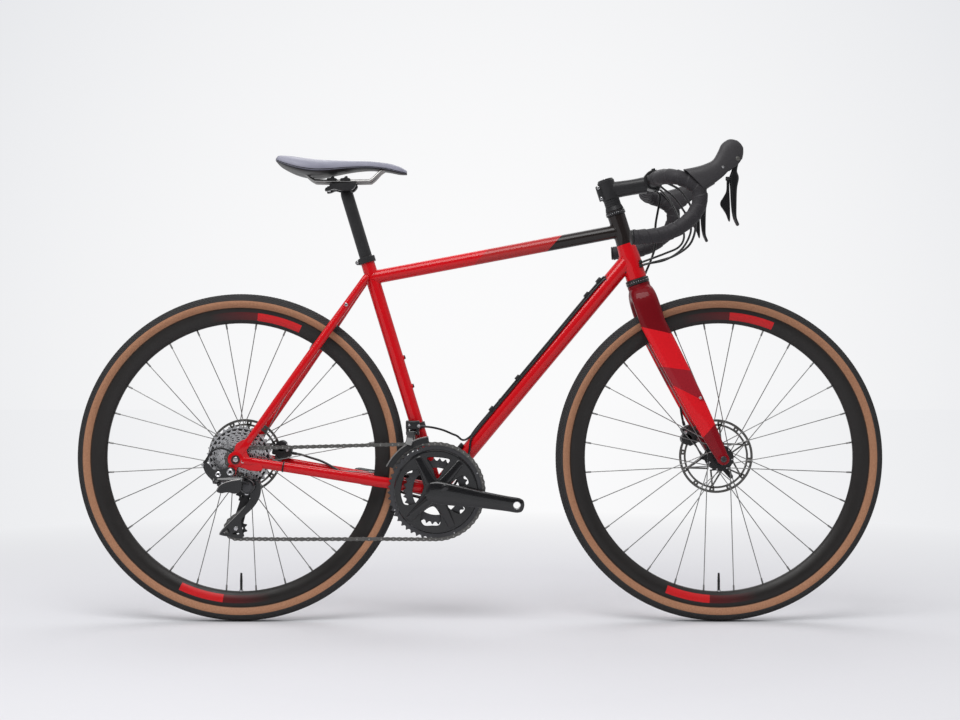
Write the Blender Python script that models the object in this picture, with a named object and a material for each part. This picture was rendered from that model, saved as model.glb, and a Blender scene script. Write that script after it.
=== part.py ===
"""A road bike with dropped bars, disc brakes and gravel tyres, as one named object for each piece.

Metres. +X is forward, +Y is the bike's left, +Z is up. The origin lies on the ground,
midway between the wheel axles, in the bike's centre plane. The chain is on the right, at -Y.
"""

import math

import bmesh
import bpy
from mathutils import Matrix, Vector

# Running gap between two pieces that touch, and the thinnest clearance of a turning piece.
SEAT_GAP = 0.0003
RUNNING_GAP = 0.0006

# Stance and frame angles
WHEELBASE = 1.0236
TYRE_RADIUS = 0.350
BB_DROP = 0.0695
CHAINSTAY_LENGTH = 0.4245
SEAT_ANGLE = math.radians(73.1)
HEAD_ANGLE = math.radians(72.3)
FORK_LENGTH = 0.4055
FORK_RAKE = 0.0515
LEG_BEND = 0.0900
LEG_HALF_WIDTH = 0.0080
CROWN_HALF_HEIGHT = 0.0200
CROWN_HALF_DEPTH = 0.0270

# Frame tubes
SEAT_TUBE_RADIUS = 0.0147
SEAT_TUBE_BORE_DEPTH = 0.290
TOP_TUBE_RADIUS = 0.0146
TOP_TUBE_ON_SEAT_TUBE = 0.475
SEAT_TUBE_ABOVE_TOP_TUBE = 0.0455
TOP_TUBE_ON_HEAD_TUBE = 0.1210
DOWN_TUBE_RADIUS = 0.0175
DOWN_TUBE_ON_HEAD_TUBE = 0.0595
HEAD_TUBE_LENGTH = 0.143
HEAD_TUBE_LOWER_RADIUS = 0.0220
HEAD_TUBE_UPPER_RADIUS = 0.0188
HEAD_TUBE_BORE_RADIUS = 0.0172
CUP_LOWER_HEIGHT = 0.0118
CUP_LOWER_RADIUS = 0.0250
CUP_UPPER_HEIGHT = 0.0090
CUP_UPPER_RADIUS = 0.0210
STEERER_RADIUS = 0.0143
BB_SHELL_RADIUS = 0.0210
BB_SHELL_WIDTH = 0.068
BB_SHELL_BORE_RADIUS = 0.0175
COLLAR_HEIGHT = 0.0125
COLLAR_WALL = 0.0036
TUBE_SIDES = 12

# Rear triangle
REAR_DROPOUT_WIDTH = 0.142
DROPOUT_THICKNESS = 0.0076
DROPOUT_RADIUS = 0.0165
HANGER_BACK = 0.0090
HANGER_BELOW = 0.0250
HANGER_RADIUS = 0.0105
CHAINSTAY_HEIGHT_AT_BB = 0.0125
CHAINSTAY_HEIGHT_AT_DROPOUT = 0.0092
SEATSTAY_RADIUS = 0.0078
SEATSTAY_ON_SEAT_TUBE = 0.487
SEATSTAY_START = 0.047
BRIDGE_RADIUS = 0.0060
BRIDGE_ABOVE_TYRE = 0.0240
EYELET_ABOVE_TYRE = 0.0480
THRU_AXLE_RADIUS = 0.0060
THRU_AXLE_HEAD_RADIUS = 0.0090
BOTTLE_BOSS_RADIUS = 0.0050
BOTTLE_BOSS_HEIGHT = 0.0020
BOTTLE_BOSS_SPACING = 0.064
SEAT_TUBE_BOSS_HEIGHT = 0.228
DOWN_TUBE_BOSS_DISTANCE = 0.235
EYELET_RADIUS = 0.0045

# Wheels
TYRE_WIDTH = 0.040
BEAD_RADIUS = 0.3180
BEAD_DEPTH = 0.0060
TYRE_WALL = 0.0028
RIM_INNER_RADIUS = 0.2870
RIM_WIDTH = 0.0280
RIM_WALL = 0.0022
RIM_FLOOR_RADIUS = 0.3060
SPOKE_COUNT = 28
SPOKE_RADIUS = 0.0010
SPOKE_HOLE_RADIUS = 0.0245
SPOKE_CROSSINGS = 2
VALVE_LENGTH = 0.045
VALVE_RADIUS = 0.0030
WHEEL_SEGMENTS = 32
FRONT_DROPOUT_WIDTH = 0.100
HUB_BARREL_RADIUS = 0.0150
HUB_END_RADIUS = 0.0095
HUB_FLANGE_RADIUS = 0.0280
HUB_FLANGE_THICKNESS = 0.0032
FRONT_FLANGE_Y = 0.0240
REAR_FLANGE_LEFT_Y = 0.0330
REAR_FLANGE_RIGHT_Y = 0.0170

# Brakes
ROTOR_RADIUS = 0.080
ROTOR_BAND_WIDTH = 0.0145
ROTOR_THICKNESS = 0.0018
FRONT_ROTOR_Y = 0.0395
REAR_ROTOR_Y = 0.0540
ROTOR_CARRIER_RADIUS = 0.0225
ROTOR_ARM_COUNT = 6
ROTOR_CLEARANCE = 0.0014
CALIPER_LENGTH = 0.0440
CALIPER_DEPTH = 0.0240
FRONT_CALIPER_WIDTH = 0.0330
REAR_CALIPER_WIDTH = 0.0280
REAR_CALIPER_AHEAD = 0.0780
REAR_CALIPER_Y = 0.0590

# Drivetrain
CHAIN_PITCH = 0.0127
CHAIN_HALF_WIDTH = 0.0026
CHAIN_LINK_HALF_HEIGHT = 0.0042
TOOTH_SLOT_WIDTH = 0.0026
OUTER_RING_TEETH = 50
INNER_RING_TEETH = 34
COG_TEETH = (11, 13, 15, 17, 19, 21, 23, 25, 27, 30, 34)
COG_SPACING = 0.00374
COG_THICKNESS = 0.0015
PULLEY_TEETH = 11
RING_THICKNESS = 0.0020
TOOTH_ABOVE_PITCH = 0.0010
TOOTH_DEPTH = 0.0062
OUTER_RING_Y = -0.0460
RING_SPACING = 0.0066
CASSETTE_SMALL_Y = -0.0620
CRANK_LENGTH = 0.1725
CRANK_BELOW_LEVEL = math.radians(9.0)
CRANK_OUTER_Y = 0.0730
CRANK_THICKNESS = 0.0130
CRANK_END_RADIUS = 0.0170
CRANK_ROOT_RADIUS = 0.0190
SPINDLE_RADIUS = 0.0120
SPINDLE_LEFT_END = 0.0665
SPIDER_BOLT_RADIUS = 0.0550
SPIDER_ARMS = (50, 118, 225, 295)
OUTER_RING_WINDOW_RADIUS = 0.0800
CHAIN_STRAIGHT_LEAD = 0.1100
CUP_FLANGE_WIDTH = 0.0085
CUP_FLANGE_RADIUS = 0.0200
PEDAL_HOLE_RADIUS = 0.0070

# Rear derailleur, measured from the rear axle in the side view
LINK_PIVOT_BACK = 0.0352
LINK_PIVOT_BELOW = 0.0420
LINK_LENGTH = 0.0500
LINK_PIVOT_Y = -0.0880
LINK_TILT = math.radians(35.0)
CAGE_PIVOT_FORWARD = 0.0250
CAGE_PIVOT_BELOW = 0.0560
GUIDE_PULLEY_FORWARD = 0.0218
GUIDE_PULLEY_BELOW = 0.0710
TENSION_PULLEY_BACK = 0.0010
TENSION_PULLEY_BELOW = 0.1453
CAGE_HALF_GAP = 0.0046
CAGE_PLATE_THICKNESS = 0.0014
CAGE_TOP_RADIUS = 0.0080
CAGE_BOTTOM_RADIUS = 0.0115
CAGE_PIN_RADIUS = 0.0060
PULLEY_HUB_RADIUS = 0.0062
PULLEY_BOLT_RADIUS = 0.0025
EAR_INNER = 0.0038
EAR_OUTER = 0.0070
LINK_END_RADIUS = 0.0055
LINK_PIN_RADIUS = 0.0020
MOUNT_KNUCKLE_DEPTH = 0.0125
MOUNT_KNUCKLE_RADIUS = 0.0095
BODY_KNUCKLE_DEPTH = 0.0180
BODY_KNUCKLE_RADIUS = 0.0150
BARREL_TOP = Vector((-0.5734, -0.0840, 0.3461))
BARREL_DIRECTION = Vector((-0.52, 0, -0.854))
BARREL_LENGTH = 0.0120

# Front derailleur
FD_PIVOT_BACK = 0.0500
FD_PIVOT_Y = -0.0310
FD_PIVOT_ABOVE = 0.1240
FD_BAND_ON_SEAT_TUBE = 0.1420
FD_BAND_WIDTH = 0.0130
FD_BAND_WALL = 0.0026
FD_CAGE_INNER_RADIUS = 0.1045
FD_CAGE_OUTER_RADIUS = 0.1180
FD_CAGE_START = math.radians(98)
FD_CAGE_END = math.radians(152)
FD_CAGE_GAP = 0.0034
FD_PLATE_THICKNESS = 0.0013

# Cockpit
STEM_LENGTH = 0.1000
STEM_RISE = 0.0060
STEM_HEIGHT_ON_STEERER = 0.2265
STEM_CLAMP_HEIGHT = 0.0400
STEM_WALL = 0.0034
STEM_BODY_RADIUS = 0.0165
STEM_CAP_THICKNESS = 0.0035
BAR_CLAMP_RADIUS = 0.0159
BAR_CLAMP_HALF_WIDTH = 0.0210
FACEPLATE_WALL = 0.0050
BAR_RADIUS = 0.0119
BAR_TOP_HALF_WIDTH = 0.2110
BAR_FLARE = 0.0180
BAR_REACH = 0.0710
BAR_DROP = 0.1390
BAR_SIDES = 8
TAPE_THICKNESS = 0.0034
TAPE_START_Y = 0.0580
LEVER_PIVOT_RADIUS = 0.0075
LEVER_PIN_RADIUS = 0.0022
LEVER_HALF_WIDTH = 0.0062
THROAT_SLOPE = math.radians(40.0)
THROAT_FLARE = 0.0026
PADDLE_THICKNESS = 0.0050

# Seat
SEATPOST_RADIUS = 0.0136
SEATPOST_HEAD_ABOVE_COLLAR = 0.1600
SEATPOST_INSERTION = 0.1300
SEATPOST_NECK_LENGTH = 0.0220
SEATPOST_NECK_RADIUS = 0.0085
SADDLE_LENGTH = 0.2800
SADDLE_WIDTH = 0.1430
SADDLE_ABOVE_TILT_AXIS = 0.0624
RAIL_RADIUS = 0.0035
RAIL_HALF_SPACING = 0.0220
RAIL_ABOVE_TILT_AXIS = 0.0084
BARREL_RADIUS = 0.0110
BARREL_HALF_WIDTH = 0.0150
CLAMP_HALF_LENGTH = 0.0180

# Cables
HOUSING_RADIUS = 0.0023
HOSE_RADIUS = 0.0025
CABLE_BEND = math.radians(17.0)

X_AXIS = Vector((1, 0, 0))
Y_AXIS = Vector((0, 1, 0))
Z_AXIS = Vector((0, 0, 1))

SEAT_UP = Vector((-math.cos(SEAT_ANGLE), 0, math.sin(SEAT_ANGLE)))
STEER_UP = Vector((-math.cos(HEAD_ANGLE), 0, math.sin(HEAD_ANGLE)))
STEER_FORWARD = Vector((math.sin(HEAD_ANGLE), 0, math.cos(HEAD_ANGLE)))
REAR_AXLE = Vector((-WHEELBASE / 2, 0, TYRE_RADIUS))
FRONT_AXLE = Vector((WHEELBASE / 2, 0, TYRE_RADIUS))
BB = REAR_AXLE + Vector((math.sqrt(CHAINSTAY_LENGTH**2 - BB_DROP**2), 0, -BB_DROP))
CROWN = FRONT_AXLE + STEER_UP * FORK_LENGTH - STEER_FORWARD * FORK_RAKE
STEM_CENTRE = CROWN + STEER_UP * STEM_HEIGHT_ON_STEERER
BAR_CENTRE = STEM_CENTRE + Vector((math.sqrt(STEM_LENGTH**2 - STEM_RISE**2), 0, STEM_RISE))
SEAT_TUBE_LENGTH = TOP_TUBE_ON_SEAT_TUBE + SEAT_TUBE_ABOVE_TOP_TUBE
HEAD_BOTTOM = CUP_LOWER_HEIGHT + 2 * SEAT_GAP
HEAD_TOP = HEAD_BOTTOM + HEAD_TUBE_LENGTH
TOP_TUBE_REAR = BB + SEAT_UP * TOP_TUBE_ON_SEAT_TUBE
TOP_TUBE_FRONT = CROWN + STEER_UP * TOP_TUBE_ON_HEAD_TUBE
DOWN_TUBE_FRONT = CROWN + STEER_UP * DOWN_TUBE_ON_HEAD_TUBE
DROPOUT_Y = REAR_DROPOUT_WIDTH / 2 + DROPOUT_THICKNESS / 2 + SEAT_GAP
LEG_Y = FRONT_DROPOUT_WIDTH / 2 + LEG_HALF_WIDTH + 0.0005
LINK_AXIS = Vector((0, math.sin(LINK_TILT), math.cos(LINK_TILT)))
LINK_ACROSS = Vector((0, math.cos(LINK_TILT), -math.sin(LINK_TILT)))
TILT_AXIS = BB + SEAT_UP * (SEAT_TUBE_LENGTH + SEATPOST_HEAD_ABOVE_COLLAR)
SADDLE_TOP = TILT_AXIS.z + SADDLE_ABOVE_TILT_AXIS
CASSETTE_INNER_FACE = CASSETTE_SMALL_Y + COG_SPACING * (len(COG_TEETH) - 1) + COG_THICKNESS / 2


def clear_scene():
    for old in list(bpy.data.objects):
        bpy.data.objects.remove(old)


def material(name, colour, roughness, metallic=0.0):
    made = bpy.data.materials.get(name)
    if made is None:
        made = bpy.data.materials.new(name)
        made.use_nodes = True
        shader = made.node_tree.nodes["Principled BSDF"]
        shader.inputs["Base Color"].default_value = (*colour, 1.0)
        shader.inputs["Roughness"].default_value = roughness
        shader.inputs["Metallic"].default_value = metallic
        made.diffuse_color = (*colour, 1.0)
    return made


def red_paint():
    return material("red_paint", (0.72, 0.02, 0.03), 0.25)


def black_metal():
    return material("black_metal", (0.03, 0.03, 0.033), 0.4, 0.6)


def steel():
    return material("steel", (0.55, 0.55, 0.56), 0.3, 1.0)


def rubber():
    return material("rubber", (0.02, 0.02, 0.02), 0.85)


def soft_black():
    return material("soft_black", (0.04, 0.04, 0.045), 0.75)


def object_of(name, bm, finish):
    """A named object from a finished bmesh, shaded smooth with its hard edges kept."""
    bmesh.ops.remove_doubles(bm, verts=bm.verts, dist=1e-6)
    bmesh.ops.recalc_face_normals(bm, faces=bm.faces)
    mesh = bpy.data.meshes.new(name)
    bm.to_mesh(mesh)
    bm.free()
    mesh.shade_smooth()
    mesh.set_sharp_from_angle(angle=math.radians(35))
    if finish is not None:
        mesh.materials.append(finish)
    made = bpy.data.objects.new(name, mesh)
    bpy.context.scene.collection.objects.link(made)
    return made


def loft(name, rings, finish=None, closed=False):
    """A skin over rings of equally many points: capped, or joined end to start where closed."""
    bm = bmesh.new()
    rows = [[bm.verts.new(point) for point in ring] for ring in rings]
    count = len(rings[0])
    pairs = list(zip(rows, rows[1:]))
    if closed:
        pairs.append((rows[-1], rows[0]))
    for first, second in pairs:
        for i in range(count):
            j = (i + 1) % count
            bm.faces.new((first[i], first[j], second[j], second[i]))
    if not closed:
        bm.faces.new(rows[0])
        bm.faces.new(list(reversed(rows[-1])))
    return object_of(name, bm, finish)


def side_vectors(direction, hint):
    """Two unit vectors square to a direction, the first as near to the hint as it can be."""
    along = direction.normalized()
    across = (hint - along * hint.dot(along)).normalized()
    return across, along.cross(across)


def oval(centre, direction, hint, half_width, half_height, sides, squareness=2.0):
    """A ring of points round a centre: an ellipse, squarer as squareness rises above 2."""
    across, over = side_vectors(direction, hint)
    ring = []
    for i in range(sides):
        angle = 2 * math.pi * (i + 0.5) / sides
        c, s = math.cos(angle), math.sin(angle)
        u = math.copysign(abs(c) ** (2 / squareness), c) * half_width
        v = math.copysign(abs(s) ** (2 / squareness), s) * half_height
        ring.append(centre + across * u + over * v)
    return ring


def tangents(path):
    """The direction of travel at each point of a path."""
    last = len(path) - 1
    return [(path[min(i + 1, last)] - path[max(i - 1, 0)]).normalized() for i in range(last + 1)]


def rings_along(path, widths, heights, sides, hint, squareness=2.0):
    """Ovals square to a path, whose width direction turns with it as little as it can."""
    rings = []
    for point, along, width, height in zip(path, tangents(path), widths, heights):
        hint = side_vectors(along, hint)[0]
        rings.append(oval(point, along, hint, width, height, sides, squareness))
    return rings


def swept(name, path, widths, heights, finish=None, sides=12, hint=Y_AXIS, squareness=2.0):
    """A loft of ovals square to a path, with a half width and half height at each point."""
    return loft(name, rings_along(path, widths, heights, sides, hint, squareness), finish)


def rod(name, start, end, radius, finish=None, sides=TUBE_SIDES, end_radius=None):
    """A straight round bar, tapering to end_radius where one is given."""
    direction = end - start
    hint = Y_AXIS if abs(direction.normalized().y) < 0.9 else Z_AXIS
    far = radius if end_radius is None else end_radius
    rings = [oval(start, direction, hint, radius, radius, sides)]
    rings.append(oval(end, direction, hint, far, far, sides))
    return loft(name, rings, finish)


def turned(name, origin, axis, profile, finish=None, sides=12):
    """A profile of (radius, distance along the axis) turned about an axis.

    A profile that starts and ends at radius 0 makes a solid, and any other closes on itself
    as a ring.
    """
    hint = Z_AXIS if abs(axis.normalized().z) < 0.9 else X_AXIS
    across, over = side_vectors(axis, hint)
    along = axis.normalized()
    bm = bmesh.new()
    rows = []
    for radius, distance in profile:
        centre = origin + along * distance
        if radius == 0:
            rows.append([bm.verts.new(centre)] * sides)
            continue
        row = []
        for i in range(sides):
            angle = 2 * math.pi * i / sides
            row.append(bm.verts.new(centre + (across * math.cos(angle) + over * math.sin(angle)) * radius))
        rows.append(row)
    pairs = list(zip(rows, rows[1:]))
    if profile[0][0] != 0:
        pairs.append((rows[-1], rows[0]))
    for first, second in pairs:
        for i in range(sides):
            j = (i + 1) % sides
            corners = list(dict.fromkeys((first[i], first[j], second[j], second[i])))
            bm.faces.new(corners)
    return object_of(name, bm, finish)


def plate(name, outline, y_low, y_high, finish=None):
    """A flat plate with an (x, z) outline, from y_low to y_high."""
    rings = [[Vector((x, y, z)) for x, z in outline] for y in (y_low, y_high)]
    return loft(name, rings, finish)


def block(name, centre, size, finish=None, turn=0.0):
    """A box of full sizes (x, y, z), turned about +Y by an angle."""
    half = Vector(size) / 2
    spin = Matrix.Rotation(turn, 3, "Y")
    rings = []
    for y in (-half.y, half.y):
        corners = ((-half.x, -half.z), (half.x, -half.z), (half.x, half.z), (-half.x, half.z))
        rings.append([centre + spin @ Vector((x, y, z)) for x, z in corners])
    return loft(name, rings, finish)


def boolean(target, operation, tool):
    """Joins or cuts with a helper solid, which is then left out of the model."""
    modifier = target.modifiers.new(tool.name, "BOOLEAN")
    modifier.operation = operation
    modifier.solver = "EXACT"
    modifier.object = tool
    tool.hide_render = True
    tool.display_type = "WIRE"
    return target


def join(target, *tools):
    for tool in tools:
        boolean(target, "UNION", tool)
    return target


def cut(target, *tools):
    for tool in tools:
        boolean(target, "DIFFERENCE", tool)
    return target


def smooth_route(points, bend):
    """Points along one smooth curve through hand-chosen points in millimetres, close where it bends.

    A new point is placed whenever the curve has turned by the given angle.
    """
    knots = [Vector(point) / 1000 for point in points]
    ends = [2 * knots[0] - knots[1]] + knots + [2 * knots[-1] - knots[-2]]
    fine = []
    for a, b, c, d in zip(ends, ends[1:], ends[2:], ends[3:]):
        pieces = 12
        for i in range(pieces):
            t = i / pieces
            fine.append(
                0.5
                * (
                    2 * b
                    + (c - a) * t
                    + (2 * a - 5 * b + 4 * c - d) * t**2
                    + (3 * b - a - 3 * c + d) * t**3
                )
            )
    fine.append(knots[-1])
    kept = [fine[0]]
    turned_by = 0.0
    for before, here, after in zip(fine, fine[1:], fine[2:]):
        turned_by += (here - before).angle(after - here)
        if turned_by >= bend:
            kept.append(here)
            turned_by = 0.0
    return kept + [fine[-1]]


def cable(name, points, radius, finish):
    """A cable as a curve of round section along one smooth route."""
    curve = bpy.data.curves.new(name, "CURVE")
    curve.dimensions = "3D"
    curve.bevel_depth = radius
    curve.bevel_resolution = 2
    curve.use_fill_caps = True
    spline = curve.splines.new("POLY")
    path = smooth_route(points, CABLE_BEND)
    spline.points.add(len(path) - 1)
    for slot, point in zip(spline.points, path):
        slot.co = (*point, 1.0)
    curve.materials.append(finish)
    made = bpy.data.objects.new(name, curve)
    bpy.context.scene.collection.objects.link(made)
    return made


def tunnel(name, points, radius):
    """The space a cable needs along its route."""
    path = smooth_route(points, CABLE_BEND)
    radii = [radius + SEAT_GAP * 1.4] * len(path)
    return swept(name, path, radii, radii, sides=8)


def hang_on(pivot_name, pivot, *pieces):
    """Gives the pieces of one moving body a parent empty on their joint's axis."""
    empty = bpy.data.objects.new(pivot_name, None)
    empty.location = pivot
    bpy.context.scene.collection.objects.link(empty)
    for piece in pieces:
        piece.parent = empty
        piece.location = piece.location - pivot
        for modifier in piece.modifiers:
            if modifier.type == "BOOLEAN" and modifier.object.parent is None:
                modifier.object.parent = empty
                modifier.object.location = modifier.object.location - pivot


def pitch_radius(teeth):
    return CHAIN_PITCH / (2 * math.sin(math.pi / teeth))


def head_tube_profile(extra=0.0):
    """The outside of the head tube as (radius, height above the crown)."""
    lower, upper = HEAD_TUBE_LOWER_RADIUS + extra, HEAD_TUBE_UPPER_RADIUS + extra
    flare_top = HEAD_BOTTOM + HEAD_TUBE_LENGTH * 0.6
    flare_bottom = HEAD_BOTTOM + HEAD_TUBE_LENGTH * 0.3
    return [(lower, HEAD_BOTTOM), (lower, flare_bottom), (upper, flare_top), (upper, HEAD_TOP)]


def head_tube_cutter(name):
    profile = head_tube_profile(SEAT_GAP)
    ends = [(0, profile[0][1])] + profile + [(0, profile[-1][1])]
    return turned(name, CROWN, STEER_UP, ends)


def seat_tube_cutter(name):
    radius = SEAT_TUBE_RADIUS + SEAT_GAP
    profile = [(0, 0), (radius, 0), (radius, SEAT_TUBE_LENGTH), (0, SEAT_TUBE_LENGTH)]
    return turned(name, BB, SEAT_UP, profile)


def shell_cutter(name):
    half = BB_SHELL_WIDTH / 2 + SEAT_GAP
    radius = BB_SHELL_RADIUS + SEAT_GAP
    return turned(name, BB, Y_AXIS, [(0, -half), (radius, -half), (radius, half), (0, half)])


def make_head_tube():
    outside = head_tube_profile()
    profile = [(HEAD_TUBE_BORE_RADIUS, HEAD_BOTTOM)] + outside + [(HEAD_TUBE_BORE_RADIUS, HEAD_TOP)]
    turned("head_tube", CROWN, STEER_UP, profile, red_paint())


def make_headset_cup(name, foot, height, radius, inward):
    """A cup seated on the head tube's end, with a skirt of the given depth pressed inside it."""
    bore = STEERER_RADIUS + RUNNING_GAP
    skirt = HEAD_TUBE_BORE_RADIUS - SEAT_GAP
    skirt_depth = 0.010
    edge = 0.0012
    face = foot + height * inward
    profile = [
        (bore, foot),
        (radius - edge, foot),
        (radius, foot + edge * inward),
        (radius, face - edge * inward),
        (radius - edge, face),
        (skirt, face),
        (skirt, face + skirt_depth * inward),
        (bore, face + skirt_depth * inward),
    ]
    turned(name, CROWN, STEER_UP, profile, black_metal())


def make_top_tube():
    tube = rod("top_tube", TOP_TUBE_REAR, TOP_TUBE_FRONT, TOP_TUBE_RADIUS, red_paint())
    cut(tube, seat_tube_cutter("top_tube_rear_mitre"), head_tube_cutter("top_tube_front_mitre"))


def down_tube_direction():
    return (DOWN_TUBE_FRONT - BB).normalized()


def boss_row(name, start, along, outward, radius):
    """Two bottle bosses on a tube, with the first one's foot sunk into the wall."""
    made = []
    for i in range(2):
        foot = start + along * BOTTLE_BOSS_SPACING * i
        top = foot + outward * (radius + BOTTLE_BOSS_HEIGHT)
        made.append(rod(f"{name}_{i}", foot + outward * (radius - 0.004), top, BOTTLE_BOSS_RADIUS, sides=10))
    return made


def make_down_tube():
    tube = rod("down_tube", BB, DOWN_TUBE_FRONT, DOWN_TUBE_RADIUS, red_paint())
    along = down_tube_direction()
    inward = along.cross(Y_AXIS)
    foot = BB + along * DOWN_TUBE_BOSS_DISTANCE
    join(tube, *boss_row("down_tube_boss", foot, along, inward, DOWN_TUBE_RADIUS))
    cut(
        tube,
        head_tube_cutter("down_tube_front_mitre"),
        seat_tube_cutter("down_tube_rear_mitre"),
        shell_cutter("down_tube_shell_mitre"),
    )


def make_seat_tube():
    bore = SEATPOST_RADIUS + SEAT_GAP
    floor = SEAT_TUBE_LENGTH - SEAT_TUBE_BORE_DEPTH
    profile = [
        (0, 0),
        (SEAT_TUBE_RADIUS, 0),
        (SEAT_TUBE_RADIUS, SEAT_TUBE_LENGTH),
        (bore, SEAT_TUBE_LENGTH),
        (bore, floor),
        (0, floor),
    ]
    tube = turned("seat_tube", BB, SEAT_UP, profile, red_paint())
    half = BB_SHELL_WIDTH / 2
    shell = turned(
        "bottom_bracket_shell", BB, Y_AXIS,
        [(0, -half), (BB_SHELL_RADIUS, -half), (BB_SHELL_RADIUS, half), (0, half)],
    )
    outward = SEAT_UP.cross(Y_AXIS) * -1
    foot = BB + SEAT_UP * SEAT_TUBE_BOSS_HEIGHT
    join(tube, shell, *boss_row("seat_tube_boss", foot, SEAT_UP, outward, SEAT_TUBE_RADIUS))
    reach = Y_AXIS * BB_SHELL_WIDTH
    cut(tube, rod("bottom_bracket_bore", BB - reach, BB + reach, BB_SHELL_BORE_RADIUS, sides=24))


def chainstay_path(side):
    """The stay's centre line, from inside the shell to the dropout, as (point, half width)."""
    along = (REAR_AXLE - BB).normalized()
    last = CHAINSTAY_LENGTH - DROPOUT_RADIUS * 0.8
    stations = (
        (0.010, 0.0200, 0.0090),
        (0.072, 0.0290, 0.0072),
        (0.105, 0.0355, 0.0072),
        (0.200, 0.0485, 0.0074),
        (0.300, 0.0610, 0.0068),
        (0.370, DROPOUT_Y - 0.0040, 0.0060),
        (last, DROPOUT_Y, 0.0046),
    )
    return [(BB + along * distance + Y_AXIS * side * y, width) for distance, y, width in stations]


def seatstay_direction():
    return (BB + SEAT_UP * SEATSTAY_ON_SEAT_TUBE - REAR_AXLE).normalized()


def make_chainstay(name, side, route, route_radius):
    path = chainstay_path(side)
    count = len(path)
    heights = []
    for i in range(count):
        share = i / (count - 1)
        heights.append(CHAINSTAY_HEIGHT_AT_BB * (1 - share) + CHAINSTAY_HEIGHT_AT_DROPOUT * share)
    points = [point for point, _ in path]
    widths = [width for _, width in path]
    stay = swept(name, points, widths, heights, red_paint(), sides=10, squareness=2.3)
    half = DROPOUT_THICKNESS / 2
    centre = REAR_AXLE + Y_AXIS * side * DROPOUT_Y
    disc = [(0, -half), (DROPOUT_RADIUS, -half), (DROPOUT_RADIUS, half), (0, half)]
    tongue_end = centre + seatstay_direction() * (SEATSTAY_START - SEAT_GAP)
    tongue_path = [centre, tongue_end]
    join(
        stay,
        turned(name + "_dropout", centre, Y_AXIS, disc),
        swept(
            name + "_tongue", tongue_path, [half * 0.92] * 2, [0.0095, 0.0072], sides=8, squareness=4.0,
        ),
    )
    if side < 0:
        hanger = centre - X_AXIS * HANGER_BACK - Z_AXIS * HANGER_BELOW
        pad = [(0, -half), (HANGER_RADIUS, -half), (HANGER_RADIUS, half), (0, half)]
        join(
            stay,
            swept(
                name + "_hanger_arm", [centre, hanger], [half * 0.88] * 2, [0.0100] * 2,
                sides=8, squareness=4.0,
            ),
            turned(name + "_hanger", hanger, Y_AXIS, [(r, d * 0.96) for r, d in pad], sides=20),
        )
    reach = Y_AXIS * DROPOUT_THICKNESS * 2
    cut(
        stay,
        rod(name + "_axle_hole", centre - reach, centre + reach, THRU_AXLE_RADIUS + SEAT_GAP, sides=16),
        shell_cutter(name + "_shell_mitre"),
        seat_tube_cutter(name + "_seat_tube_mitre"),
        tunnel(name + "_tunnel", route, route_radius),
    )


def seatstay_stations():
    """Along the stay from the dropout: distance, distance from the centre plane, half width, half height."""
    top = (BB + SEAT_UP * SEATSTAY_ON_SEAT_TUBE - REAR_AXLE).length
    return (
        (SEATSTAY_START, DROPOUT_Y, 0.0040, 0.0072),
        (SEATSTAY_START + 0.030, DROPOUT_Y - 0.0020, 0.0060, SEATSTAY_RADIUS),
        (0.200, 0.0560, SEATSTAY_RADIUS, SEATSTAY_RADIUS + 0.0010),
        (0.330, 0.0355, SEATSTAY_RADIUS, SEATSTAY_RADIUS + 0.0010),
        (0.420, 0.0235, SEATSTAY_RADIUS, SEATSTAY_RADIUS),
        (top, SEAT_TUBE_RADIUS, SEATSTAY_RADIUS * 0.8, SEATSTAY_RADIUS * 0.9),
    )


def seatstay_point(distance, side):
    """The stay's centre a given distance from the axle."""
    stations = seatstay_stations()
    for (s1, y1, _, _), (s2, y2, _, _) in zip(stations, stations[1:]):
        if s1 <= distance <= s2:
            y = y1 + (y2 - y1) * (distance - s1) / (s2 - s1)
    return REAR_AXLE + seatstay_direction() * distance + Y_AXIS * side * y


def make_seatstays():
    stations = seatstay_stations()
    stays = []
    for name, side in (("seatstays", -1), ("seatstay_left_half", 1)):
        path = [REAR_AXLE + seatstay_direction() * s + Y_AXIS * side * y for s, y, _, _ in stations]
        widths = [w for _, _, w, _ in stations]
        heights = [h for _, _, _, h in stations]
        stays.append(swept(name, path, widths, heights, red_paint(), squareness=2.2))
    bridge_ends = [seatstay_point(TYRE_RADIUS + BRIDGE_ABOVE_TYRE, side) for side in (-1, 1)]
    bridge = rod("seatstay_bridge", *bridge_ends, BRIDGE_RADIUS, sides=10)
    eyelets = []
    for i, side in enumerate((-1, 1)):
        foot = seatstay_point(TYRE_RADIUS + EYELET_ABOVE_TYRE, side)
        face = foot + Y_AXIS * side * (SEATSTAY_RADIUS + 0.0020)
        eyelets.append(rod(f"seatstay_eyelet_{i}", foot, face, EYELET_RADIUS, sides=10))
    join(stays[0], stays[1], bridge, *eyelets)
    cut(stays[0], seat_tube_cutter("seatstays_mitre"))


def make_seat_collar():
    inner = SEAT_TUBE_RADIUS + SEAT_GAP
    outer = inner + COLLAR_WALL
    low, high = SEAT_TUBE_LENGTH - COLLAR_HEIGHT, SEAT_TUBE_LENGTH + SEAT_GAP
    edge = 0.0008
    profile = [(inner, low), (outer - edge, low), (outer, low + edge)]
    profile += [(outer, high - edge), (outer - edge, high), (inner, high)]
    collar = turned("seat_collar", BB, SEAT_UP, profile, red_paint())
    back = SEAT_UP.cross(Y_AXIS)
    centre = BB + SEAT_UP * (SEAT_TUBE_LENGTH - COLLAR_HEIGHT / 2) + back * (outer + 0.0020)
    reach = Y_AXIS * 0.0085
    lug = rod("seat_collar_lug", centre - reach, centre + reach, 0.0045, sides=10)
    join(collar, lug)


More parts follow.
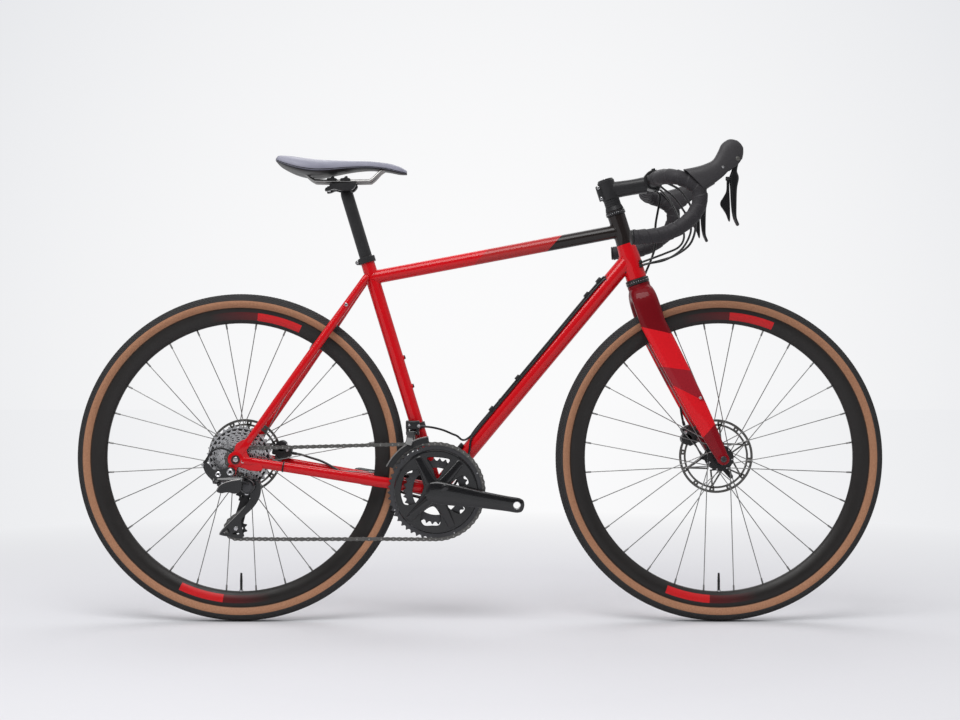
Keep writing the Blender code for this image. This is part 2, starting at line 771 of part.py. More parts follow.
def make_rear_axle():
    right = -(REAR_DROPOUT_WIDTH / 2 + DROPOUT_THICKNESS + 2 * SEAT_GAP)
    left = -right
    head = left + 0.0048
    profile = [
        (0, right),
        (THRU_AXLE_RADIUS - 0.001, right),
        (THRU_AXLE_RADIUS, right + 0.001),
        (THRU_AXLE_RADIUS, left),
        (THRU_AXLE_HEAD_RADIUS, left),
        (THRU_AXLE_HEAD_RADIUS, head),
        (0, head),
    ]
    turned("rear_thru_axle", REAR_AXLE, Y_AXIS, profile, black_metal(), sides=16)


def make_bottom_bracket():
    inner = SPINDLE_RADIUS + RUNNING_GAP
    sleeve = BB_SHELL_BORE_RADIUS - SEAT_GAP * 2
    half = BB_SHELL_WIDTH / 2 + SEAT_GAP
    rim = half + CUP_FLANGE_WIDTH
    profile = [
        (inner, -rim),
        (CUP_FLANGE_RADIUS, -rim),
        (CUP_FLANGE_RADIUS, -half),
        (sleeve, -half),
        (sleeve, half),
        (CUP_FLANGE_RADIUS, half),
        (CUP_FLANGE_RADIUS, rim),
        (inner, rim),
    ]
    turned("bottom_bracket_bearings", BB, Y_AXIS, profile, black_metal())


def leg_point(drop, y):
    """A point on a fork leg's centre line, a given distance down from the crown."""
    offset = FORK_RAKE * max(0.0, (drop - LEG_BEND) / (FORK_LENGTH - LEG_BEND))
    return CROWN - STEER_UP * drop + STEER_FORWARD * offset + Y_AXIS * y


def make_fork():
    steerer_top = STEM_HEIGHT_ON_STEERER + STEM_CLAMP_HEIGHT / 2 - 0.002
    steerer = [(0, -CROWN_HALF_HEIGHT), (STEERER_RADIUS, -CROWN_HALF_HEIGHT)]
    steerer += [(STEERER_RADIUS, steerer_top), (0, steerer_top)]
    fork = turned("fork", CROWN, STEER_UP, steerer, red_paint())
    crown_centre = CROWN - STEER_UP * CROWN_HALF_HEIGHT
    reach = Y_AXIS * 0.040
    crown = swept(
        "fork_crown", [crown_centre - reach, crown_centre + reach],
        [CROWN_HALF_DEPTH * 0.96] * 2, [CROWN_HALF_HEIGHT] * 2,
        sides=10, hint=STEER_FORWARD, squareness=3.2,
    )
    stations = (
        (0.012, 0.0335, 0.0240, 0.0125),
        (0.045, 0.0375, 0.0270, 0.0130),
        (LEG_BEND, 0.0420, 0.0262, 0.0120),
        (0.160, 0.0490, 0.0255, 0.0105),
        (0.230, 0.0550, 0.0238, 0.0092),
        (0.290, LEG_Y, 0.0215, 0.0082),
        (0.355, LEG_Y, 0.0172, LEG_HALF_WIDTH),
        (FORK_LENGTH + 0.010, LEG_Y, 0.0118, LEG_HALF_WIDTH - 0.0002),
    )
    legs = []
    for name, side in (("fork_leg_right", -1), ("fork_leg_left", 1)):
        path = [leg_point(drop, side * y) for drop, y, _, _ in stations]
        depths = [depth for _, _, depth, _ in stations]
        widths = [width for _, _, _, width in stations]
        legs.append(swept(name, path, widths, depths, sides=10, squareness=2.3))
    join(fork, crown, *legs)
    holes = []
    for name, side in (("fork_hole_right", -1), ("fork_hole_left", 1)):
        start = FRONT_AXLE + Y_AXIS * side * (LEG_Y - 0.012)
        end = FRONT_AXLE + Y_AXIS * side * (LEG_Y + 0.012)
        holes.append(rod(name, start, end, THRU_AXLE_RADIUS + SEAT_GAP, sides=16))
    cut(fork, *holes, tunnel("fork_hose_tunnel", FRONT_HOSE_ROUTE, HOSE_RADIUS))
    return fork


def make_front_axle():
    outer = LEG_Y + LEG_HALF_WIDTH + SEAT_GAP
    profile = [
        (0, -outer),
        (THRU_AXLE_RADIUS, -outer),
        (THRU_AXLE_RADIUS, outer),
        (THRU_AXLE_HEAD_RADIUS, outer),
        (THRU_AXLE_HEAD_RADIUS, outer + 0.009),
        (0, outer + 0.009),
    ]
    axle = turned("front_thru_axle", FRONT_AXLE, Y_AXIS, profile, black_metal(), sides=16)
    root = FRONT_AXLE + Y_AXIS * (outer + 0.0055)
    tip = root + Vector((0.040, 0.010, -0.0480))
    lever = swept(
        "front_axle_lever", [root, root.lerp(tip, 0.5) + Y_AXIS * 0.003, tip],
        [0.0030, 0.0034, 0.0026], [0.0070, 0.0062, 0.0050], sides=8,
    )
    return join(axle, lever)


def make_tyre(name, axle, finish):
    half = TYRE_WIDTH / 2
    crown_height = TYRE_RADIUS - BEAD_RADIUS
    inside = RIM_WIDTH / 2 - RIM_WALL - SEAT_GAP
    bead = BEAD_RADIUS - BEAD_DEPTH
    outer = [
        (bead, inside),
        (BEAD_RADIUS + SEAT_GAP, inside),
        (BEAD_RADIUS + crown_height * 0.42, half),
        (BEAD_RADIUS + crown_height * 0.80, half * 0.74),
        (TYRE_RADIUS, 0),
    ]
    inner = [
        (bead, inside - TYRE_WALL),
        (BEAD_RADIUS + crown_height * 0.50, half - TYRE_WALL),
        (TYRE_RADIUS - TYRE_WALL * 1.6, 0),
    ]
    profile = outer + [(r, -y) for r, y in reversed(outer[:-1])]
    profile += [(r, -y) for r, y in inner] + [(r, y) for r, y in reversed(inner[:-1])]
    return turned(name, axle, Y_AXIS, profile, finish, sides=WHEEL_SEGMENTS)


def make_rim(name, axle):
    """A deep rim: side walls up to the tyre, a floor for its beads, and a rounded inner edge."""
    half = RIM_WIDTH / 2
    well = half - RIM_WALL
    profile = [
        (BEAD_RADIUS, well),
        (BEAD_RADIUS, half),
        (RIM_FLOOR_RADIUS - 0.0020, half),
        (RIM_INNER_RADIUS, half * 0.36),
    ]
    profile += [(r, -y) for r, y in reversed(profile)]
    profile += [(RIM_FLOOR_RADIUS, -well), (RIM_FLOOR_RADIUS, well)]
    rim = turned(name, axle, Y_AXIS, profile, black_metal(), sides=WHEEL_SEGMENTS)
    low = axle - Z_AXIS * (RIM_FLOOR_RADIUS + 0.004)
    high = axle - Z_AXIS * (RIM_INNER_RADIUS - 0.004)
    return cut(rim, rod(name + "_valve_hole", low, high, VALVE_RADIUS + SEAT_GAP, sides=8))


def make_inner_tube(name, axle):
    """The air tube inside the tyre, with the valve stem that stands up through the rim."""
    radius = 0.0095
    centre = BEAD_RADIUS + 0.0140
    profile = []
    corners = 5
    for i in range(corners):
        angle = 2 * math.pi * i / corners
        profile.append((centre + radius * math.sin(angle), radius * 1.15 * math.cos(angle)))
    tube = turned(name, axle, Y_AXIS, profile, rubber(), sides=20)
    foot = axle - Z_AXIS * (centre - radius * 0.4)
    top = axle - Z_AXIS * (RIM_INNER_RADIUS - VALVE_LENGTH + 0.006)
    return join(tube, rod(name + "_valve", foot, top, VALVE_RADIUS, sides=8))


def spoke_ends(axle, index, left_y, right_y):
    """The hub end and rim end of one spoke, laced in crossing pairs on alternate flanges."""
    spacing = 2 * math.pi / SPOKE_COUNT
    at_rim = -math.pi / 2 + spacing * (index + 0.5)
    sense = 1 if index % 4 in (0, 1) else -1
    at_hub = at_rim + sense * spacing * 2 * SPOKE_CROSSINGS
    y = -right_y if index % 2 == 0 else left_y
    y += 0.0022 * sense
    hub = axle + Vector((math.cos(at_hub), 0, math.sin(at_hub))) * SPOKE_HOLE_RADIUS + Y_AXIS * y
    reach = RIM_INNER_RADIUS * math.cos(math.pi / WHEEL_SEGMENTS) - SEAT_GAP
    rim_y = math.copysign(0.0015, y)
    rim = axle + Vector((math.cos(at_rim), 0, math.sin(at_rim))) * reach + Y_AXIS * rim_y
    return hub, rim


def make_hub(name, axle, half_width, left_y, right_y, rotor_y, freehub):
    """The hub shell with its two flanges, and the spokes laced into them.

    A rear hub's shell ends at the cassette, whose own body carries on along the axle.
    """
    bore = THRU_AXLE_RADIUS + SEAT_GAP
    cap = HUB_END_RADIUS
    barrel = HUB_BARREL_RADIUS
    flange = HUB_FLANGE_RADIUS
    thick = HUB_FLANGE_THICKNESS / 2
    spline = ROTOR_CARRIER_RADIUS - 0.0060
    rotor_seat = rotor_y + ROTOR_THICKNESS + SEAT_GAP
    right_end = [(bore, -half_width), (cap, -half_width), (cap, -half_width + 0.004)]
    if freehub:
        face = CASSETTE_INNER_FACE + RUNNING_GAP
        right_end = [(bore, face), (cap, face)]
    profile = right_end + [
        (barrel, -right_y - 0.0052),
        (barrel, -right_y - thick),
        (flange, -right_y - thick),
        (flange, -right_y + thick),
        (barrel, -right_y + thick * 3),
        (barrel, left_y - thick * 3),
        (flange, left_y - thick),
        (flange, left_y + thick),
        (spline, left_y + thick * 2),
        (spline, rotor_seat),
        (cap, rotor_seat),
        (cap, half_width),
        (bore, half_width),
    ]
    hub = turned(name, axle, Y_AXIS, profile, black_metal(), sides=12)
    spokes = []
    for index in range(SPOKE_COUNT):
        start, end = spoke_ends(axle, index, left_y, right_y)
        spokes.append(rod(f"{name}_spoke_{index}", start, end, SPOKE_RADIUS, sides=3))
    return join(hub, *spokes)


def make_rotor(name, axle, y, side):
    band = [
        (ROTOR_RADIUS - ROTOR_BAND_WIDTH, -ROTOR_THICKNESS / 2),
        (ROTOR_RADIUS, -ROTOR_THICKNESS / 2),
        (ROTOR_RADIUS, ROTOR_THICKNESS / 2),
        (ROTOR_RADIUS - ROTOR_BAND_WIDTH, ROTOR_THICKNESS / 2),
    ]
    centre = axle + Y_AXIS * y
    rotor = turned(name, centre, Y_AXIS, band, steel(), sides=24)
    bore = ROTOR_CARRIER_RADIUS - 0.0060 + SEAT_GAP
    carrier_half = ROTOR_THICKNESS * 0.8
    carrier = [
        (bore, -carrier_half),
        (ROTOR_CARRIER_RADIUS, -carrier_half),
        (ROTOR_CARRIER_RADIUS, carrier_half),
        (bore, carrier_half),
    ]
    pieces = [turned(name + "_carrier", centre, Y_AXIS, carrier)]
    for i in range(ROTOR_ARM_COUNT):
        root_angle = 2 * math.pi * i / ROTOR_ARM_COUNT
        tip_angle = root_angle - side * 0.45
        root = Vector((math.cos(root_angle), 0, math.sin(root_angle))) * (ROTOR_CARRIER_RADIUS - 0.0025)
        reach = ROTOR_RADIUS - ROTOR_BAND_WIDTH + 0.003
        tip = Vector((math.cos(tip_angle), 0, math.sin(tip_angle))) * reach
        arm = swept(
            f"{name}_arm_{i}", [centre + root, centre + tip],
            [ROTOR_THICKNESS * 0.36] * 2, [0.0040, 0.0034], sides=4,
        )
        pieces.append(arm)
    return join(rotor, *pieces)


def toothed_outline(centre, teeth, tip_above_pitch):
    """An (x, z) outline with one tip and one root for each tooth."""
    tip = pitch_radius(teeth) + tip_above_pitch
    root = tip - TOOTH_DEPTH
    outline = []
    for i in range(teeth):
        for radius, angle in ((tip, 2 * math.pi * i / teeth), (root, 2 * math.pi * (i + 0.5) / teeth)):
            outline.append((centre.x + radius * math.cos(angle), centre.z + radius * math.sin(angle)))
    return outline


def star_outline(centre, inner, outer, arm_half_angle):
    """A round window of the outer radius, drawn in to the inner one at each arm of the spider."""
    outline = []
    for arm, following in zip(SPIDER_ARMS, SPIDER_ARMS[1:] + (SPIDER_ARMS[0] + 360,)):
        first, last = math.radians(arm) - arm_half_angle, math.radians(arm) + arm_half_angle
        for angle in (first, (first + last) / 2, last):
            outline.append((inner, angle))
        gap_end = math.radians(following) - arm_half_angle
        steps = 6
        for i in range(steps + 1):
            outline.append((outer, last + 0.06 + (gap_end - last - 0.12) * i / steps))
    return [(centre.x + r * math.cos(a), centre.z + r * math.sin(a)) for r, a in outline]


def make_cassette():
    """Eleven cogs as one stepped cone on their freehub body, with a groove behind the smallest."""
    bore = THRU_AXLE_RADIUS + SEAT_GAP
    half = COG_THICKNESS / 2
    smallest = CASSETTE_SMALL_Y
    lock_face = smallest - 0.0025
    end = SEAT_GAP - REAR_DROPOUT_WIDTH / 2
    tips = [pitch_radius(teeth) + TOOTH_ABOVE_PITCH for teeth in COG_TEETH]
    floor = pitch_radius(COG_TEETH[0]) - CHAIN_LINK_HALF_HEIGHT - 0.0010
    lock_ring = floor - 0.0010
    profile = [(bore, end), (HUB_END_RADIUS, end), (HUB_END_RADIUS, lock_face)]
    profile += [(lock_ring, lock_face), (lock_ring, smallest - half)]
    profile += [(tips[0], smallest - half), (tips[0], smallest + half), (floor, smallest + half)]
    foot = floor
    for i in range(1, len(COG_TEETH)):
        face = smallest + COG_SPACING * i - half
        profile += [(foot, face), (tips[i], face)]
        foot = tips[i]
    profile += [(tips[-1], CASSETTE_INNER_FACE), (bore, CASSETTE_INNER_FACE)]
    return turned("cassette", REAR_AXLE, Y_AXIS, profile, steel())


def make_outer_ring():
    half = RING_THICKNESS / 2
    outline = toothed_outline(BB, OUTER_RING_TEETH, TOOTH_ABOVE_PITCH)
    ring = plate("chainring_outer", outline, OUTER_RING_Y - half, OUTER_RING_Y + half, black_metal())
    inner = SPIDER_BOLT_RADIUS - 0.0050
    window = star_outline(BB, inner, OUTER_RING_WINDOW_RADIUS, math.radians(13))
    return cut(ring, plate("chainring_outer_window", window, OUTER_RING_Y - 0.005, OUTER_RING_Y + 0.005))


def make_inner_ring():
    half = RING_THICKNESS / 2
    y = OUTER_RING_Y + RING_SPACING
    outline = toothed_outline(BB, INNER_RING_TEETH, TOOTH_ABOVE_PITCH)
    ring = plate("chainring_inner", outline, y - half, y + half, black_metal())
    reach = Y_AXIS * 0.005
    centre = BB + Y_AXIS * y
    hole = rod("chainring_inner_hole", centre - reach, centre + reach, SPIDER_BOLT_RADIUS - 0.006, sides=32)
    return cut(ring, hole)


def crank_outline(direction):
    """An arm with round ends and a slight waist, as (x, z) points from the spindle outward."""
    across = Vector((-direction.z, 0, direction.x))
    root, end = CRANK_ROOT_RADIUS, CRANK_END_RADIUS
    waist = end * 0.86
    outline = []
    turns = 7
    for i in range(turns + 1):
        angle = math.pi / 2 + math.pi * i / turns
        outline.append(BB + direction * root * math.cos(angle) + across * root * math.sin(angle))
    outline.append(BB + direction * CRANK_LENGTH * 0.62 - across * waist)
    for i in range(turns + 1):
        angle = -math.pi / 2 + math.pi * i / turns
        tip = BB + direction * (CRANK_LENGTH + end * math.cos(angle))
        outline.append(tip + across * end * math.sin(angle))
    outline.append(BB + direction * CRANK_LENGTH * 0.62 + across * waist)
    return [(point.x, point.z) for point in outline]


def pedal_hole(name, direction, side):
    centre = BB + direction * CRANK_LENGTH
    inner = centre + Y_AXIS * side * (CRANK_OUTER_Y - CRANK_THICKNESS - 0.002)
    outer = centre + Y_AXIS * side * (CRANK_OUTER_Y + 0.002)
    return rod(name, inner, outer, PEDAL_HOLE_RADIUS, sides=16)


def crank_direction(side):
    forward = Vector((math.cos(CRANK_BELOW_LEVEL), 0, -math.sin(CRANK_BELOW_LEVEL)))
    return forward * -side


def cup_face():
    """How far out the outer face of each bottom bracket cup lies."""
    return BB_SHELL_WIDTH / 2 + SEAT_GAP + CUP_FLANGE_WIDTH


def make_crank_right():
    """The right arm with its spindle and the four-armed spider that carries both rings."""
    direction = crank_direction(-1)
    outer, inner = -CRANK_OUTER_Y, -CRANK_OUTER_Y + CRANK_THICKNESS
    arm = plate("crank_right", crank_outline(direction), outer, inner, black_metal())
    spider_out = OUTER_RING_Y + RING_THICKNESS / 2 + SEAT_GAP
    spider_in = OUTER_RING_Y + RING_SPACING - RING_THICKNESS / 2 - SEAT_GAP
    boss = CUP_FLANGE_RADIUS + 0.0040
    recess = CUP_FLANGE_RADIUS + 0.0010
    floor = -(cup_face() + RUNNING_GAP)
    profile = [
        (0, inner - 0.004),
        (boss, inner - 0.004),
        (boss, spider_in),
        (recess, spider_in),
        (recess, floor),
        (SPINDLE_RADIUS, floor),
        (SPINDLE_RADIUS, SPINDLE_LEFT_END),
        (0, SPINDLE_LEFT_END),
    ]
    pieces = [turned("crank_spindle", BB, Y_AXIS, profile)]
    for i, arm_angle in enumerate(SPIDER_ARMS):
        angle = math.radians(arm_angle)
        outline = []
        for radius, spread in ((recess + 0.001, -0.42), (SPIDER_BOLT_RADIUS + 0.006, -0.15),
                               (SPIDER_BOLT_RADIUS + 0.006, 0.15), (recess + 0.001, 0.42)):
            outline.append((
                BB.x + radius * math.cos(angle + spread),
                BB.z + radius * math.sin(angle + spread),
            ))
        pieces.append(plate(f"spider_arm_{i}", outline, spider_out, spider_in))
    join(arm, *pieces)
    return cut(arm, pedal_hole("pedal_hole_right", direction, -1))


def make_crank_left():
    direction = crank_direction(1)
    inner = CRANK_OUTER_Y - CRANK_THICKNESS
    arm = plate("crank_left", crank_outline(direction), inner, CRANK_OUTER_Y, black_metal())
    boss_inner = cup_face() + RUNNING_GAP
    boss_outer = inner + 0.004
    boss = [(0, boss_inner), (CRANK_ROOT_RADIUS - 0.002, boss_inner)]
    boss += [(CRANK_ROOT_RADIUS - 0.001, boss_outer), (0, boss_outer)]
    join(arm, turned("crank_left_boss", BB, Y_AXIS, boss))
    bore_end = BB + Y_AXIS * (SPINDLE_LEFT_END + SEAT_GAP)
    bore = rod("crank_left_bore", BB, bore_end, SPINDLE_RADIUS + SEAT_GAP * 1.5, sides=24)
    return cut(arm, bore, pedal_hole("pedal_hole_left", direction, 1))


def pulley_centres():
    guide = REAR_AXLE + Vector((GUIDE_PULLEY_FORWARD, CASSETTE_SMALL_Y, -GUIDE_PULLEY_BELOW))
    tension = REAR_AXLE + Vector((-TENSION_PULLEY_BACK, CASSETTE_SMALL_Y, -TENSION_PULLEY_BELOW))
    return guide, tension


def chain_circles():
    """The circles the chain runs round, in order: (centre, radius, 1 for clockwise or -1)."""
    guide, tension = pulley_centres()
    small = pitch_radius(PULLEY_TEETH)
    ring = BB + Y_AXIS * OUTER_RING_Y
    cog = REAR_AXLE + Y_AXIS * CASSETTE_SMALL_Y
    return [
        (ring, pitch_radius(OUTER_RING_TEETH), 1),
        (tension, small, 1),
        (guide, small, -1),
        (cog, pitch_radius(COG_TEETH[0]), 1),
    ]


def chain_centre_line():
    """Points every millimetre or so along the closed loop of the chain."""
    circles = chain_circles()
    runs = []
    for (first, first_radius, first_sense), (second, second_radius, second_sense) in zip(
        circles, circles[1:] + circles[:1]
    ):
        gap = second - first
        length = math.hypot(gap.x, gap.z)
        r1, r2 = first_radius * first_sense, second_radius * second_sense
        heading = math.atan2(gap.z, gap.x) + math.asin((r2 - r1) / length)
        normal = Vector((-math.sin(heading), 0, math.cos(heading)))
        runs.append((heading, first + normal * r1, second + normal * r2))
    line = []
    for i, (centre, radius, sense) in enumerate(circles):
        heading_in, heading_out = runs[i - 1][0], runs[i][0]
        turn = ((heading_in - heading_out) * sense) % (2 * math.pi)
        steps = max(4, round(turn * radius / 0.001))
        for k in range(steps):
            heading = heading_in - sense * turn * k / steps
            normal = Vector((-math.sin(heading), 0, math.cos(heading)))
            line.append(centre + normal * radius * sense)
        start, end = runs[i][1], runs[i][2]
        run = (end - start).length
        hold = min(CHAIN_STRAIGHT_LEAD, run * 0.3)
        steps = max(4, round(run / 0.001))
        for k in range(steps):
            along = run * k / steps
            point = start.lerp(end, k / steps)
            share = min(1.0, max(0.0, (along - hold) / (run - 2 * hold)))
            point.y = start.y + (end.y - start.y) * share
            line.append(point)
    return line


def make_chain():
    """The chain as one closed band with a facet for each link, slotted where teeth pass into it."""
    line = chain_centre_line()
    lengths = [0.0]
    for first, second in zip(line, line[1:] + line[:1]):
        lengths.append(lengths[-1] + (second - first).length)
    links = 2 * round(lengths[-1] / CHAIN_PITCH / 2)
    stations = links
    centres = []
    k = 0
    for i in range(stations):
        wanted = lengths[-1] * i / stations
        while lengths[k + 1] < wanted:
            k += 1
        share = (wanted - lengths[k]) / (lengths[k + 1] - lengths[k])
        centres.append(line[k].lerp(line[(k + 1) % len(line)], share))
    rings = []
    for i, centre in enumerate(centres):
        along = centres[(i + 1) % stations] - centres[i - 1]
        height = CHAIN_LINK_HALF_HEIGHT
        across, over = side_vectors(Vector((along.x, 0, along.z)), Y_AXIS)
        corners = ((-1, -1), (1, -1), (1, 1), (-1, 1))
        rings.append([centre + across * u * CHAIN_HALF_WIDTH + over * v * height for u, v in corners])
    chain = loft("chain", rings, steel(), closed=True)
    slots = []
    half = TOOTH_SLOT_WIDTH / 2
    for i, (centre, radius, _) in enumerate(chain_circles()):
        depth = radius + TOOTH_ABOVE_PITCH + 0.0004
        profile = [(0, -half), (depth, -half), (depth, half), (0, half)]
        sides = 40 if radius > 0.05 else 20
        slots.append(turned(f"chain_slot_{i}", centre, Y_AXIS, profile, sides=sides))
    return cut(chain, *slots)


def make_pulley(name, centre):
    half = RING_THICKNESS / 2
    outline = toothed_outline(centre, PULLEY_TEETH, TOOTH_ABOVE_PITCH / 2)
    pulley = plate(name, outline, centre.y - half, centre.y + half, black_metal())
    reach = Y_AXIS * (CAGE_HALF_GAP - SEAT_GAP)
    hub = rod(name + "_hub", centre - reach, centre + reach, PULLEY_HUB_RADIUS, sides=10)
    bore_radius = PULLEY_BOLT_RADIUS + SEAT_GAP * 2
    bore = rod(name + "_bore", centre - reach * 2, centre + reach * 2, bore_radius, sides=8)
    return cut(join(pulley, hub), bore)


def capsule_outline(first, second, first_radius, second_radius):
    """The (x, z) outline of two discs joined by a straight-sided plate."""
    heading = math.atan2(second.z - first.z, second.x - first.x)
    outline = []
    turns = 6
    ends = ((first, first_radius, heading + math.pi / 2), (second, second_radius, heading - math.pi / 2))
    for centre, radius, base in ends:
        for i in range(turns + 1):
            angle = base + math.pi * i / turns
            outline.append((centre.x + radius * math.cos(angle), centre.z + radius * math.sin(angle)))
    return outline


def make_derailleur_cage():
    """Two plates held together by the bolts that the pulleys turn on."""
    guide, tension = pulley_centres()
    outline = capsule_outline(cage_pivot(), tension, CAGE_TOP_RADIUS, CAGE_BOTTOM_RADIUS)
    near, far = CAGE_HALF_GAP, CAGE_HALF_GAP + CAGE_PLATE_THICKNESS
    cage = plate("derailleur_cage", outline, guide.y - far, guide.y - near, black_metal())
    pieces = [plate("derailleur_cage_inner", outline, guide.y + near, guide.y + far)]
    for i, centre in enumerate((guide, tension)):
        reach = Y_AXIS * (far - 0.0002)
        pieces.append(rod(f"pulley_bolt_{i}", centre - reach, centre + reach, PULLEY_BOLT_RADIUS, sides=8))
    pivot = cage_pivot()
    outer_face = Vector((pivot.x, guide.y - far + 0.0006, pivot.z))
    pin_end = Vector((pivot.x, guide.y - far - 0.0080, pivot.z))
    pieces.append(rod("cage_pivot_pin", outer_face, pin_end, CAGE_PIN_RADIUS, sides=12))
    return join(cage, *pieces)


def cage_pivot():
    return REAR_AXLE + Vector((CAGE_PIVOT_FORWARD, CASSETTE_SMALL_Y, -CAGE_PIVOT_BELOW))


def link_pivots():
    """The link's pivot on the mount and its pivot on the derailleur body."""
    first = REAR_AXLE + Vector((-LINK_PIVOT_BACK, LINK_PIVOT_Y, -LINK_PIVOT_BELOW))
    return first, first + X_AXIS * LINK_LENGTH


def ear(name, pivot, toward, low, high, radius):
    """A plate square to the link's axis, between two levels on it, from a pivot towards a point.

    The point is given in the plane of the plate, as distances along X and along LINK_ACROSS.
    """
    end = Vector((toward[0], toward[1]))
    heading = math.atan2(end.y, end.x)
    turns = 6
    outline = []
    for centre, base in ((Vector((0, 0)), heading + math.pi / 2), (end, heading - math.pi / 2)):
        for i in range(turns + 1):
            angle = base + math.pi * i / turns
            outline.append((centre.x + radius * math.cos(angle), centre.y + radius * math.sin(angle)))
    rings = []
    for level in (low, high):
        rings.append([pivot + X_AXIS * x + LINK_ACROSS * y + LINK_AXIS * level for x, y in outline])
    return loft(name, rings)


def pin_hole(name, pivot, radius):
    reach = LINK_AXIS * (EAR_OUTER + 0.002)
    return rod(name, pivot - reach, pivot + reach, radius, sides=12)


def make_derailleur_link():
    first, second = link_pivots()
    half = EAR_INNER - SEAT_GAP
    link = ear("derailleur_link", first, (LINK_LENGTH, 0.0), -half, half, LINK_END_RADIUS)
    link.data.materials.append(black_metal())
    pins = []
    for i, pivot in enumerate((first, second)):
        reach = LINK_AXIS * (EAR_OUTER - 0.0002)
        pins.append(rod(f"link_pin_{i}", pivot - reach, pivot + reach, LINK_PIN_RADIUS, sides=12))
    return join(link, *pins)


def hanger_point():
    """Where the derailleur bolts on, on the outer face of the hanger."""
    outer = REAR_DROPOUT_WIDTH / 2 + DROPOUT_THICKNESS + SEAT_GAP * 2
    return REAR_AXLE + Vector((-HANGER_BACK, -outer, -HANGER_BELOW))


def make_derailleur_mount():
    """The knuckle bolted to the hanger, with the fork for the link and the cable's barrel."""
    first, _ = link_pivots()
    bolt = hanger_point()
    knuckle_end = bolt - Y_AXIS * MOUNT_KNUCKLE_DEPTH
    knuckle = rod("derailleur_mount", bolt, knuckle_end, MOUNT_KNUCKLE_RADIUS, black_metal(), sides=16)
    upper = first + LINK_AXIS * (EAR_INNER + EAR_OUTER) / 2
    middle = bolt - Y_AXIS * MOUNT_KNUCKLE_DEPTH * 0.6
    arm_path = [upper, upper.lerp(middle, 0.45) + LINK_AXIS * 0.0030, middle]
    half = (EAR_OUTER - EAR_INNER) / 2
    arm = swept(
        "mount_arm", arm_path, [0.0055, 0.0048, 0.0044], [half, 0.0036, 0.0044],
        sides=8, hint=LINK_ACROSS,
    )
    web_centre = first - X_AXIS * (LINK_END_RADIUS + 0.0028)
    web_reach = LINK_AXIS * (EAR_OUTER - 0.0003)
    web_path = [web_centre - web_reach, web_centre + web_reach]
    web = swept("mount_web", web_path, [0.0022] * 2, [0.0048] * 2, sides=8, hint=X_AXIS, squareness=4.0)
    ears = []
    for i, (low, high) in enumerate(((-EAR_OUTER, -EAR_INNER), (EAR_INNER, EAR_OUTER))):
        ears.append(ear(f"mount_ear_{i}", first, (-LINK_END_RADIUS * 0.6, 0.0), low, high, LINK_END_RADIUS))
    barrel_start, barrel_end = BARREL_TOP, BARREL_TOP + BARREL_DIRECTION * BARREL_LENGTH
    barrel = rod("mount_barrel", barrel_start, barrel_end, 0.0040, sides=12)
    strut_middle = web_centre.lerp(barrel_end, 0.55) - X_AXIS * 0.001
    strut_path = [web_centre, strut_middle, barrel_start.lerp(barrel_end, 0.55)]
    strut_radii = [0.0036, 0.0034, 0.0030]
    strut = swept("mount_strut", strut_path, strut_radii, strut_radii, sides=8)
    join(knuckle, arm, web, *ears, barrel, strut)
    return cut(knuckle, pin_hole("mount_pin_hole", first, LINK_PIN_RADIUS + SEAT_GAP * 1.5))


def make_derailleur_body():
    """The knuckle that the cage swings on, with the fork for the link."""
    _, second = link_pivots()
    pivot = cage_pivot()
    face = CASSETTE_SMALL_Y - CAGE_HALF_GAP - CAGE_PLATE_THICKNESS - SEAT_GAP
    inner = Vector((pivot.x, face, pivot.z))
    outer = Vector((pivot.x, face - BODY_KNUCKLE_DEPTH, pivot.z))
    body = rod("derailleur_body", inner, outer, BODY_KNUCKLE_RADIUS, black_metal(), sides=20)
    ears = []
    for i, (low, high) in enumerate(((-EAR_OUTER, -EAR_INNER), (EAR_INNER, EAR_OUTER))):
        ears.append(ear(f"body_ear_{i}", second, (0.0100, 0.0085), low, high, LINK_END_RADIUS + 0.0010))
    join(body, *ears)
    clearance = LINK_END_RADIUS + 0.0022
    slot = ear("body_slot", second, (-0.0080, -0.0010), -EAR_INNER, EAR_INNER, clearance)
    space_radius = CAGE_PIN_RADIUS + SEAT_GAP * 1.5
    pin_space = rod(
        "body_pin_hole", inner + Y_AXIS * 0.001, inner - Y_AXIS * 0.0090, space_radius, sides=12,
    )
    link_hole = pin_hole("body_link_hole", second, LINK_PIN_RADIUS + SEAT_GAP * 1.5)
    return cut(body, slot, link_hole, pin_space)


def arc_plate(name, centre, inner, outer, start, end, y_low, y_high, finish=None):
    """A flat plate shaped as part of a ring about a centre in the side view."""
    steps = max(2, round((end - start) / math.radians(9)))
    outline = []
    for radius, order in ((outer, range(steps + 1)), (inner, range(steps, -1, -1))):
        for i in order:
            angle = start + (end - start) * i / steps
            outline.append((centre.x + radius * math.cos(angle), centre.z + radius * math.sin(angle)))
    return plate(name, outline, y_low, y_high, finish)


def fd_pivot():
    return BB + Vector((-FD_PIVOT_BACK, FD_PIVOT_Y, FD_PIVOT_ABOVE))


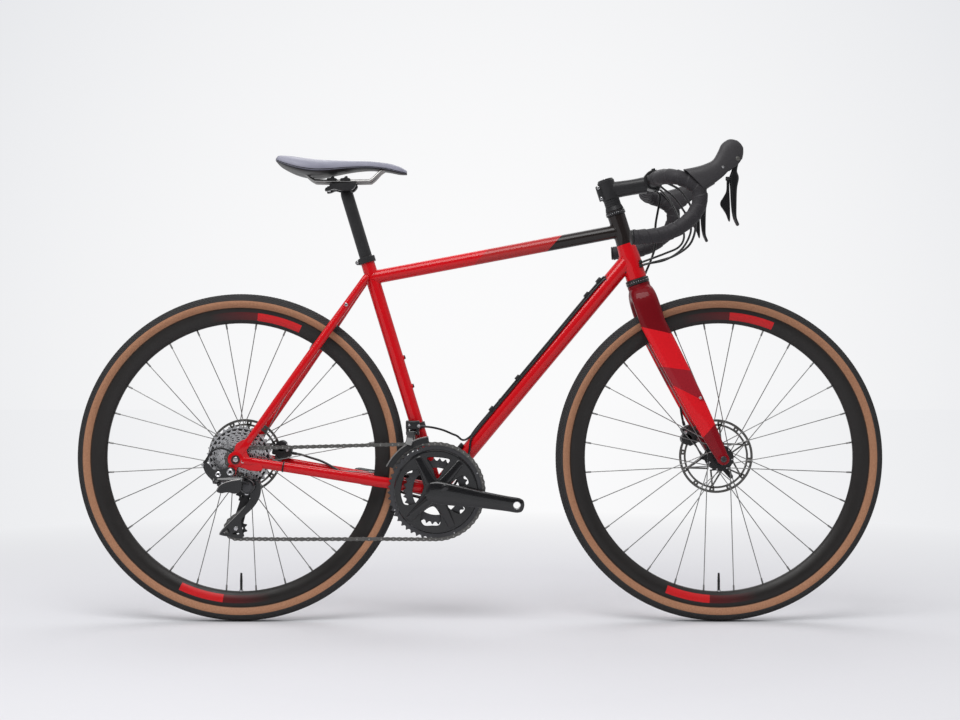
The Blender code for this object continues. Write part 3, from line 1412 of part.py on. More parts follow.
def make_front_derailleur_body():
    """The band on the seat tube and the block on its right, with two ears for the cage's pin."""
    inner = SEAT_TUBE_RADIUS + SEAT_GAP
    outer = inner + FD_BAND_WALL
    low = FD_BAND_ON_SEAT_TUBE - FD_BAND_WIDTH / 2
    high = low + FD_BAND_WIDTH
    band = [(inner, low), (outer, low), (outer, high), (inner, high)]
    body = turned("front_derailleur_body", BB, SEAT_UP, band, black_metal())
    pivot = fd_pivot()
    top = block("fd_block", pivot + Vector((0, 0.0040, 0.0135)), (0.0290, 0.0200, 0.0130))
    link = block("fd_band_link", pivot + Vector((0.0050, 0.0115, 0.0130)), (0.0180, 0.0060, 0.0100))
    ears = []
    for i, x in enumerate((-0.0110, 0.0110)):
        ears.append(block(f"fd_ear_{i}", pivot + Vector((x, 0, 0.0030)), (0.0060, 0.0100, 0.0170)))
    pin = rod("fd_pin", pivot - X_AXIS * 0.0130, pivot + X_AXIS * 0.0130, LINK_PIN_RADIUS, sides=12)
    return join(body, top, link, *ears, pin)


def make_front_derailleur_cage():
    """The two plates that push the chain across, joined above it and at the tail."""
    y = OUTER_RING_Y
    far = FD_CAGE_GAP + FD_PLATE_THICKNESS
    start, end = FD_CAGE_START, FD_CAGE_END
    low, high = FD_CAGE_INNER_RADIUS, FD_CAGE_OUTER_RADIUS
    cage = arc_plate(
        "front_derailleur_cage", BB, low, high, start, end, y - far, y - FD_CAGE_GAP, steel(),
    )
    inner = arc_plate("fd_inner_plate", BB, low - 0.006, high, start, end, y + FD_CAGE_GAP, y + far)
    bridges = []
    for i, (first, last) in enumerate(((start + 0.10, start + 0.24), (end - 0.07, end - 0.01))):
        half = far - 0.0004
        bridges.append(arc_plate(
            f"fd_bridge_{i}", BB, high - 0.0022, high - 0.0004, first, last, y - half, y + half,
        ))
    pivot = fd_pivot()
    reach = X_AXIS * 0.0077
    lug = rod("fd_lug", pivot - reach, pivot + reach, 0.0048, sides=12)
    plate_y = y + FD_CAGE_GAP + FD_PLATE_THICKNESS / 2
    angle = math.acos(-FD_PIVOT_BACK / (high - 0.004))
    foot = BB + Vector((math.cos(angle), 0, math.sin(angle))) * (high - 0.004) + Y_AXIS * plate_y
    arm_path = [pivot - Z_AXIS * 0.002, pivot.lerp(foot, 0.5) + Y_AXIS * 0.001, foot]
    arm = swept(
        "fd_arm", arm_path, [0.0060, 0.0058, 0.0050], [0.0022, 0.0018, 0.0006], sides=8, hint=X_AXIS,
    )
    hole_reach = X_AXIS * 0.012
    hole = rod("fd_hole", pivot - hole_reach, pivot + hole_reach, LINK_PIN_RADIUS + SEAT_GAP * 1.5, sides=12)
    return cut(join(cage, inner, *bridges, lug, arm), hole)


def make_headset_spacers():
    """The cone that covers the upper cup and the spacers above it, up to the stem."""
    bore = STEERER_RADIUS + SEAT_GAP * 1.5
    low = HEAD_TOP + CUP_UPPER_HEIGHT + SEAT_GAP * 2 + RUNNING_GAP
    high = STEM_HEIGHT_ON_STEERER - STEM_CLAMP_HEIGHT / 2 - SEAT_GAP
    spacer = STEERER_RADIUS + STEM_WALL * 0.9
    profile = [(bore, low), (CUP_UPPER_RADIUS - 0.001, low)]
    profile += [(spacer, low + 0.010), (spacer, high), (bore, high)]
    return turned("headset_spacers", CROWN, STEER_UP, profile, black_metal())


def make_stem():
    """The clamp round the steerer with its cap, the arm, and the rear half of the bar clamp."""
    bore = STEERER_RADIUS + SEAT_GAP * 1.5
    outer = bore + STEM_WALL
    low = STEM_HEIGHT_ON_STEERER - STEM_CLAMP_HEIGHT / 2
    high = low + STEM_CLAMP_HEIGHT
    ceiling = high - 0.0010
    profile = [(0, high + STEM_CAP_THICKNESS), (outer * 0.86, high + STEM_CAP_THICKNESS), (outer, high)]
    profile += [(outer, low), (bore, low), (bore, ceiling), (0, ceiling)]
    stem = turned("stem", CROWN, STEER_UP, profile, black_metal())
    along = (BAR_CENTRE - STEM_CENTRE).normalized()
    clamp = BAR_CLAMP_RADIUS + FACEPLATE_WALL
    arm_path = [STEM_CENTRE + along * (outer - 0.003), STEM_CENTRE.lerp(BAR_CENTRE, 0.55)]
    arm_path.append(BAR_CENTRE - along * 0.0175)
    widths = [STEM_BODY_RADIUS * 0.85, STEM_BODY_RADIUS * 0.90, BAR_CLAMP_HALF_WIDTH * 0.90]
    heights = [STEM_BODY_RADIUS * 0.80, STEM_BODY_RADIUS * 0.92, STEM_BODY_RADIUS * 1.02]
    arm = swept("stem_arm", arm_path, widths, heights, sides=10, squareness=2.6)
    reach = Y_AXIS * BAR_CLAMP_HALF_WIDTH
    saddle = rod("stem_bar_clamp", BAR_CENTRE - reach, BAR_CENTRE + reach, clamp, sides=16)
    join(stem, arm, saddle)
    steerer_space = rod(
        "stem_steerer_space", CROWN + STEER_UP * (low - 0.01), CROWN + STEER_UP * ceiling, bore, sides=16,
    )
    front = BAR_CENTRE + along * (clamp - SEAT_GAP)
    return cut(stem, bar_bore("stem_bar_bore"), half_space("stem_front_cut", front, clamp), steerer_space)


def bar_bore(name):
    reach = Y_AXIS * (BAR_CLAMP_HALF_WIDTH + 0.002)
    return rod(name, BAR_CENTRE - reach, BAR_CENTRE + reach, BAR_CLAMP_RADIUS + SEAT_GAP * 2, sides=16)


def half_space(name, centre, half):
    """A block that takes away one side of the bar clamp."""
    along = BAR_CENTRE - STEM_CENTRE
    turn = -math.atan2(along.z, along.x)
    return block(name, centre, (2 * half, 4 * BAR_CLAMP_HALF_WIDTH, 4 * half), turn=turn)


def make_faceplate():
    reach = Y_AXIS * BAR_CLAMP_HALF_WIDTH
    clamp = BAR_CLAMP_RADIUS + FACEPLATE_WALL
    face = rod("stem_faceplate", BAR_CENTRE - reach, BAR_CENTRE + reach, clamp, black_metal(), sides=16)
    along = (BAR_CENTRE - STEM_CENTRE).normalized()
    rear = BAR_CENTRE - along * (clamp - SEAT_GAP)
    return cut(face, bar_bore("faceplate_bore"), half_space("faceplate_rear_cut", rear, clamp))


# The dropped bar from its end to the centre: shares of the reach, the flare and the drop.
BAR_SHAPE = (
    (-0.91, 1.00, 1.000),
    (-0.48, 0.84, 0.986),
    (-0.07, 0.72, 0.953),
    (0.30, 0.56, 0.881),
    (0.58, 0.44, 0.784),
    (0.80, 0.33, 0.676),
    (0.96, 0.17, 0.532),
    (1.00, 0.06, 0.388),
    (0.92, 0.00, 0.266),
    (0.65, -0.11, 0.151),
    (0.32, -0.44, 0.065),
    (0.10, -1.72, 0.014),
)


def bar_path():
    """The right half of the bar, from its open end to the bike's centre plane."""
    path = []
    for forward, outward, down in BAR_SHAPE:
        y = -(BAR_TOP_HALF_WIDTH + BAR_FLARE * outward)
        path.append(BAR_CENTRE + Vector((BAR_REACH * forward, y, -BAR_DROP * down)))
    for y in (BAR_TOP_HALF_WIDTH * 0.66, TAPE_START_Y, TAPE_START_Y * 0.80):
        path.append(BAR_CENTRE - Y_AXIS * y)
    for y in (BAR_CLAMP_HALF_WIDTH + 0.0020, 0.0):
        path.append(BAR_CENTRE - Y_AXIS * y)
    return path


def bar_rings(radii, count):
    """Rings round the first stations of the bar, at one radius for each."""
    path = bar_path()
    grown = radii + [BAR_RADIUS] * (len(path) - len(radii))
    return rings_along(path, grown, grown, BAR_SIDES, Y_AXIS)[:count]


def mirrored(rings):
    return [[Vector((point.x, -point.y, point.z)) for point in ring] for ring in rings]


def make_handlebar():
    path = bar_path()
    radii = [BAR_RADIUS] * (len(path) - 2) + [BAR_CLAMP_RADIUS] * 2
    rings = bar_rings(radii, len(path))
    return loft("handlebar", rings + list(reversed(mirrored(rings[:-1]))), black_metal())


def tape_stations():
    return len(bar_path()) - 3


def make_bar_tape(name, side):
    count = tape_stations()
    outer_radius = BAR_RADIUS + SEAT_GAP + TAPE_THICKNESS
    outer = bar_rings([outer_radius] * count, count)
    inner = bar_rings([BAR_RADIUS + SEAT_GAP] * count, count)
    sleeve = outer + list(reversed(inner))
    return loft(name, sleeve if side < 0 else mirrored(sleeve), soft_black(), closed=True)


def tape_cutter(name, side):
    count = tape_stations()
    radius = BAR_RADIUS + TAPE_THICKNESS + SEAT_GAP * 2
    rings = bar_rings([radius] * count, count)
    return loft(name, rings if side < 0 else mirrored(rings))


def at_hood(side, x, y, z):
    """A point given in millimetres forward of, outside and above the front of the bar's bend."""
    origin = BAR_CENTRE + Vector((BAR_REACH, 0, 0))
    return origin + Vector((x / 1000, side * (BAR_TOP_HALF_WIDTH + y / 1000), z / 1000))


# Each section of a hood: its top and bottom points in the side view and its half width, in mm.
HOOD_SECTIONS = (
    ((-33, -1), (9, -44), 18.5),
    ((-12, 3), (21, -36), 18.8),
    ((9, 9), (34, -28), 18.0),
    ((26, 18), (47, -18), 16.5),
    ((36, 34), (60, -6), 15.5),
    ((44, 50), (74, 4), 14.5),
    ((58, 59), (83, 15), 13.0),
    ((74, 56), (87, 30), 9.0),
)
LEVER_PIVOT = (74.0, 0.0, 19.0)

# The brake blade from its boss to its tip: forward, height, half depth and half width, in mm.
BLADE_SECTIONS = (
    (73.0, 14.0, 5.0, 6.0),
    (69.0, -4.0, 5.6, 6.2),
    (68.5, -20.0, 8.2, 6.8),
    (67.5, -40.0, 6.6, 7.4),
    (68.0, -76.0, 5.4, 7.4),
    (70.0, -98.0, 3.8, 7.0),
    (75.5, -112.0, 3.4, 5.6),
)


# The paddle's outline in the side view, from its pivot: forward and up, in mm.
PADDLE_OUTLINE = (
    (-1.5, 0), (-2.5, -22), (-3.0, -44), (-4.5, -60), (-13.0, -66), (-21.0, -52), (-17.5, -28), (-7.5, 0),
)


def make_shifter(name, side):
    """The hood over the bar's bend, forked in front round the brake lever's boss.

    Its underside is open along the middle, where the blade and the paddle come in when pulled.
    """
    rings = []
    sides = 12
    for (top_x, top_z), (low_x, low_z), half_width in HOOD_SECTIONS:
        top, low = at_hood(side, top_x, 0, top_z), at_hood(side, low_x, 0, low_z)
        over = top - low
        direction = Vector((over.z, 0, -over.x))
        middle = top.lerp(low, 0.5)
        rings.append(oval(middle, direction, Y_AXIS, half_width / 1000, over.length / 2, sides, 2.4))
    hood = loft(name, rings, soft_black())
    pivot = at_hood(side, *LEVER_PIVOT)
    slot_reach = Y_AXIS * (LEVER_HALF_WIDTH + RUNNING_GAP)
    space_radius = LEVER_PIVOT_RADIUS + RUNNING_GAP * 2
    boss_space = rod(name + "_boss_space", pivot - slot_reach, pivot + slot_reach, space_radius)
    throat = block(
        name + "_throat", pivot + Vector((-0.0020, 0, -0.0220)), (0.0300, 2 * slot_reach.y, 0.0440),
    )
    sweep_space = block(
        name + "_sweep_space", pivot + Vector((-0.0300, 0, -0.0360)),
        (0.0400, 2 * (slot_reach.y + THROAT_FLARE), 0.0225), turn=-THROAT_SLOPE,
    )
    cut(hood, tape_cutter(name + "_bar_space", side), boss_space, throat, sweep_space)
    pin_reach = Y_AXIS * (LEVER_HALF_WIDTH + 0.0030)
    return join(hood, rod(name + "_pin", pivot - pin_reach, pivot + pin_reach, LEVER_PIN_RADIUS, sides=12))


def make_brake_lever(name, side):
    path = [at_hood(side, x, 0, z) for x, z, _, _ in BLADE_SECTIONS]
    depths = [depth / 1000 for _, _, depth, _ in BLADE_SECTIONS]
    widths = [width / 1000 for _, _, _, width in BLADE_SECTIONS]
    blade = swept(name, path, widths, depths, black_metal(), sides=10, squareness=2.3)
    pivot = at_hood(side, *LEVER_PIVOT)
    reach = Y_AXIS * LEVER_HALF_WIDTH
    boss = rod(name + "_boss", pivot - reach, pivot + reach, LEVER_PIVOT_RADIUS, sides=16)
    hole_radius = LEVER_PIN_RADIUS + SEAT_GAP * 1.5
    hole = rod(name + "_hole", pivot - reach * 1.5, pivot + reach * 1.5, hole_radius, sides=12)
    return cut(join(blade, boss), hole)


def paddle_pivot(side):
    """The shift paddle's axis, just behind the brake blade."""
    x, z, depth, _ = BLADE_SECTIONS[2]
    return at_hood(side, x - depth - 0.4, 0, z)


def make_shift_paddle(name, side):
    """The paddle behind the brake blade, widened where the finger pushes it inward."""
    pivot = paddle_pivot(side)
    boss = rod(name, pivot, pivot - X_AXIS * 0.0080, 0.0042, black_metal(), sides=10)
    outline = [(pivot.x + x / 1000, pivot.z + z / 1000) for x, z in PADDLE_OUTLINE]
    half = PADDLE_THICKNESS / 2
    return join(boss, plate(name + "_plate", outline, pivot.y - half, pivot.y + half))


def make_seatpost():
    """The post with the cross barrel that the saddle clamp tilts on."""
    low = SEAT_TUBE_LENGTH - SEATPOST_INSERTION
    high = SEAT_TUBE_LENGTH + SEATPOST_HEAD_ABOVE_COLLAR
    neck_low, neck_radius = high - SEATPOST_NECK_LENGTH, SEATPOST_NECK_RADIUS
    profile = [(0, low), (SEATPOST_RADIUS, low), (SEATPOST_RADIUS, neck_low), (neck_radius, high), (0, high)]
    post = turned("seatpost", BB, SEAT_UP, profile, black_metal())
    reach = Y_AXIS * BARREL_HALF_WIDTH
    return join(post, rod("seatpost_barrel", TILT_AXIS - reach, TILT_AXIS + reach, BARREL_RADIUS, sides=20))


def rail_height():
    return TILT_AXIS.z + RAIL_ABOVE_TILT_AXIS


def make_saddle_clamp():
    """An upside-down cradle astride the seatpost's barrel, with a bore for each rail."""
    low, high = TILT_AXIS.z - 0.0070, rail_height() + RAIL_RADIUS + 0.0045
    half_width = RAIL_HALF_SPACING + RAIL_RADIUS + 0.0040
    centre = Vector((TILT_AXIS.x, 0, (low + high) / 2))
    clamp = block("saddle_clamp", centre, (2 * CLAMP_HALF_LENGTH, 2 * half_width, high - low), black_metal())
    gap = BARREL_HALF_WIDTH + RUNNING_GAP
    radius = BARREL_RADIUS + RUNNING_GAP
    reach = Y_AXIS * gap
    barrel_space = rod("clamp_barrel_space", TILT_AXIS - reach, TILT_AXIS + reach, radius, sides=20)
    under = block("clamp_post_space", TILT_AXIS - Z_AXIS * 0.030, (0.060, 2 * gap, 0.060))
    bores = []
    for i, side in enumerate((-1, 1)):
        middle = Vector((TILT_AXIS.x, side * RAIL_HALF_SPACING, rail_height()))
        span = X_AXIS * (CLAMP_HALF_LENGTH + 0.005)
        bore = RAIL_RADIUS + SEAT_GAP * 1.5
        bores.append(rod(f"clamp_rail_bore_{i}", middle - span, middle + span, bore, sides=12))
    return cut(clamp, barrel_space, under, *bores)


# Each section of the saddle from tail to nose: distance forward of the tilt axis, the drop of the
# top below the saddle's highest line, its depth, and its half width as a share of the widest.
SADDLE_SECTIONS = (
    (-0.1460, 0.0030, 0.0120, 0.50),
    (-0.1340, 0.0000, 0.0220, 0.80),
    (-0.1080, 0.0020, 0.0330, 0.97),
    (-0.0820, 0.0060, 0.0360, 1.00),
    (-0.0560, 0.0090, 0.0350, 0.91),
    (-0.0280, 0.0100, 0.0300, 0.70),
    (0.0160, 0.0105, 0.0220, 0.48),
    (0.0560, 0.0105, 0.0190, 0.36),
    (0.0920, 0.0140, 0.0190, 0.29),
    (0.1180, 0.0210, 0.0170, 0.23),
    (0.1340, 0.0300, 0.0090, 0.12),
)


def make_saddle_shell():
    first, last = SADDLE_SECTIONS[0][0], SADDLE_SECTIONS[-1][0]
    stretch = SADDLE_LENGTH / (last - first)
    rings = []
    for x, fall, depth, share in SADDLE_SECTIONS:
        centre = Vector((TILT_AXIS.x + x * stretch, 0, SADDLE_TOP - fall - depth / 2))
        rings.append(oval(centre, X_AXIS, Y_AXIS, SADDLE_WIDTH / 2 * share, depth / 2, 12, 2.7))
    shell = loft("saddle_shell", rings, soft_black())
    return cut(shell, *saddle_rail_set("saddle_pocket", RAIL_RADIUS + SEAT_GAP * 1.5, SEAT_GAP))


def saddle_rail(name, side, radius, extra, finish):
    """One rail: straight through the clamp, rising into the nose in front and the tail behind."""
    z = rail_height()
    stations = (
        (-0.1040, 1.20, SADDLE_TOP - 0.0240),
        (-0.0840, 1.12, z + 0.0170),
        (-0.0660, 1.02, z + 0.0030),
        (-0.0480, 1.00, z),
        (0.0440, 1.00, z),
        (0.0600, 0.94, z + 0.0030),
        (0.0780, 0.70, z + 0.0200),
        (0.0960, 0.36, SADDLE_TOP - 0.0240),
    )
    path = []
    for x, share, height in stations:
        path.append(Vector((TILT_AXIS.x + x, side * RAIL_HALF_SPACING * share, height)))
    path[0] += (path[0] - path[1]).normalized() * extra
    path[-1] += (path[-1] - path[-2]).normalized() * extra
    radii = [radius] * len(path)
    return swept(name, path, radii, radii, finish, sides=8)


def saddle_rail_set(name, radius, extra, finish=None):
    """Both rails and the cross piece that seats in the saddle's nose."""
    right = saddle_rail(name, -1, radius, extra, finish)
    left = saddle_rail(name + "_left", 1, radius, extra, None)
    reach = Y_AXIS * RAIL_HALF_SPACING * 0.54
    centre = Vector((TILT_AXIS.x + 0.0870, 0, rail_height() + 0.0310))
    return right, left, rod(name + "_cross", centre - reach, centre + reach, radius * 0.95, sides=8)


def make_saddle_rails():
    right, left, cross = saddle_rail_set("saddle_rails", RAIL_RADIUS, 0.0, steel())
    return join(right, left, cross)


def make_front_caliper():
    """The caliper behind the left fork leg, open where the rotor runs through it."""
    drop = FORK_LENGTH - 0.0655
    up = (leg_point(drop - 0.03, 0) - leg_point(drop + 0.03, 0)).normalized()
    rear = Vector((-up.z, 0, up.x))
    leg_half_depth = 0.0184
    depth, width, length = CALIPER_DEPTH, FRONT_CALIPER_WIDTH, CALIPER_LENGTH
    centre = leg_point(drop, 0) + rear * (leg_half_depth + 0.0006 + depth / 2)
    centre.y = LEG_Y - 0.0020 - width / 2 + 0.0045
    path = [centre - up * length / 2, centre + up * length / 2]
    caliper = swept(
        "front_brake_caliper", path, [width / 2] * 2, [depth / 2] * 2, black_metal(),
        sides=12, squareness=3.6,
    )
    return cut(caliper, rotor_space("front_rotor_space", FRONT_AXLE, FRONT_ROTOR_Y))


def rotor_space(name, axle, y):
    half = ROTOR_THICKNESS / 2 + ROTOR_CLEARANCE
    radius = ROTOR_RADIUS + 0.0030
    profile = [(0, y - half), (radius, y - half), (radius, y + half), (0, y + half)]
    return turned(name, axle, Y_AXIS, profile, sides=36)


def make_rear_caliper():
    """The caliper on top of the left chainstay, open where the rotor runs through it."""
    along = (BB - REAR_AXLE)
    along = Vector((along.x, 0, along.z)).normalized()
    up = Vector((-along.z, 0, along.x))
    lift = CHAINSTAY_HEIGHT_AT_DROPOUT + 0.0013 + CALIPER_DEPTH / 2
    centre = REAR_AXLE + along * REAR_CALIPER_AHEAD + up * lift + Y_AXIS * REAR_CALIPER_Y
    half = along * CALIPER_LENGTH / 2
    caliper = swept(
        "rear_brake_caliper", [centre - half, centre + half],
        [REAR_CALIPER_WIDTH / 2] * 2, [CALIPER_DEPTH / 2] * 2, black_metal(), sides=12, squareness=3.6,
    )
    return cut(caliper, rotor_space("rear_rotor_space", REAR_AXLE, REAR_ROTOR_Y))


# Cable routes in millimetres, from the handlebar tape to the part each one works.
REAR_SHIFT_ROUTE = (
    (376, -57.3, 929), (377.5, -54, 928), (387, -49.5, 920.5), (412, -47, 900), (440, -40, 860),
    (448, -28, 831), (430, -20, 795), (395, -18, 770), (355, -24, 762), (326, -26.5, 752),
    (290, -23, 738), (271.7, -19.8, 728.8), (254.1, -14.2, 720.1), (151.6, -14.0, 597.3),
    (49.1, -14.0, 474.4), (-8.5, -14.4, 405.3), (-19.4, -17.0, 388.3), (-22.6, -20.9, 365.0),
    (-26.9, -19.8, 349.0), (-31.1, -16.2, 332.9), (-41.4, -11.5, 312.0), (-58, -11, 286),
    (-74, -12, 264), (-93, -12, 255.8), (-113, -13, 260.5), (-150, -22, 271), (-185, -32, 284),
    (-225, -39.5, 296.5), (-300, -49.7, 314.6), (-380, -60, 328), (-440, -69.5, 338), (-480, -74, 345),
    (-499, -75, 355.5), (-515, -75.2, 362.4), (-530, -76.5, 370.5), (-546, -80, 374.5),
    (-562, -83, 366), (-573.2, -84, 346.4),
)
FRONT_SHIFT_ROUTE = (
    (384, 57.3, 935), (385.5, 54, 934.2), (398, 48.5, 923.5), (418, 38, 895), (434, 20, 852),
    (438, 4, 822), (425, -8, 798), (395, -18, 785), (355, -25, 777), (322, -26.5, 767),
    (290, -19.5, 757), (268, -12.8, 740.2), (251.4, -8.4, 722.4), (148.9, -8.4, 599.5),
    (46.4, -8.4, 476.6), (-24, -8.4, 392.4), (-52, -12, 398), (-78, -20, 409), (-103, -27.5, 415.5),
    (-128.2, -28, 417.8),
)
REAR_HOSE_ROUTE = (
    (384, -57.3, 935), (385.5, -54, 935), (398, -50, 931), (425, -42, 916), (452, -22, 880),
    (462, -2, 845), (452, 12, 808), (420, 18, 782), (385, 20, 770), (352, 26, 764), (322, 27.2, 760),
    (290, 23.5, 744), (271, 20, 730), (261.2, 16.0, 727.6), (251.5, 9.8, 722.2), (149.0, 9.6, 599.4),
    (46.6, 9.6, 476.5), (-11.1, 10.2, 407.4), (-19.4, 17.4, 388.3), (-22.6, 21.3, 365.0),
    (-26.9, 20.2, 349.0), (-31.1, 16.8, 332.9), (-41.4, 12, 311.8), (-58, 11.5, 286), (-74, 12, 263.6),
    (-93, 12, 255.4), (-113, 13, 260), (-150, 22, 268), (-190, 33, 278.5), (-230, 37, 286.5),
    (-255, 35.8, 290.5), (-278, 35, 301), (-300, 37.5, 314), (-322, 41.5, 327.5), (-345, 49, 338.5),
    (-372, 57.2, 346.4), (-391, 60.2, 352.2), (-409.2, 60.5, 355.3),
)
FRONT_HOSE_ROUTE = (
    (376, 57.3, 929), (377.5, 54, 928.2), (386.5, 49.8, 923), (392, 48, 912), (386, 43, 880),
    (381, 41, 850), (380, 37, 808), (373, 34.8, 782), (359, 34, 748), (348, 34.5, 722),
    (345.5, 35, 702), (355, 38.5, 668), (367, 42, 634), (399, 49, 572), (431, 54.5, 508.5),
    (438.5, 55.5, 480), (437.5, 54, 453), (441, 52, 430), (444.6, 50, 416.2),
)


def make_cables():
    cable("rear_shift_cable", REAR_SHIFT_ROUTE, HOUSING_RADIUS, soft_black())
    cable("front_shift_cable", FRONT_SHIFT_ROUTE, HOUSING_RADIUS, soft_black())
    cable("rear_brake_hose", REAR_HOSE_ROUTE, HOSE_RADIUS, soft_black())
    return cable("front_brake_hose", FRONT_HOSE_ROUTE, HOSE_RADIUS, soft_black())


def make_frame():
    make_head_tube()
    make_top_tube()
    make_down_tube()
    make_seat_tube()
    make_chainstay("chainstay_right", -1, REAR_SHIFT_ROUTE, HOUSING_RADIUS)
    make_chainstay("chainstay_left", 1, REAR_HOSE_ROUTE, HOSE_RADIUS)
    make_seatstays()
    make_seat_collar()
    make_rear_axle()
    make_bottom_bracket()
    lower_foot = HEAD_BOTTOM - SEAT_GAP - CUP_LOWER_HEIGHT
    upper_foot = HEAD_TOP + SEAT_GAP + CUP_UPPER_HEIGHT
    make_headset_cup("headset_lower", lower_foot, CUP_LOWER_HEIGHT, CUP_LOWER_RADIUS, 1)
    make_headset_cup("headset_upper", upper_foot, CUP_UPPER_HEIGHT, CUP_UPPER_RADIUS, -1)
    make_front_derailleur_body()
    make_rear_caliper()
    make_derailleur_mount()
    make_chain()


def make_wheels():
    front = [
        make_tyre("front_tyre", FRONT_AXLE, rubber()),
        make_rim("front_rim", FRONT_AXLE),
        make_inner_tube("front_inner_tube", FRONT_AXLE),
        make_hub(
            "front_hub", FRONT_AXLE, FRONT_DROPOUT_WIDTH / 2 - SEAT_GAP,
            FRONT_FLANGE_Y, FRONT_FLANGE_Y, FRONT_ROTOR_Y, False,
        ),
        make_rotor("front_rotor", FRONT_AXLE, FRONT_ROTOR_Y, 1),
    ]
    rear = [
        make_tyre("rear_tyre", REAR_AXLE, rubber()),
        make_rim("rear_rim", REAR_AXLE),
        make_inner_tube("rear_inner_tube", REAR_AXLE),
        make_hub(
            "rear_hub", REAR_AXLE, REAR_DROPOUT_WIDTH / 2 - SEAT_GAP,
            REAR_FLANGE_LEFT_Y, REAR_FLANGE_RIGHT_Y, REAR_ROTOR_Y, True,
        ),
        make_rotor("rear_rotor", REAR_AXLE, REAR_ROTOR_Y, 1),
    ]
    hang_on("front_wheel_axis", FRONT_AXLE, *front)
    hang_on("rear_wheel_axis", REAR_AXLE, *rear)


def make_steering():
    pieces = [make_fork(), make_front_axle(), make_headset_spacers(), make_stem(), make_faceplate()]
    pieces += [make_handlebar(), make_bar_tape("bar_tape_right", -1), make_bar_tape("bar_tape_left", 1)]
    pieces += [make_shifter("shifter_right", -1), make_shifter("shifter_left", 1), make_front_caliper()]
    hang_on("steering_axis", CROWN, *pieces)
    for word, side in (("right", -1), ("left", 1)):
        lever = make_brake_lever(f"brake_lever_{word}", side)
        hang_on(f"brake_axis_{word}", at_hood(side, *LEVER_PIVOT), lever)
        hang_on(f"paddle_axis_{word}", paddle_pivot(side), make_shift_paddle(f"shift_paddle_{word}", side))


def make_drivetrain():
    hang_on("crank_axis", BB, make_crank_right(), make_crank_left(), make_outer_ring(), make_inner_ring())
    hang_on("cassette_axis", REAR_AXLE, make_cassette())
    guide, tension = pulley_centres()
    first, second = link_pivots()
    hang_on("link_axis", first, make_derailleur_link())
    hang_on("body_axis", second, make_derailleur_body())
    hang_on("cage_axis", cage_pivot(), make_derailleur_cage())
    hang_on("guide_pulley_axis", guide, make_pulley("guide_pulley", guide))
    hang_on("tension_pulley_axis", tension, make_pulley("tension_pulley", tension))
    hang_on("front_derailleur_axis", fd_pivot(), make_front_derailleur_cage())


def make_seat():
    hang_on("seatpost_slide", BB + SEAT_UP * SEAT_TUBE_LENGTH, make_seatpost())
    hang_on("saddle_tilt_axis", TILT_AXIS, make_saddle_clamp())
    rails_centre = Vector((TILT_AXIS.x, 0, rail_height()))
    hang_on("saddle_slide", rails_centre, make_saddle_shell(), make_saddle_rails())


clear_scene()
make_frame()
make_wheels()
make_steering()
make_drivetrain()
make_seat()
make_cables()
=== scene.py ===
"""A road bike standing in a pale studio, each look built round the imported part's own numbers.

Metres. +X is forward, +Y is the bike's left, +Z is up, and the chain is on the right, at -Y.
"""

import math

import bmesh
import bpy
from mathutils import Matrix, Vector
from mathutils.geometry import tessellate_polygon


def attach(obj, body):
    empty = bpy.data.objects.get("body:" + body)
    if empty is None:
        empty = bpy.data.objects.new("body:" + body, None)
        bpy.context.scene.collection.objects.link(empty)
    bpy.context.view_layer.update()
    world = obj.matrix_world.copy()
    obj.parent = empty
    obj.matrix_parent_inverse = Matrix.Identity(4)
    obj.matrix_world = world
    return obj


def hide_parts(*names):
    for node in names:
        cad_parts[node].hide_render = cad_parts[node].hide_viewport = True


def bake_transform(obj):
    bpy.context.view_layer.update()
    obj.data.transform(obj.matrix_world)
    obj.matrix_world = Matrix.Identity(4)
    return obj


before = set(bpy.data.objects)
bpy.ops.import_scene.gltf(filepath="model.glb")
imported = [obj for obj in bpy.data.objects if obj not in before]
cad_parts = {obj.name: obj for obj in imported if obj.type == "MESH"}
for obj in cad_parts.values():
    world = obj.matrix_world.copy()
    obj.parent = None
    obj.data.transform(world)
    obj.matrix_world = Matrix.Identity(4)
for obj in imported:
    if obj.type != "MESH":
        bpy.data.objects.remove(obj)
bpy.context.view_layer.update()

X_AXIS = Vector((1, 0, 0))
Y_AXIS = Vector((0, 1, 0))
Z_AXIS = Vector((0, 0, 1))

# Stance, as in the part
HEAD_ANGLE = math.radians(72.3)
SEAT_ANGLE = math.radians(73.1)
REAR_AXLE = Vector((-0.5118, 0, 0.35))
FRONT_AXLE = Vector((0.5118, 0, 0.35))
BB = REAR_AXLE + Vector((math.sqrt(0.4245**2 - 0.0695**2), 0, -0.0695))
SEAT_UP = Vector((-math.cos(SEAT_ANGLE), 0, math.sin(SEAT_ANGLE)))
STEER_UP = Vector((-math.cos(HEAD_ANGLE), 0, math.sin(HEAD_ANGLE)))
STEER_FORWARD = Vector((math.sin(HEAD_ANGLE), 0, math.cos(HEAD_ANGLE)))
FORK_LENGTH = 0.4055
FORK_RAKE = 0.0515
LEG_BEND = 0.09
LEG_Y = 0.0585
CROWN = FRONT_AXLE + STEER_UP * FORK_LENGTH - STEER_FORWARD * FORK_RAKE
SEAT_TUBE_LENGTH = 0.5205
SEAT_TUBE_RADIUS = 0.0147
TOP_TUBE_RADIUS = 0.0146
DOWN_TUBE_RADIUS = 0.0175
SHELL_RADIUS = 0.021
MITRE_SINK = 0.0004
SHELL_CUT = SHELL_RADIUS - MITRE_SINK
HEAD_LOW = 0.0124
HEAD_HIGH = 0.1554
DROPOUT_Y = 0.0751
TILT_AXIS = BB + SEAT_UP * (SEAT_TUBE_LENGTH + 0.16)
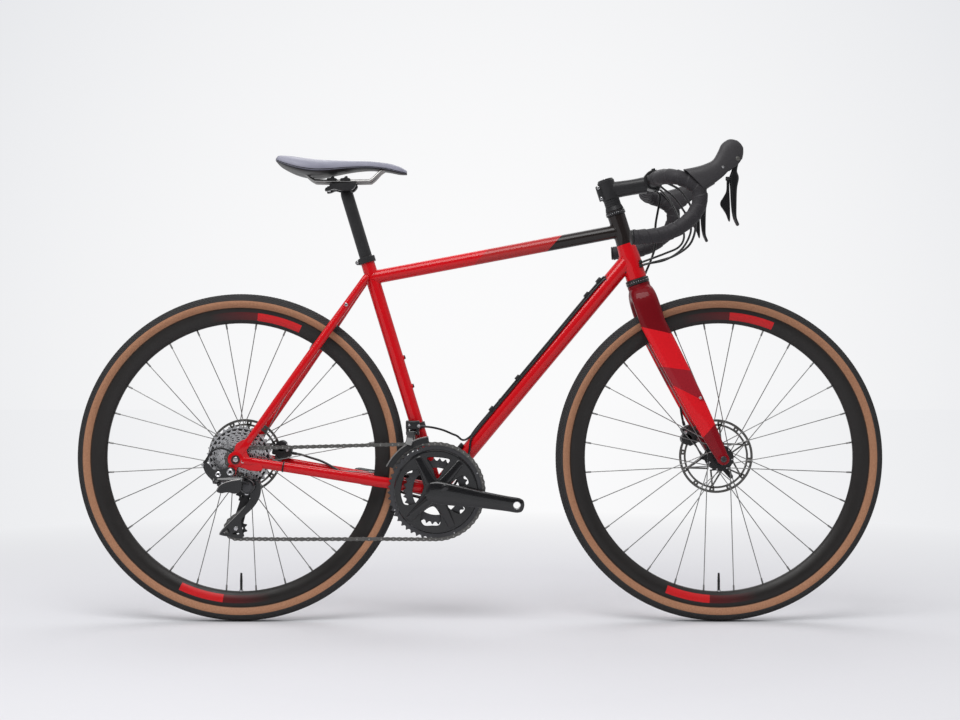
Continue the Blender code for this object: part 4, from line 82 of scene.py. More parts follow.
BAR_CENTRE = CROWN + STEER_UP * 0.2265 + Vector((math.sqrt(0.1**2 - 0.006**2), 0, 0.006))
TYRE_RADIUS = 0.35
AXLE_BORE = 0.0063
CHAIN_PITCH = 0.0127
OUTER_TEETH = 50
INNER_TEETH = 34
PULLEY_TEETH = 11
OUTER_RING_Y = -0.046
INNER_RING_Y = -0.0394
SMALL_COG_Y = -0.062
COG_TEETH = (11, 13, 15, 17, 19, 21, 23, 25, 27, 30, 34)
COG_SPACING = 0.00374
FRONT_ROTOR_Y = 0.0395
REAR_ROTOR_Y = 0.054
SHARP_EDGE = math.radians(35)


def side_vectors(direction, hint):
    """Two unit vectors square to a direction, the first as near to the hint as it can be."""
    along = direction.normalized()
    across = (hint - along * hint.dot(along)).normalized()
    return across, along.cross(across)


def oval(centre, direction, hint, half_width, half_height, sides, squareness=2.0):
    """A ring of points round a centre: an ellipse, squarer as squareness rises above 2."""
    across, over = side_vectors(direction, hint)
    ring = []
    for i in range(sides):
        angle = 2 * math.pi * (i + 0.5) / sides
        c, s = math.cos(angle), math.sin(angle)
        u = math.copysign(abs(c) ** (2 / squareness), c) * half_width
        v = math.copysign(abs(s) ** (2 / squareness), s) * half_height
        ring.append(centre + across * u + over * v)
    return ring


def tangents(path):
    """The direction of travel at each point of a path."""
    last = len(path) - 1
    return [(path[min(i + 1, last)] - path[max(i - 1, 0)]).normalized() for i in range(last + 1)]


def curve_point(a, b, c, d, t):
    """A point on the smooth curve from b to c, whose neighbours are a and d."""
    return 0.5 * (2 * b + (c - a) * t + (2 * a - 5 * b + 4 * c - d) * t**2 + (3 * b - a - 3 * c + d) * t**3)


def between(rows, steps):
    """Rows of numbers with smooth steps put in between them."""
    rows = [Vector(row) for row in rows]
    ends = [2 * rows[0] - rows[1]] + rows + [2 * rows[-1] - rows[-2]]
    fine = []
    for a, b, c, d in zip(ends, ends[1:], ends[2:], ends[3:]):
        fine += [curve_point(a, b, c, d, i / steps) for i in range(steps)]
    return fine + [rows[-1]]


def closed_curve(points, steps):
    """A smooth closed loop through points."""
    points = [Vector(point) for point in points]
    count = len(points)
    loop = []
    for i in range(count):
        near = [points[(i + k) % count] for k in (-1, 0, 1, 2)]
        loop += [curve_point(*near, j / steps) for j in range(steps)]
    return loop


def mm_curve(points, steps):
    """A smooth closed loop through points in millimetres."""
    return closed_curve([(x / 1000, z / 1000) for x, z in points], steps)


def circle(centre, radius, sides):
    """A round (x, z) loop."""
    loop = []
    for i in range(sides):
        angle = 2 * math.pi * i / sides
        loop.append(Vector((centre.x + radius * math.cos(angle), centre.z + radius * math.sin(angle))))
    return loop


def polar(centre, radius, degrees):
    """An (x, z) point at a distance and an angle from a centre."""
    angle = math.radians(degrees)
    return Vector((centre.x + radius * math.cos(angle), centre.z + radius * math.sin(angle)))


def around(centre, radius, degrees, y=0.0):
    """The same as a point in space, at a given y."""
    point = polar(centre, radius, degrees)
    return Vector((point.x, y, point.y))


def wound(loop, sense):
    """The loop running anticlockwise for a sense of 1 and clockwise for -1."""
    loop = [Vector((point[0], point[1])) for point in loop]
    area = sum(a.x * b.y - b.x * a.y for a, b in zip(loop, loop[1:] + loop[:1]))
    return loop if area * sense > 0 else loop[::-1]


def inset(loop, distance):
    """A loop of (x, z) points moved into the plate that it bounds."""
    moved = []
    for i, here in enumerate(loop):
        way = loop[(i + 1) % len(loop)] - loop[i - 1]
        moved.append(here + Vector((-way.y, way.x)).normalized() * distance)
    return moved


def band(inner, outer, low, high, edge):
    """The section of a ring whose outer edges are bevelled, for turning."""
    return [
        (inner, low), (outer - edge, low), (outer, low + edge),
        (outer, high - edge), (outer - edge, high), (inner, high),
    ]


def mirrored(profile, middle=0.0):
    """Half of a section for turning, followed by its mirror image."""
    return profile + [(r, 2 * middle - y) for r, y in reversed(profile) if y != middle]


def mitred(ring, direction, point, axis, radius):
    """A ring of points, each moved along a direction to the surface of a round tube."""
    moved = []
    way = direction - axis * direction.dot(axis)
    for start in ring:
        offset = start - point
        flat = offset - axis * offset.dot(axis)
        a, b, c = way.dot(way), flat.dot(way), flat.dot(flat) - radius**2
        moved.append(start + direction * ((math.sqrt(max(0.0, b * b - a * c)) - b) / a))
    return moved


def rounded(path, widths, heights, depth):
    """A sweep's path, widths and heights with both of its ends rounded over."""
    first = (path[0] - path[1]).normalized()
    last = (path[-1] - path[-2]).normalized()
    new_path, new_widths, new_heights = list(path), list(widths), list(heights)
    for share in (0.45, 0.8, 0.97):
        left = math.sqrt(1 - share**2)
        new_path = [path[0] + first * depth * share] + new_path + [path[-1] + last * depth * share]
        new_widths = [widths[0] * left] + new_widths + [widths[-1] * left]
        new_heights = [heights[0] * left] + new_heights + [heights[-1] * left]
    return new_path, new_widths, new_heights


def closing(ring, middle, way, steps):
    """Rings that close an end, each a share of the first one and some way farther out."""
    return [[middle + (point - middle) * share + way * rise for point in ring] for share, rise in steps]


def placed(made, body, slot, *nodes):
    """An object put on its body, standing for its CAD nodes; its slot is not used."""
    if body:
        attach(made, body)
    if nodes:
        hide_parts(*nodes)
    return made


class Shape:
    """A mesh being built, each of whose faces carries one of its materials."""

    def __init__(self):
        self.bm = bmesh.new()
        self.finishes = []

    def index_of(self, finish):
        if finish not in self.finishes:
            self.finishes.append(finish)
        return self.finishes.index(finish)

    def face(self, corners, index):
        corners = list(dict.fromkeys(corners))
        if len(corners) > 2:
            self.bm.faces.new(corners).material_index = index

    def row(self, ring):
        if (ring[0] - ring[1]).length < 1e-8:
            return [self.bm.verts.new(ring[0])] * len(ring)
        return [self.bm.verts.new(point) for point in ring]

    def skin(self, rings, finish, closed=False):
        """A skin over rings: capped, or joined end to start where closed."""
        index = self.index_of(finish)
        rows = [self.row(ring) for ring in rings]
        pairs = list(zip(rows, rows[1:]))
        if closed:
            pairs.append((rows[-1], rows[0]))
        for first, second in pairs:
            for i in range(len(first)):
                j = (i + 1) % len(first)
                self.face((first[i], first[j], second[j], second[i]), index)
        if not closed:
            self.face(rows[0], index)
            self.face(rows[-1], index)

    def turned(self, origin, axis, profile, finish, sides=48):
        """A profile of (radius, distance along the axis) turned about an axis.

        One that starts at radius 0 makes a solid, and any other closes on itself as a ring.
        """
        hint = Z_AXIS if abs(axis.normalized().z) < 0.9 else X_AXIS
        across, over = side_vectors(axis, hint)
        along = axis.normalized()
        rings = []
        for radius, distance in profile:
            ring = []
            for i in range(sides):
                angle = 2 * math.pi * i / sides
                spoke = across * math.cos(angle) + over * math.sin(angle)
                ring.append(origin + along * distance + spoke * radius)
            rings.append(ring)
        self.skin(rings, finish, closed=profile[0][0] > 0)

    def rod(self, start, end, radius, finish, sides=24, edge=0.0004, far=None):
        """A round bar with softened ends, tapering to a far radius where one is given."""
        length = (end - start).length
        far = radius if far is None else far
        edge = min(edge, length / 3, radius / 2)
        profile = [(0, 0), (radius - edge, 0), (radius - edge * 0.3, edge * 0.3), (radius, edge)]
        profile += [(far, length - edge), (far - edge * 0.3, length - edge * 0.3), (far - edge, length)]
        self.turned(start, end - start, profile + [(0, length)], finish, sides)

    def pin(self, middle, reach, radius, finish, sides=24, edge=0.0004):
        """A round bar that reaches equally far to both sides of its middle."""
        self.rod(middle - reach, middle + reach, radius, finish, sides, edge)

    def swept(self, path, widths, heights, finish, sides=24, hint=Y_AXIS, squareness=2.0):
        """Ovals square to a path, whose width direction turns with it as little as it can."""
        rings = []
        for point, along, width, height in zip(path, tangents(path), widths, heights):
            hint = side_vectors(along, hint)[0]
            rings.append(oval(point, along, hint, width, height, sides, squareness))
        self.skin(rings, finish)

    def beam(self, rows, finish, sides=24, hint=Y_AXIS, squareness=2.0, depth=0.0):
        """A sweep through rows of (point, width, height), its ends rounded over by a depth."""
        path, widths, heights = (list(column) for column in zip(*rows))
        if depth:
            path, widths, heights = rounded(path, widths, heights, depth)
        self.swept(path, widths, heights, finish, sides, hint, squareness)

    def tube(self, path, radius, finish, sides=12, hint=Y_AXIS):
        self.beam([(point, radius, radius) for point in path], finish, sides, hint, depth=radius * 0.4)

    def slab(self, start, end, half_width, half_height, finish, hint=Y_AXIS, squareness=5.0, edge=0.0008):
        """A straight bar of rounded rectangular section with softened ends."""
        along = (end - start).normalized()
        path = [start, start + along * edge * 0.3, start + along * edge]
        path += [end - along * edge, end - along * edge * 0.3, end]
        shares = (edge, edge * 0.3, 0.0, 0.0, edge * 0.3, edge)
        widths = [half_width - share for share in shares]
        heights = [half_height - share for share in shares]
        self.swept(path, widths, heights, finish, 32, hint, squareness)

    def plate(self, outline, low, high, finish, holes=(), edge=0.0003, place=Matrix()):
        """A flat plate with an (x, z) outline and holes, from y low to y high, its edges softened."""
        index = self.index_of(finish)
        loops = [wound(outline, 1)] + [wound(hole, -1) for hole in holes]
        levels = []
        for y, distance in ((low, edge), (low + edge, 0.0), (high - edge, 0.0), (high, edge)):
            level = []
            for loop in loops:
                points = inset(loop, distance)
                level.append([self.bm.verts.new(place @ Vector((p.x, y, p.y))) for p in points])
            levels.append(level)
        for lower, upper in zip(levels, levels[1:]):
            for first, second in zip(lower, upper):
                for i in range(len(first)):
                    j = (i + 1) % len(first)
                    self.face((first[i], first[j], second[j], second[i]), index)
        flat = [[point.to_3d() for point in inset(loop, edge)] for loop in loops]
        triangles = tessellate_polygon(flat)
        for level in (levels[0], levels[-1]):
            corners = [vert for row in level for vert in row]
            for triangle in triangles:
                self.face([corners[i] for i in triangle], index)

    def bolt(self, foot, direction, radius, height, finish, sides=24):
        """A round-headed bolt with a six-sided socket in its head."""
        along = direction.normalized()
        across, over = side_vectors(along, Z_AXIS if abs(along.z) < 0.9 else X_AXIS)
        socket = radius * 0.5
        steps = (
            (radius * 0.95, 0.0, False), (radius, height * 0.12, False), (radius, height * 0.6, False),
            (radius * 0.92, height * 0.88, False), (radius * 0.8, height, False),
            (socket * 1.06, height, True), (socket, height * 0.92, True), (socket, height * 0.35, True),
            (0.0, height * 0.3, False),
        )
        rings = []
        for reach, rise, six_sided in steps:
            ring = []
            for i in range(sides):
                angle = 2 * math.pi * i / sides
                out = reach
                if six_sided:
                    out = reach * math.cos(math.pi / 6) / math.cos(angle % (math.pi / 3) - math.pi / 6)
                ring.append(foot + along * rise + (across * math.cos(angle) + over * math.sin(angle)) * out)
            rings.append(ring)
        self.skin(rings, finish)

    def weld(self, loop, finish, radius=0.0017):
        """A rippled bead of weld laid round a closed loop of points."""
        middle = sum(loop, Vector()) / len(loop)
        rings = []
        for i, point in enumerate(loop):
            along = loop[(i + 1) % len(loop)] - loop[i - 1]
            swell = radius * (1.0 if i % 2 else 0.88)
            rings.append(oval(point, along, point - middle, swell, swell, 8))
        self.skin(rings, finish, closed=True)

    def mitre_tube(self, start, end, radius, finish, first_cut, last_cut, sides=64, wall=0.0009):
        """A tube whose ends are cut to sit on two other tubes, with a weld round each of them.

        A cut is given as a point on the other tube's axis, the axis and its radius.
        """
        along = (end - start).normalized()
        rings = []
        for reach in (radius, radius - wall):
            first = mitred(oval(start, along, Y_AXIS, reach, reach, sides), along, *first_cut)
            last = mitred(oval(end, along, Y_AXIS, reach, reach, sides), -along, *last_cut)
            rings.append((first, last))
        (first, last), (inner_first, inner_last) = rings
        self.skin([first, last, inner_last, inner_first], finish, closed=True)
        self.weld(first, finish)
        self.weld(last, finish)

    def look(self, node, body, slot):
        """The finished object that stands for the CAD node it is named after."""
        return self.done(f"{node}_look", body, slot, node)

    def done(self, name, body=None, slot=None, *nodes):
        """The finished object, riding on its body and standing for its CAD nodes."""
        bmesh.ops.recalc_face_normals(self.bm, faces=self.bm.faces)
        mesh = bpy.data.meshes.new(name)
        self.bm.to_mesh(mesh)
        self.bm.free()
        mesh.shade_smooth()
        mesh.set_sharp_from_angle(angle=SHARP_EDGE)
        for finish in self.finishes:
            mesh.materials.append(finish)
        made = bpy.data.objects.new(name, mesh)
        bpy.context.scene.collection.objects.link(made)
        return placed(made, body, slot, *nodes)


class Nodes:
    """A node tree whose nodes are added by short calls."""

    def __init__(self, tree):
        self.tree = tree

    def add(self, kind, **settings):
        node = self.tree.nodes.new(kind)
        for key, value in settings.items():
            setattr(node, key, value)
        return node

    def feed(self, socket, value):
        if isinstance(value, bpy.types.NodeSocket):
            self.tree.links.new(value, socket)
        elif socket.type == "RGBA" and isinstance(value, tuple):
            socket.default_value = (*value, 1.0)
        else:
            socket.default_value = value

    def maths(self, operation, first, second=0.0):
        node = self.add("ShaderNodeMath", operation=operation)
        self.feed(node.inputs[0], first)
        self.feed(node.inputs[1], second)
        return node.outputs[0]

    def spread(self, value, low, high, to_low=0.0, to_high=1.0):
        node = self.add("ShaderNodeMapRange")
        for socket, number in zip(node.inputs, (value, low, high, to_low, to_high)):
            self.feed(socket, number)
        return node.outputs[0]

    def past(self, value, edge, soft=0.0004):
        """0 before an edge and 1 past it."""
        return self.spread(value, edge - soft, edge + soft)

    def mix(self, share, first, second, way="MIX"):
        node = self.add("ShaderNodeMix", data_type="RGBA", blend_type=way)
        self.feed(node.inputs[0], share)
        self.feed(node.inputs[6], first)
        self.feed(node.inputs[7], second)
        return node.outputs[2]

    def distance(self, x, y):
        """How far a point with two coordinates lies from their origin."""
        squares = self.maths("ADD", self.maths("MULTIPLY", x, x), self.maths("MULTIPLY", y, y))
        return self.maths("SQRT", squares)


class Finish(Nodes):
    """A material made of procedural nodes."""

    def __init__(self, name):
        self.material = bpy.data.materials.new(name)
        self.material.use_nodes = True
        super().__init__(self.material.node_tree)
        self.shader = self.tree.nodes["Principled BSDF"]
        self.place = self.add("ShaderNodeTexCoord").outputs["Object"]

    def along(self, direction, origin=(0, 0, 0)):
        """How far the surface lies from an origin along a direction."""
        less = self.add("ShaderNodeVectorMath", operation="SUBTRACT")
        self.feed(less.inputs[0], self.place)
        self.feed(less.inputs[1], tuple(origin))
        dot = self.add("ShaderNodeVectorMath", operation="DOT_PRODUCT")
        self.feed(dot.inputs[0], less.outputs[0])
        self.feed(dot.inputs[1], tuple(direction))
        return dot.outputs["Value"]

    def noise(self, scale, detail=4.0):
        node = self.add("ShaderNodeTexNoise")
        node.inputs["Scale"].default_value = scale
        node.inputs["Detail"].default_value = detail
        self.feed(node.inputs["Vector"], self.place)
        return node.outputs[0]

    def done(self, colour, roughness, metallic=0.0, coat=0.0, grain=0.08, grain_scale=900.0,
             rough=0.05, bump=0.00002, bump_scale=1400.0, shine=0.3):
        """Colour with grain, uneven roughness and a fine relief, all in the shader's own sockets."""
        shade = self.spread(self.noise(grain_scale), 0.3, 0.7, 1 - grain, 1 + grain)
        self.feed(self.shader.inputs["Base Color"], self.mix(1.0, colour, shade, "MULTIPLY"))
        uneven = self.spread(self.noise(45.0), 0.3, 0.7, roughness - rough, roughness + rough)
        self.feed(self.shader.inputs["Roughness"], uneven)
        self.shader.inputs["Metallic"].default_value = metallic
        self.shader.inputs["Specular IOR Level"].default_value = shine
        self.shader.inputs["Coat Weight"].default_value = coat
        self.shader.inputs["Coat Roughness"].default_value = 0.06
        relief = self.add("ShaderNodeBump")
        relief.inputs["Distance"].default_value = bump
        self.feed(relief.inputs["Height"], self.noise(bump_scale))
        self.feed(self.shader.inputs["Normal"], relief.outputs["Normal"])
        return self.material


RED = (0.6, 0.006, 0.011)
PAINT_BLACK = (0.018, 0.014, 0.013)


def painted(finish, colour, coat=0.6):
    """Glossy paint under a clear coat."""
    return finish.done(
        colour, 0.34, coat=coat, grain=0.05, rough=0.05, bump=0.000008, bump_scale=600.0, shine=0.05
    )


def plain_paint():
    finish = Finish("red_paint_plain")
    return painted(finish, RED)


def head_tube_paint():
    """Red below and black above."""
    finish = Finish("red_paint_head")
    height = finish.along(STEER_UP, CROWN)
    return painted(finish, finish.mix(finish.past(height, 0.0905), RED, PAINT_BLACK))


def top_tube_paint():
    """Red at the back, a deeper stripe with slanted ends, and black in front."""
    finish = Finish("red_paint_top")
    slanted = finish.along((1.0, 0, -0.9), (0, 0, 0.79))
    stripe = finish.mix(finish.past(slanted, 0.012), RED, (0.43, 0.022, 0.022))
    return painted(finish, finish.mix(finish.past(slanted, 0.143), stripe, PAINT_BLACK))


def fork_paint():
    """Red legs crossed by slanted panels of deeper red."""
    finish = Finish("red_paint_fork")
    crown = finish.past(finish.along((0.2196, 0, 0.9756)), 0.688)
    below = finish.past(finish.along((-0.134, 0, -0.991)), -0.591)
    above = finish.past(finish.along((0.447, 0, 0.894)), 0.633)
    tip = finish.past(finish.along((0.749, 0, -0.662)), 0.0894)
    panel = finish.maths("MULTIPLY", below, above)
    colour = finish.mix(panel, (0.74, 0.014, 0.021), (0.34, 0.018, 0.027))
    colour = finish.mix(crown, colour, (0.175, 0.006, 0.01))
    return painted(finish, finish.mix(tip, colour, (0.24, 0.008, 0.014)), 0.25)


def satin_black():
    return Finish("black_metal_satin").done((0.022, 0.022, 0.023), 0.36, grain=0.15, bump=0.00003)


def gloss_black():
    return Finish("black_metal_gloss").done((0.012, 0.012, 0.013), 0.2, coat=0.5, grain=0.12)


def grey_metal():
    return Finish("black_metal_grey").done((0.075, 0.075, 0.079), 0.3, metallic=0.6, grain=0.12)


def bright_steel():
    return Finish("bright_steel_look").done((0.6, 0.6, 0.61), 0.28, metallic=1.0, grain=0.1)


def dull_steel():
    return Finish("bright_steel_dull").done((0.34, 0.335, 0.325), 0.36, metallic=1.0, grain=0.18)


def dark_steel():
    return Finish("bright_steel_dark").done((0.15, 0.147, 0.14), 0.42, metallic=0.8, grain=0.22)


def spoke_steel():
    return Finish("bright_steel_spoke").done((0.25, 0.25, 0.245), 0.45, metallic=0.8, grain=0.15)


def black_plastic():
    return Finish("black_plastic_look").done((0.016, 0.016, 0.017), 0.42, grain=0.15, bump=0.00005)


def rubber_black():
    return Finish("tube_rubber_look").done((0.014, 0.014, 0.014), 0.7, grain=0.2, bump=0.00008)


def cable_cover():
    return Finish("cable_cover_look").done((0.013, 0.013, 0.014), 0.3, coat=0.3, grain=0.12)


def from_axle(finish, axle):
    """Distance from a wheel's axle, and angle round it."""
    x, z = finish.along(X_AXIS, axle), finish.along(Z_AXIS, axle)
    return finish.distance(x, z), finish.maths("ARCTAN2", z, x)


def tyre_finish(name, axle):
    """Black tread, a tan side wall with fine cords, and a dark strip at the rim."""
    finish = Finish(name)
    radius, _ = from_axle(finish, axle)
    cords = finish.spread(finish.noise(260.0), 0.35, 0.65)
    tan = finish.mix(cords, (0.375, 0.18, 0.1), (0.43, 0.215, 0.122))
    colour = finish.mix(finish.past(radius, 0.335), tan, (0.04, 0.039, 0.039))
    colour = finish.mix(finish.past(radius, 0.3205), (0.06, 0.038, 0.027), colour)
    return finish.done(colour, 0.72, grain=0.14, bump=0.0001, bump_scale=1100.0)


def rim_finish(name, axle, first, length):
    """Satin black with two blocks of bright red, each fading on into a dark red."""
    finish = Finish(name)
    radius, angle = from_axle(finish, axle)
    half_turn = finish.maths("MODULO", finish.maths("ADD", angle, 4 * math.pi - first), math.pi)
    outside = finish.past(finish.maths("MULTIPLY", radius, -1.0), -0.311)
    painted_part = finish.maths("MULTIPLY", finish.past(radius, 0.2945), outside)
    bright = finish.maths("SUBTRACT", 1.0, finish.past(half_turn, length))
    fade = finish.spread(half_turn, length, length + 0.34, 1.0, 0.0)
    dark = finish.mix(fade, (0.02, 0.018, 0.017), (0.11, 0.01, 0.012))
    mark = finish.mix(bright, dark, (0.62, 0.014, 0.018))
    colour = finish.mix(painted_part, (0.02, 0.018, 0.017), mark)
    return finish.done(colour, 0.4, grain=0.12, bump=0.00002)


RED_PAINT = plain_paint()
SATIN = satin_black()
GLOSS = gloss_black()
GREY = grey_metal()
STEEL = bright_steel()
DULL = dull_steel()
DARK = dark_steel()
SPOKE_STEEL = spoke_steel()
PLASTIC = black_plastic()
RUBBER = rubber_black()
CABLE_COVER = cable_cover()


# Frame tubes

TOP_TUBE_REAR = BB + SEAT_UP * 0.475
TOP_TUBE_FRONT = CROWN + STEER_UP * 0.121
DOWN_TUBE_FRONT = CROWN + STEER_UP * 0.0595
DOWN_ALONG = (DOWN_TUBE_FRONT - BB).normalized()
DOWN_INWARD = DOWN_ALONG.cross(Y_AXIS)
STAY_ALONG = (REAR_AXLE - BB).normalized()
SEATSTAY_TOP = BB + SEAT_UP * 0.487 - REAR_AXLE
SEATSTAY_ALONG = SEATSTAY_TOP.normalized()


def make_head_tube():
    shape = Shape()
    low, high, bore = 0.022, 0.0188, 0.0172
    profile = [(bore, HEAD_LOW), (low - 0.0006, HEAD_LOW), (low, HEAD_LOW + 0.0006)]
    taper = ((low, 0.03), (low, 0.0553), (0.0205, 0.077), (high, 0.0982), (high, 0.12))
    profile += [tuple(row) for row in between(taper, 4)]
    profile += [(high, HEAD_HIGH - 0.0006), (high - 0.0006, HEAD_HIGH), (bore, HEAD_HIGH)]
    shape.turned(CROWN, STEER_UP, profile, head_tube_paint(), 64)
    shape.look("head_tube", "frame", "red_paint")


def make_top_tube():
    shape = Shape()
    paint = top_tube_paint()
    shape.mitre_tube(
        TOP_TUBE_REAR, TOP_TUBE_FRONT, TOP_TUBE_RADIUS, paint,
        (TOP_TUBE_REAR, SEAT_UP, SEAT_TUBE_RADIUS - MITRE_SINK), (TOP_TUBE_FRONT, STEER_UP, 0.0186),
    )
    shape.look("top_tube", "frame", "red_paint")


def bottle_bosses(shape, start, along, outward, radius):
    """Two threaded bosses with bolts in them."""
    for i in range(2):
        foot = start + along * 0.064 * i + outward * (radius - 0.001)
        shape.rod(foot, foot + outward * 0.0026, 0.005, RED_PAINT)
        shape.bolt(foot + outward * 0.0026, outward, 0.0042, 0.0024, SATIN)


# Where the cable guides sit along X
CLIP_PLACES = (0.2701, 0.2444, 0.0964, 0.0406, -0.0258)


def make_down_tube():
    shape = Shape()
    shape.mitre_tube(
        BB, DOWN_TUBE_FRONT, DOWN_TUBE_RADIUS, RED_PAINT,
        (BB, Y_AXIS, SHELL_CUT), (DOWN_TUBE_FRONT, STEER_UP, 0.0208),
    )
    bottle_bosses(shape, BB + DOWN_ALONG * 0.235, DOWN_ALONG, DOWN_INWARD, DOWN_TUBE_RADIUS)
    for x in CLIP_PLACES:
        cable_clip(shape, BB + DOWN_ALONG * ((x - BB.x) / DOWN_ALONG.x))
    shape.look("down_tube", "frame", "red_paint")


def cable_clip(shape, foot):
    """A black guide over the cables on the near side of the down tube."""
    centre = foot + DOWN_INWARD * (DOWN_TUBE_RADIUS + 0.003)
    reach = DOWN_ALONG * 0.006
    shape.slab(centre - reach, centre + reach, 0.016, 0.0042, PLASTIC)


def make_seat_tube():
    shape = Shape()
    top = BB + SEAT_UP * SEAT_TUBE_LENGTH
    ends = []
    for radius in (SEAT_TUBE_RADIUS, 0.0139):
        foot = mitred(oval(BB, SEAT_UP, Y_AXIS, radius, radius, 64), SEAT_UP, BB, Y_AXIS, SHELL_CUT)
        ends.append((foot, oval(top, SEAT_UP, Y_AXIS, radius, radius, 64)))
    (foot, rim), (inner_foot, inner_rim) = ends
    shape.skin([foot, rim, inner_rim, inner_foot], RED_PAINT, closed=True)
    shape.weld(foot, RED_PAINT)
    half = 0.034
    shape.turned(BB, Y_AXIS, band(0.0175, SHELL_RADIUS, -half, half, 0.0006), RED_PAINT, 64)
    bottle_bosses(shape, BB + SEAT_UP * 0.228, SEAT_UP, -SEAT_UP.cross(Y_AXIS), SEAT_TUBE_RADIUS)
    shape.look("seat_tube", "frame", "red_paint")


def dropout_disc(shape, centre, radius, half, hole=0.0):
    """A round end plate with softened edges."""
    edge = 0.001
    profile = [(hole, -half), (radius - edge, -half)]
    profile += [(radius - edge * 0.3, -half + edge * 0.3), (radius, -half + edge)]
    shape.turned(centre, Y_AXIS, mirrored(profile), RED_PAINT)


# Distance along the stay, distance to its side, half width and half height
CHAINSTAY_STATIONS = (
    (0.016, 0.0215, 0.009, 0.0122), (0.072, 0.029, 0.0072, 0.0118), (0.105, 0.0355, 0.0072, 0.0114),
    (0.2, 0.0485, 0.0074, 0.0108), (0.3, 0.061, 0.0068, 0.0101), (0.37, 0.0711, 0.006, 0.0095),
    (0.4113, DROPOUT_Y, 0.0042, 0.0086),
)
SEATSTAY_STATIONS = (
    (0.047, DROPOUT_Y, 0.004, 0.0072), (0.077, DROPOUT_Y - 0.002, 0.006, 0.0078),
    (0.2, 0.056, 0.0078, 0.0088), (0.33, 0.0355, 0.0078, 0.0088), (0.42, 0.0235, 0.0078, 0.0078),
    (0.52, 0.0158, 0.006, 0.007),
)

# The right dropout's plate, X and Z in mm
DROPOUT_PLATE = (
    (-511, 382), (-496, 391), (-487, 392), (-484, 385), (-489, 373), (-486, 359), (-472, 342), (-456, 336),
    (-459, 326), (-482, 327), (-497, 332), (-514, 336), (-523, 345), (-523, 358), (-515, 369),
)

# The grommets' places in mm, and how steeply they lean
GROMMETS = ((344.0, -18.2, 760.0, 0.34), (343.5, -17.6, 768.5, 0.34), (341.0, 18.2, 761.0, 0.3))


def stay_rows(stations, root, along, side):
    """Rows for a sweep along one of the stays."""
    return [(root + along * s + Y_AXIS * side * y, width, height) for s, y, width, height in stations]


def make_chainstay(word, side):
    shape = Shape()
    rows = stay_rows(between(CHAINSTAY_STATIONS, 8), BB, STAY_ALONG, side)
    shape.beam(rows, RED_PAINT, 32, squareness=2.3)
    centre = REAR_AXLE + Y_AXIS * side * DROPOUT_Y
    half = 0.0038
    dropout_disc(shape, centre, 0.0165, half, AXLE_BORE)
    tongues = ((SEATSTAY_ALONG, 0.01, 0.05, 0.0078), (STAY_ALONG, -0.034, -0.01, 0.008))
    for along, first, last, width in tongues:
        start, end = centre + along * first, centre + along * last
        shape.slab(start, end, half * 0.9, width, RED_PAINT, squareness=4.0)
    if side < 0:
        hanger = centre - X_AXIS * 0.009 - Z_AXIS * 0.025
        way = (hanger - centre).normalized()
        shape.slab(centre + way * 0.01, hanger - way * 0.004, half * 0.88, 0.0095, RED_PAINT, squareness=4.0)
        dropout_disc(shape, hanger, 0.0105, half * 0.96)
        tie = BB + STAY_ALONG * 0.325 + Y_AXIS * side * 0.064
        shape.pin(tie, STAY_ALONG * 0.0015, 0.0112, PLASTIC)
    shape.look(f"chainstay_{word}", "frame", "red_paint")


def make_dropout_plate():
    """The flat plate that joins the right stays, with a slot and the hanger's bolt."""
    shape = Shape()
    plate = mm_curve(DROPOUT_PLATE, 3)
    slot = oval_slot(-0.4915, 0.3845, 0.0024, 0.004)
    shape.plate(plate, -0.0776, -0.0738, RED_PAINT, [slot], 0.001)
    shape.bolt(Vector((-0.4975, -0.0774, 0.3455)), -Y_AXIS, 0.0034, 0.0016, STEEL)
    ring = [(0.0066, -0.002), (0.0066, 0.0026), (0.0092, 0.003), (0.0096, -0.002)]
    shape.turned(REAR_AXLE - Y_AXIS * 0.0776, -Y_AXIS, ring, SATIN)
    shape.done("right_dropout_plate", "frame", "red_paint")


def oval_slot(x, z, half_width, half_height):
    """An upright oval as an (x, z) loop."""
    angles = [2 * math.pi * i / 20 for i in range(20)]
    return [Vector((x + half_width * math.cos(a), z + half_height * math.sin(a))) for a in angles]


def make_grommets():
    """Rubber rings where cables go into the head tube and come out of the down tube."""
    shape = Shape()
    for x, y, z, lean in GROMMETS:
        way = Vector((1.0, 0.0, lean)).normalized()
        at = Vector((x, y, z)) / 1000
        shape.rod(at - way * 0.004, at + way * 0.0022, 0.004, RUBBER, 20, 0.0008)
    shape.done("cable_grommets", "frame", "tube_rubber")


def seatstay_point(distance, side):
    """A point on a seatstay's middle line, at a distance from the axle."""
    fine = between(SEATSTAY_STATIONS, 40)
    near = min(fine, key=lambda station: abs(station[0] - distance))
    return REAR_AXLE + SEATSTAY_ALONG * distance + Y_AXIS * side * near[1]


def make_seatstays():
    shape = Shape()
    reach = SEATSTAY_TOP.length - 0.004
    kept = [station for station in between(SEATSTAY_STATIONS, 8) if station[0] < reach]
    for side in (-1, 1):
        rows = stay_rows(kept, REAR_AXLE, SEATSTAY_ALONG, side)
        shape.beam(rows, RED_PAINT, 32, squareness=2.1, depth=0.006)
        foot = seatstay_point(TYRE_RADIUS + 0.048, side)
        face = foot + Y_AXIS * side * 0.0096
        shape.rod(foot, face, 0.0046, RED_PAINT)
        shape.bolt(face, Y_AXIS * side, 0.0036, 0.0008, STEEL)
    ends = [seatstay_point(TYRE_RADIUS + 0.024, side) for side in (-1, 1)]
    shape.rod(*ends, 0.006, RED_PAINT)
    shape.look("seatstays", "frame", "red_paint")


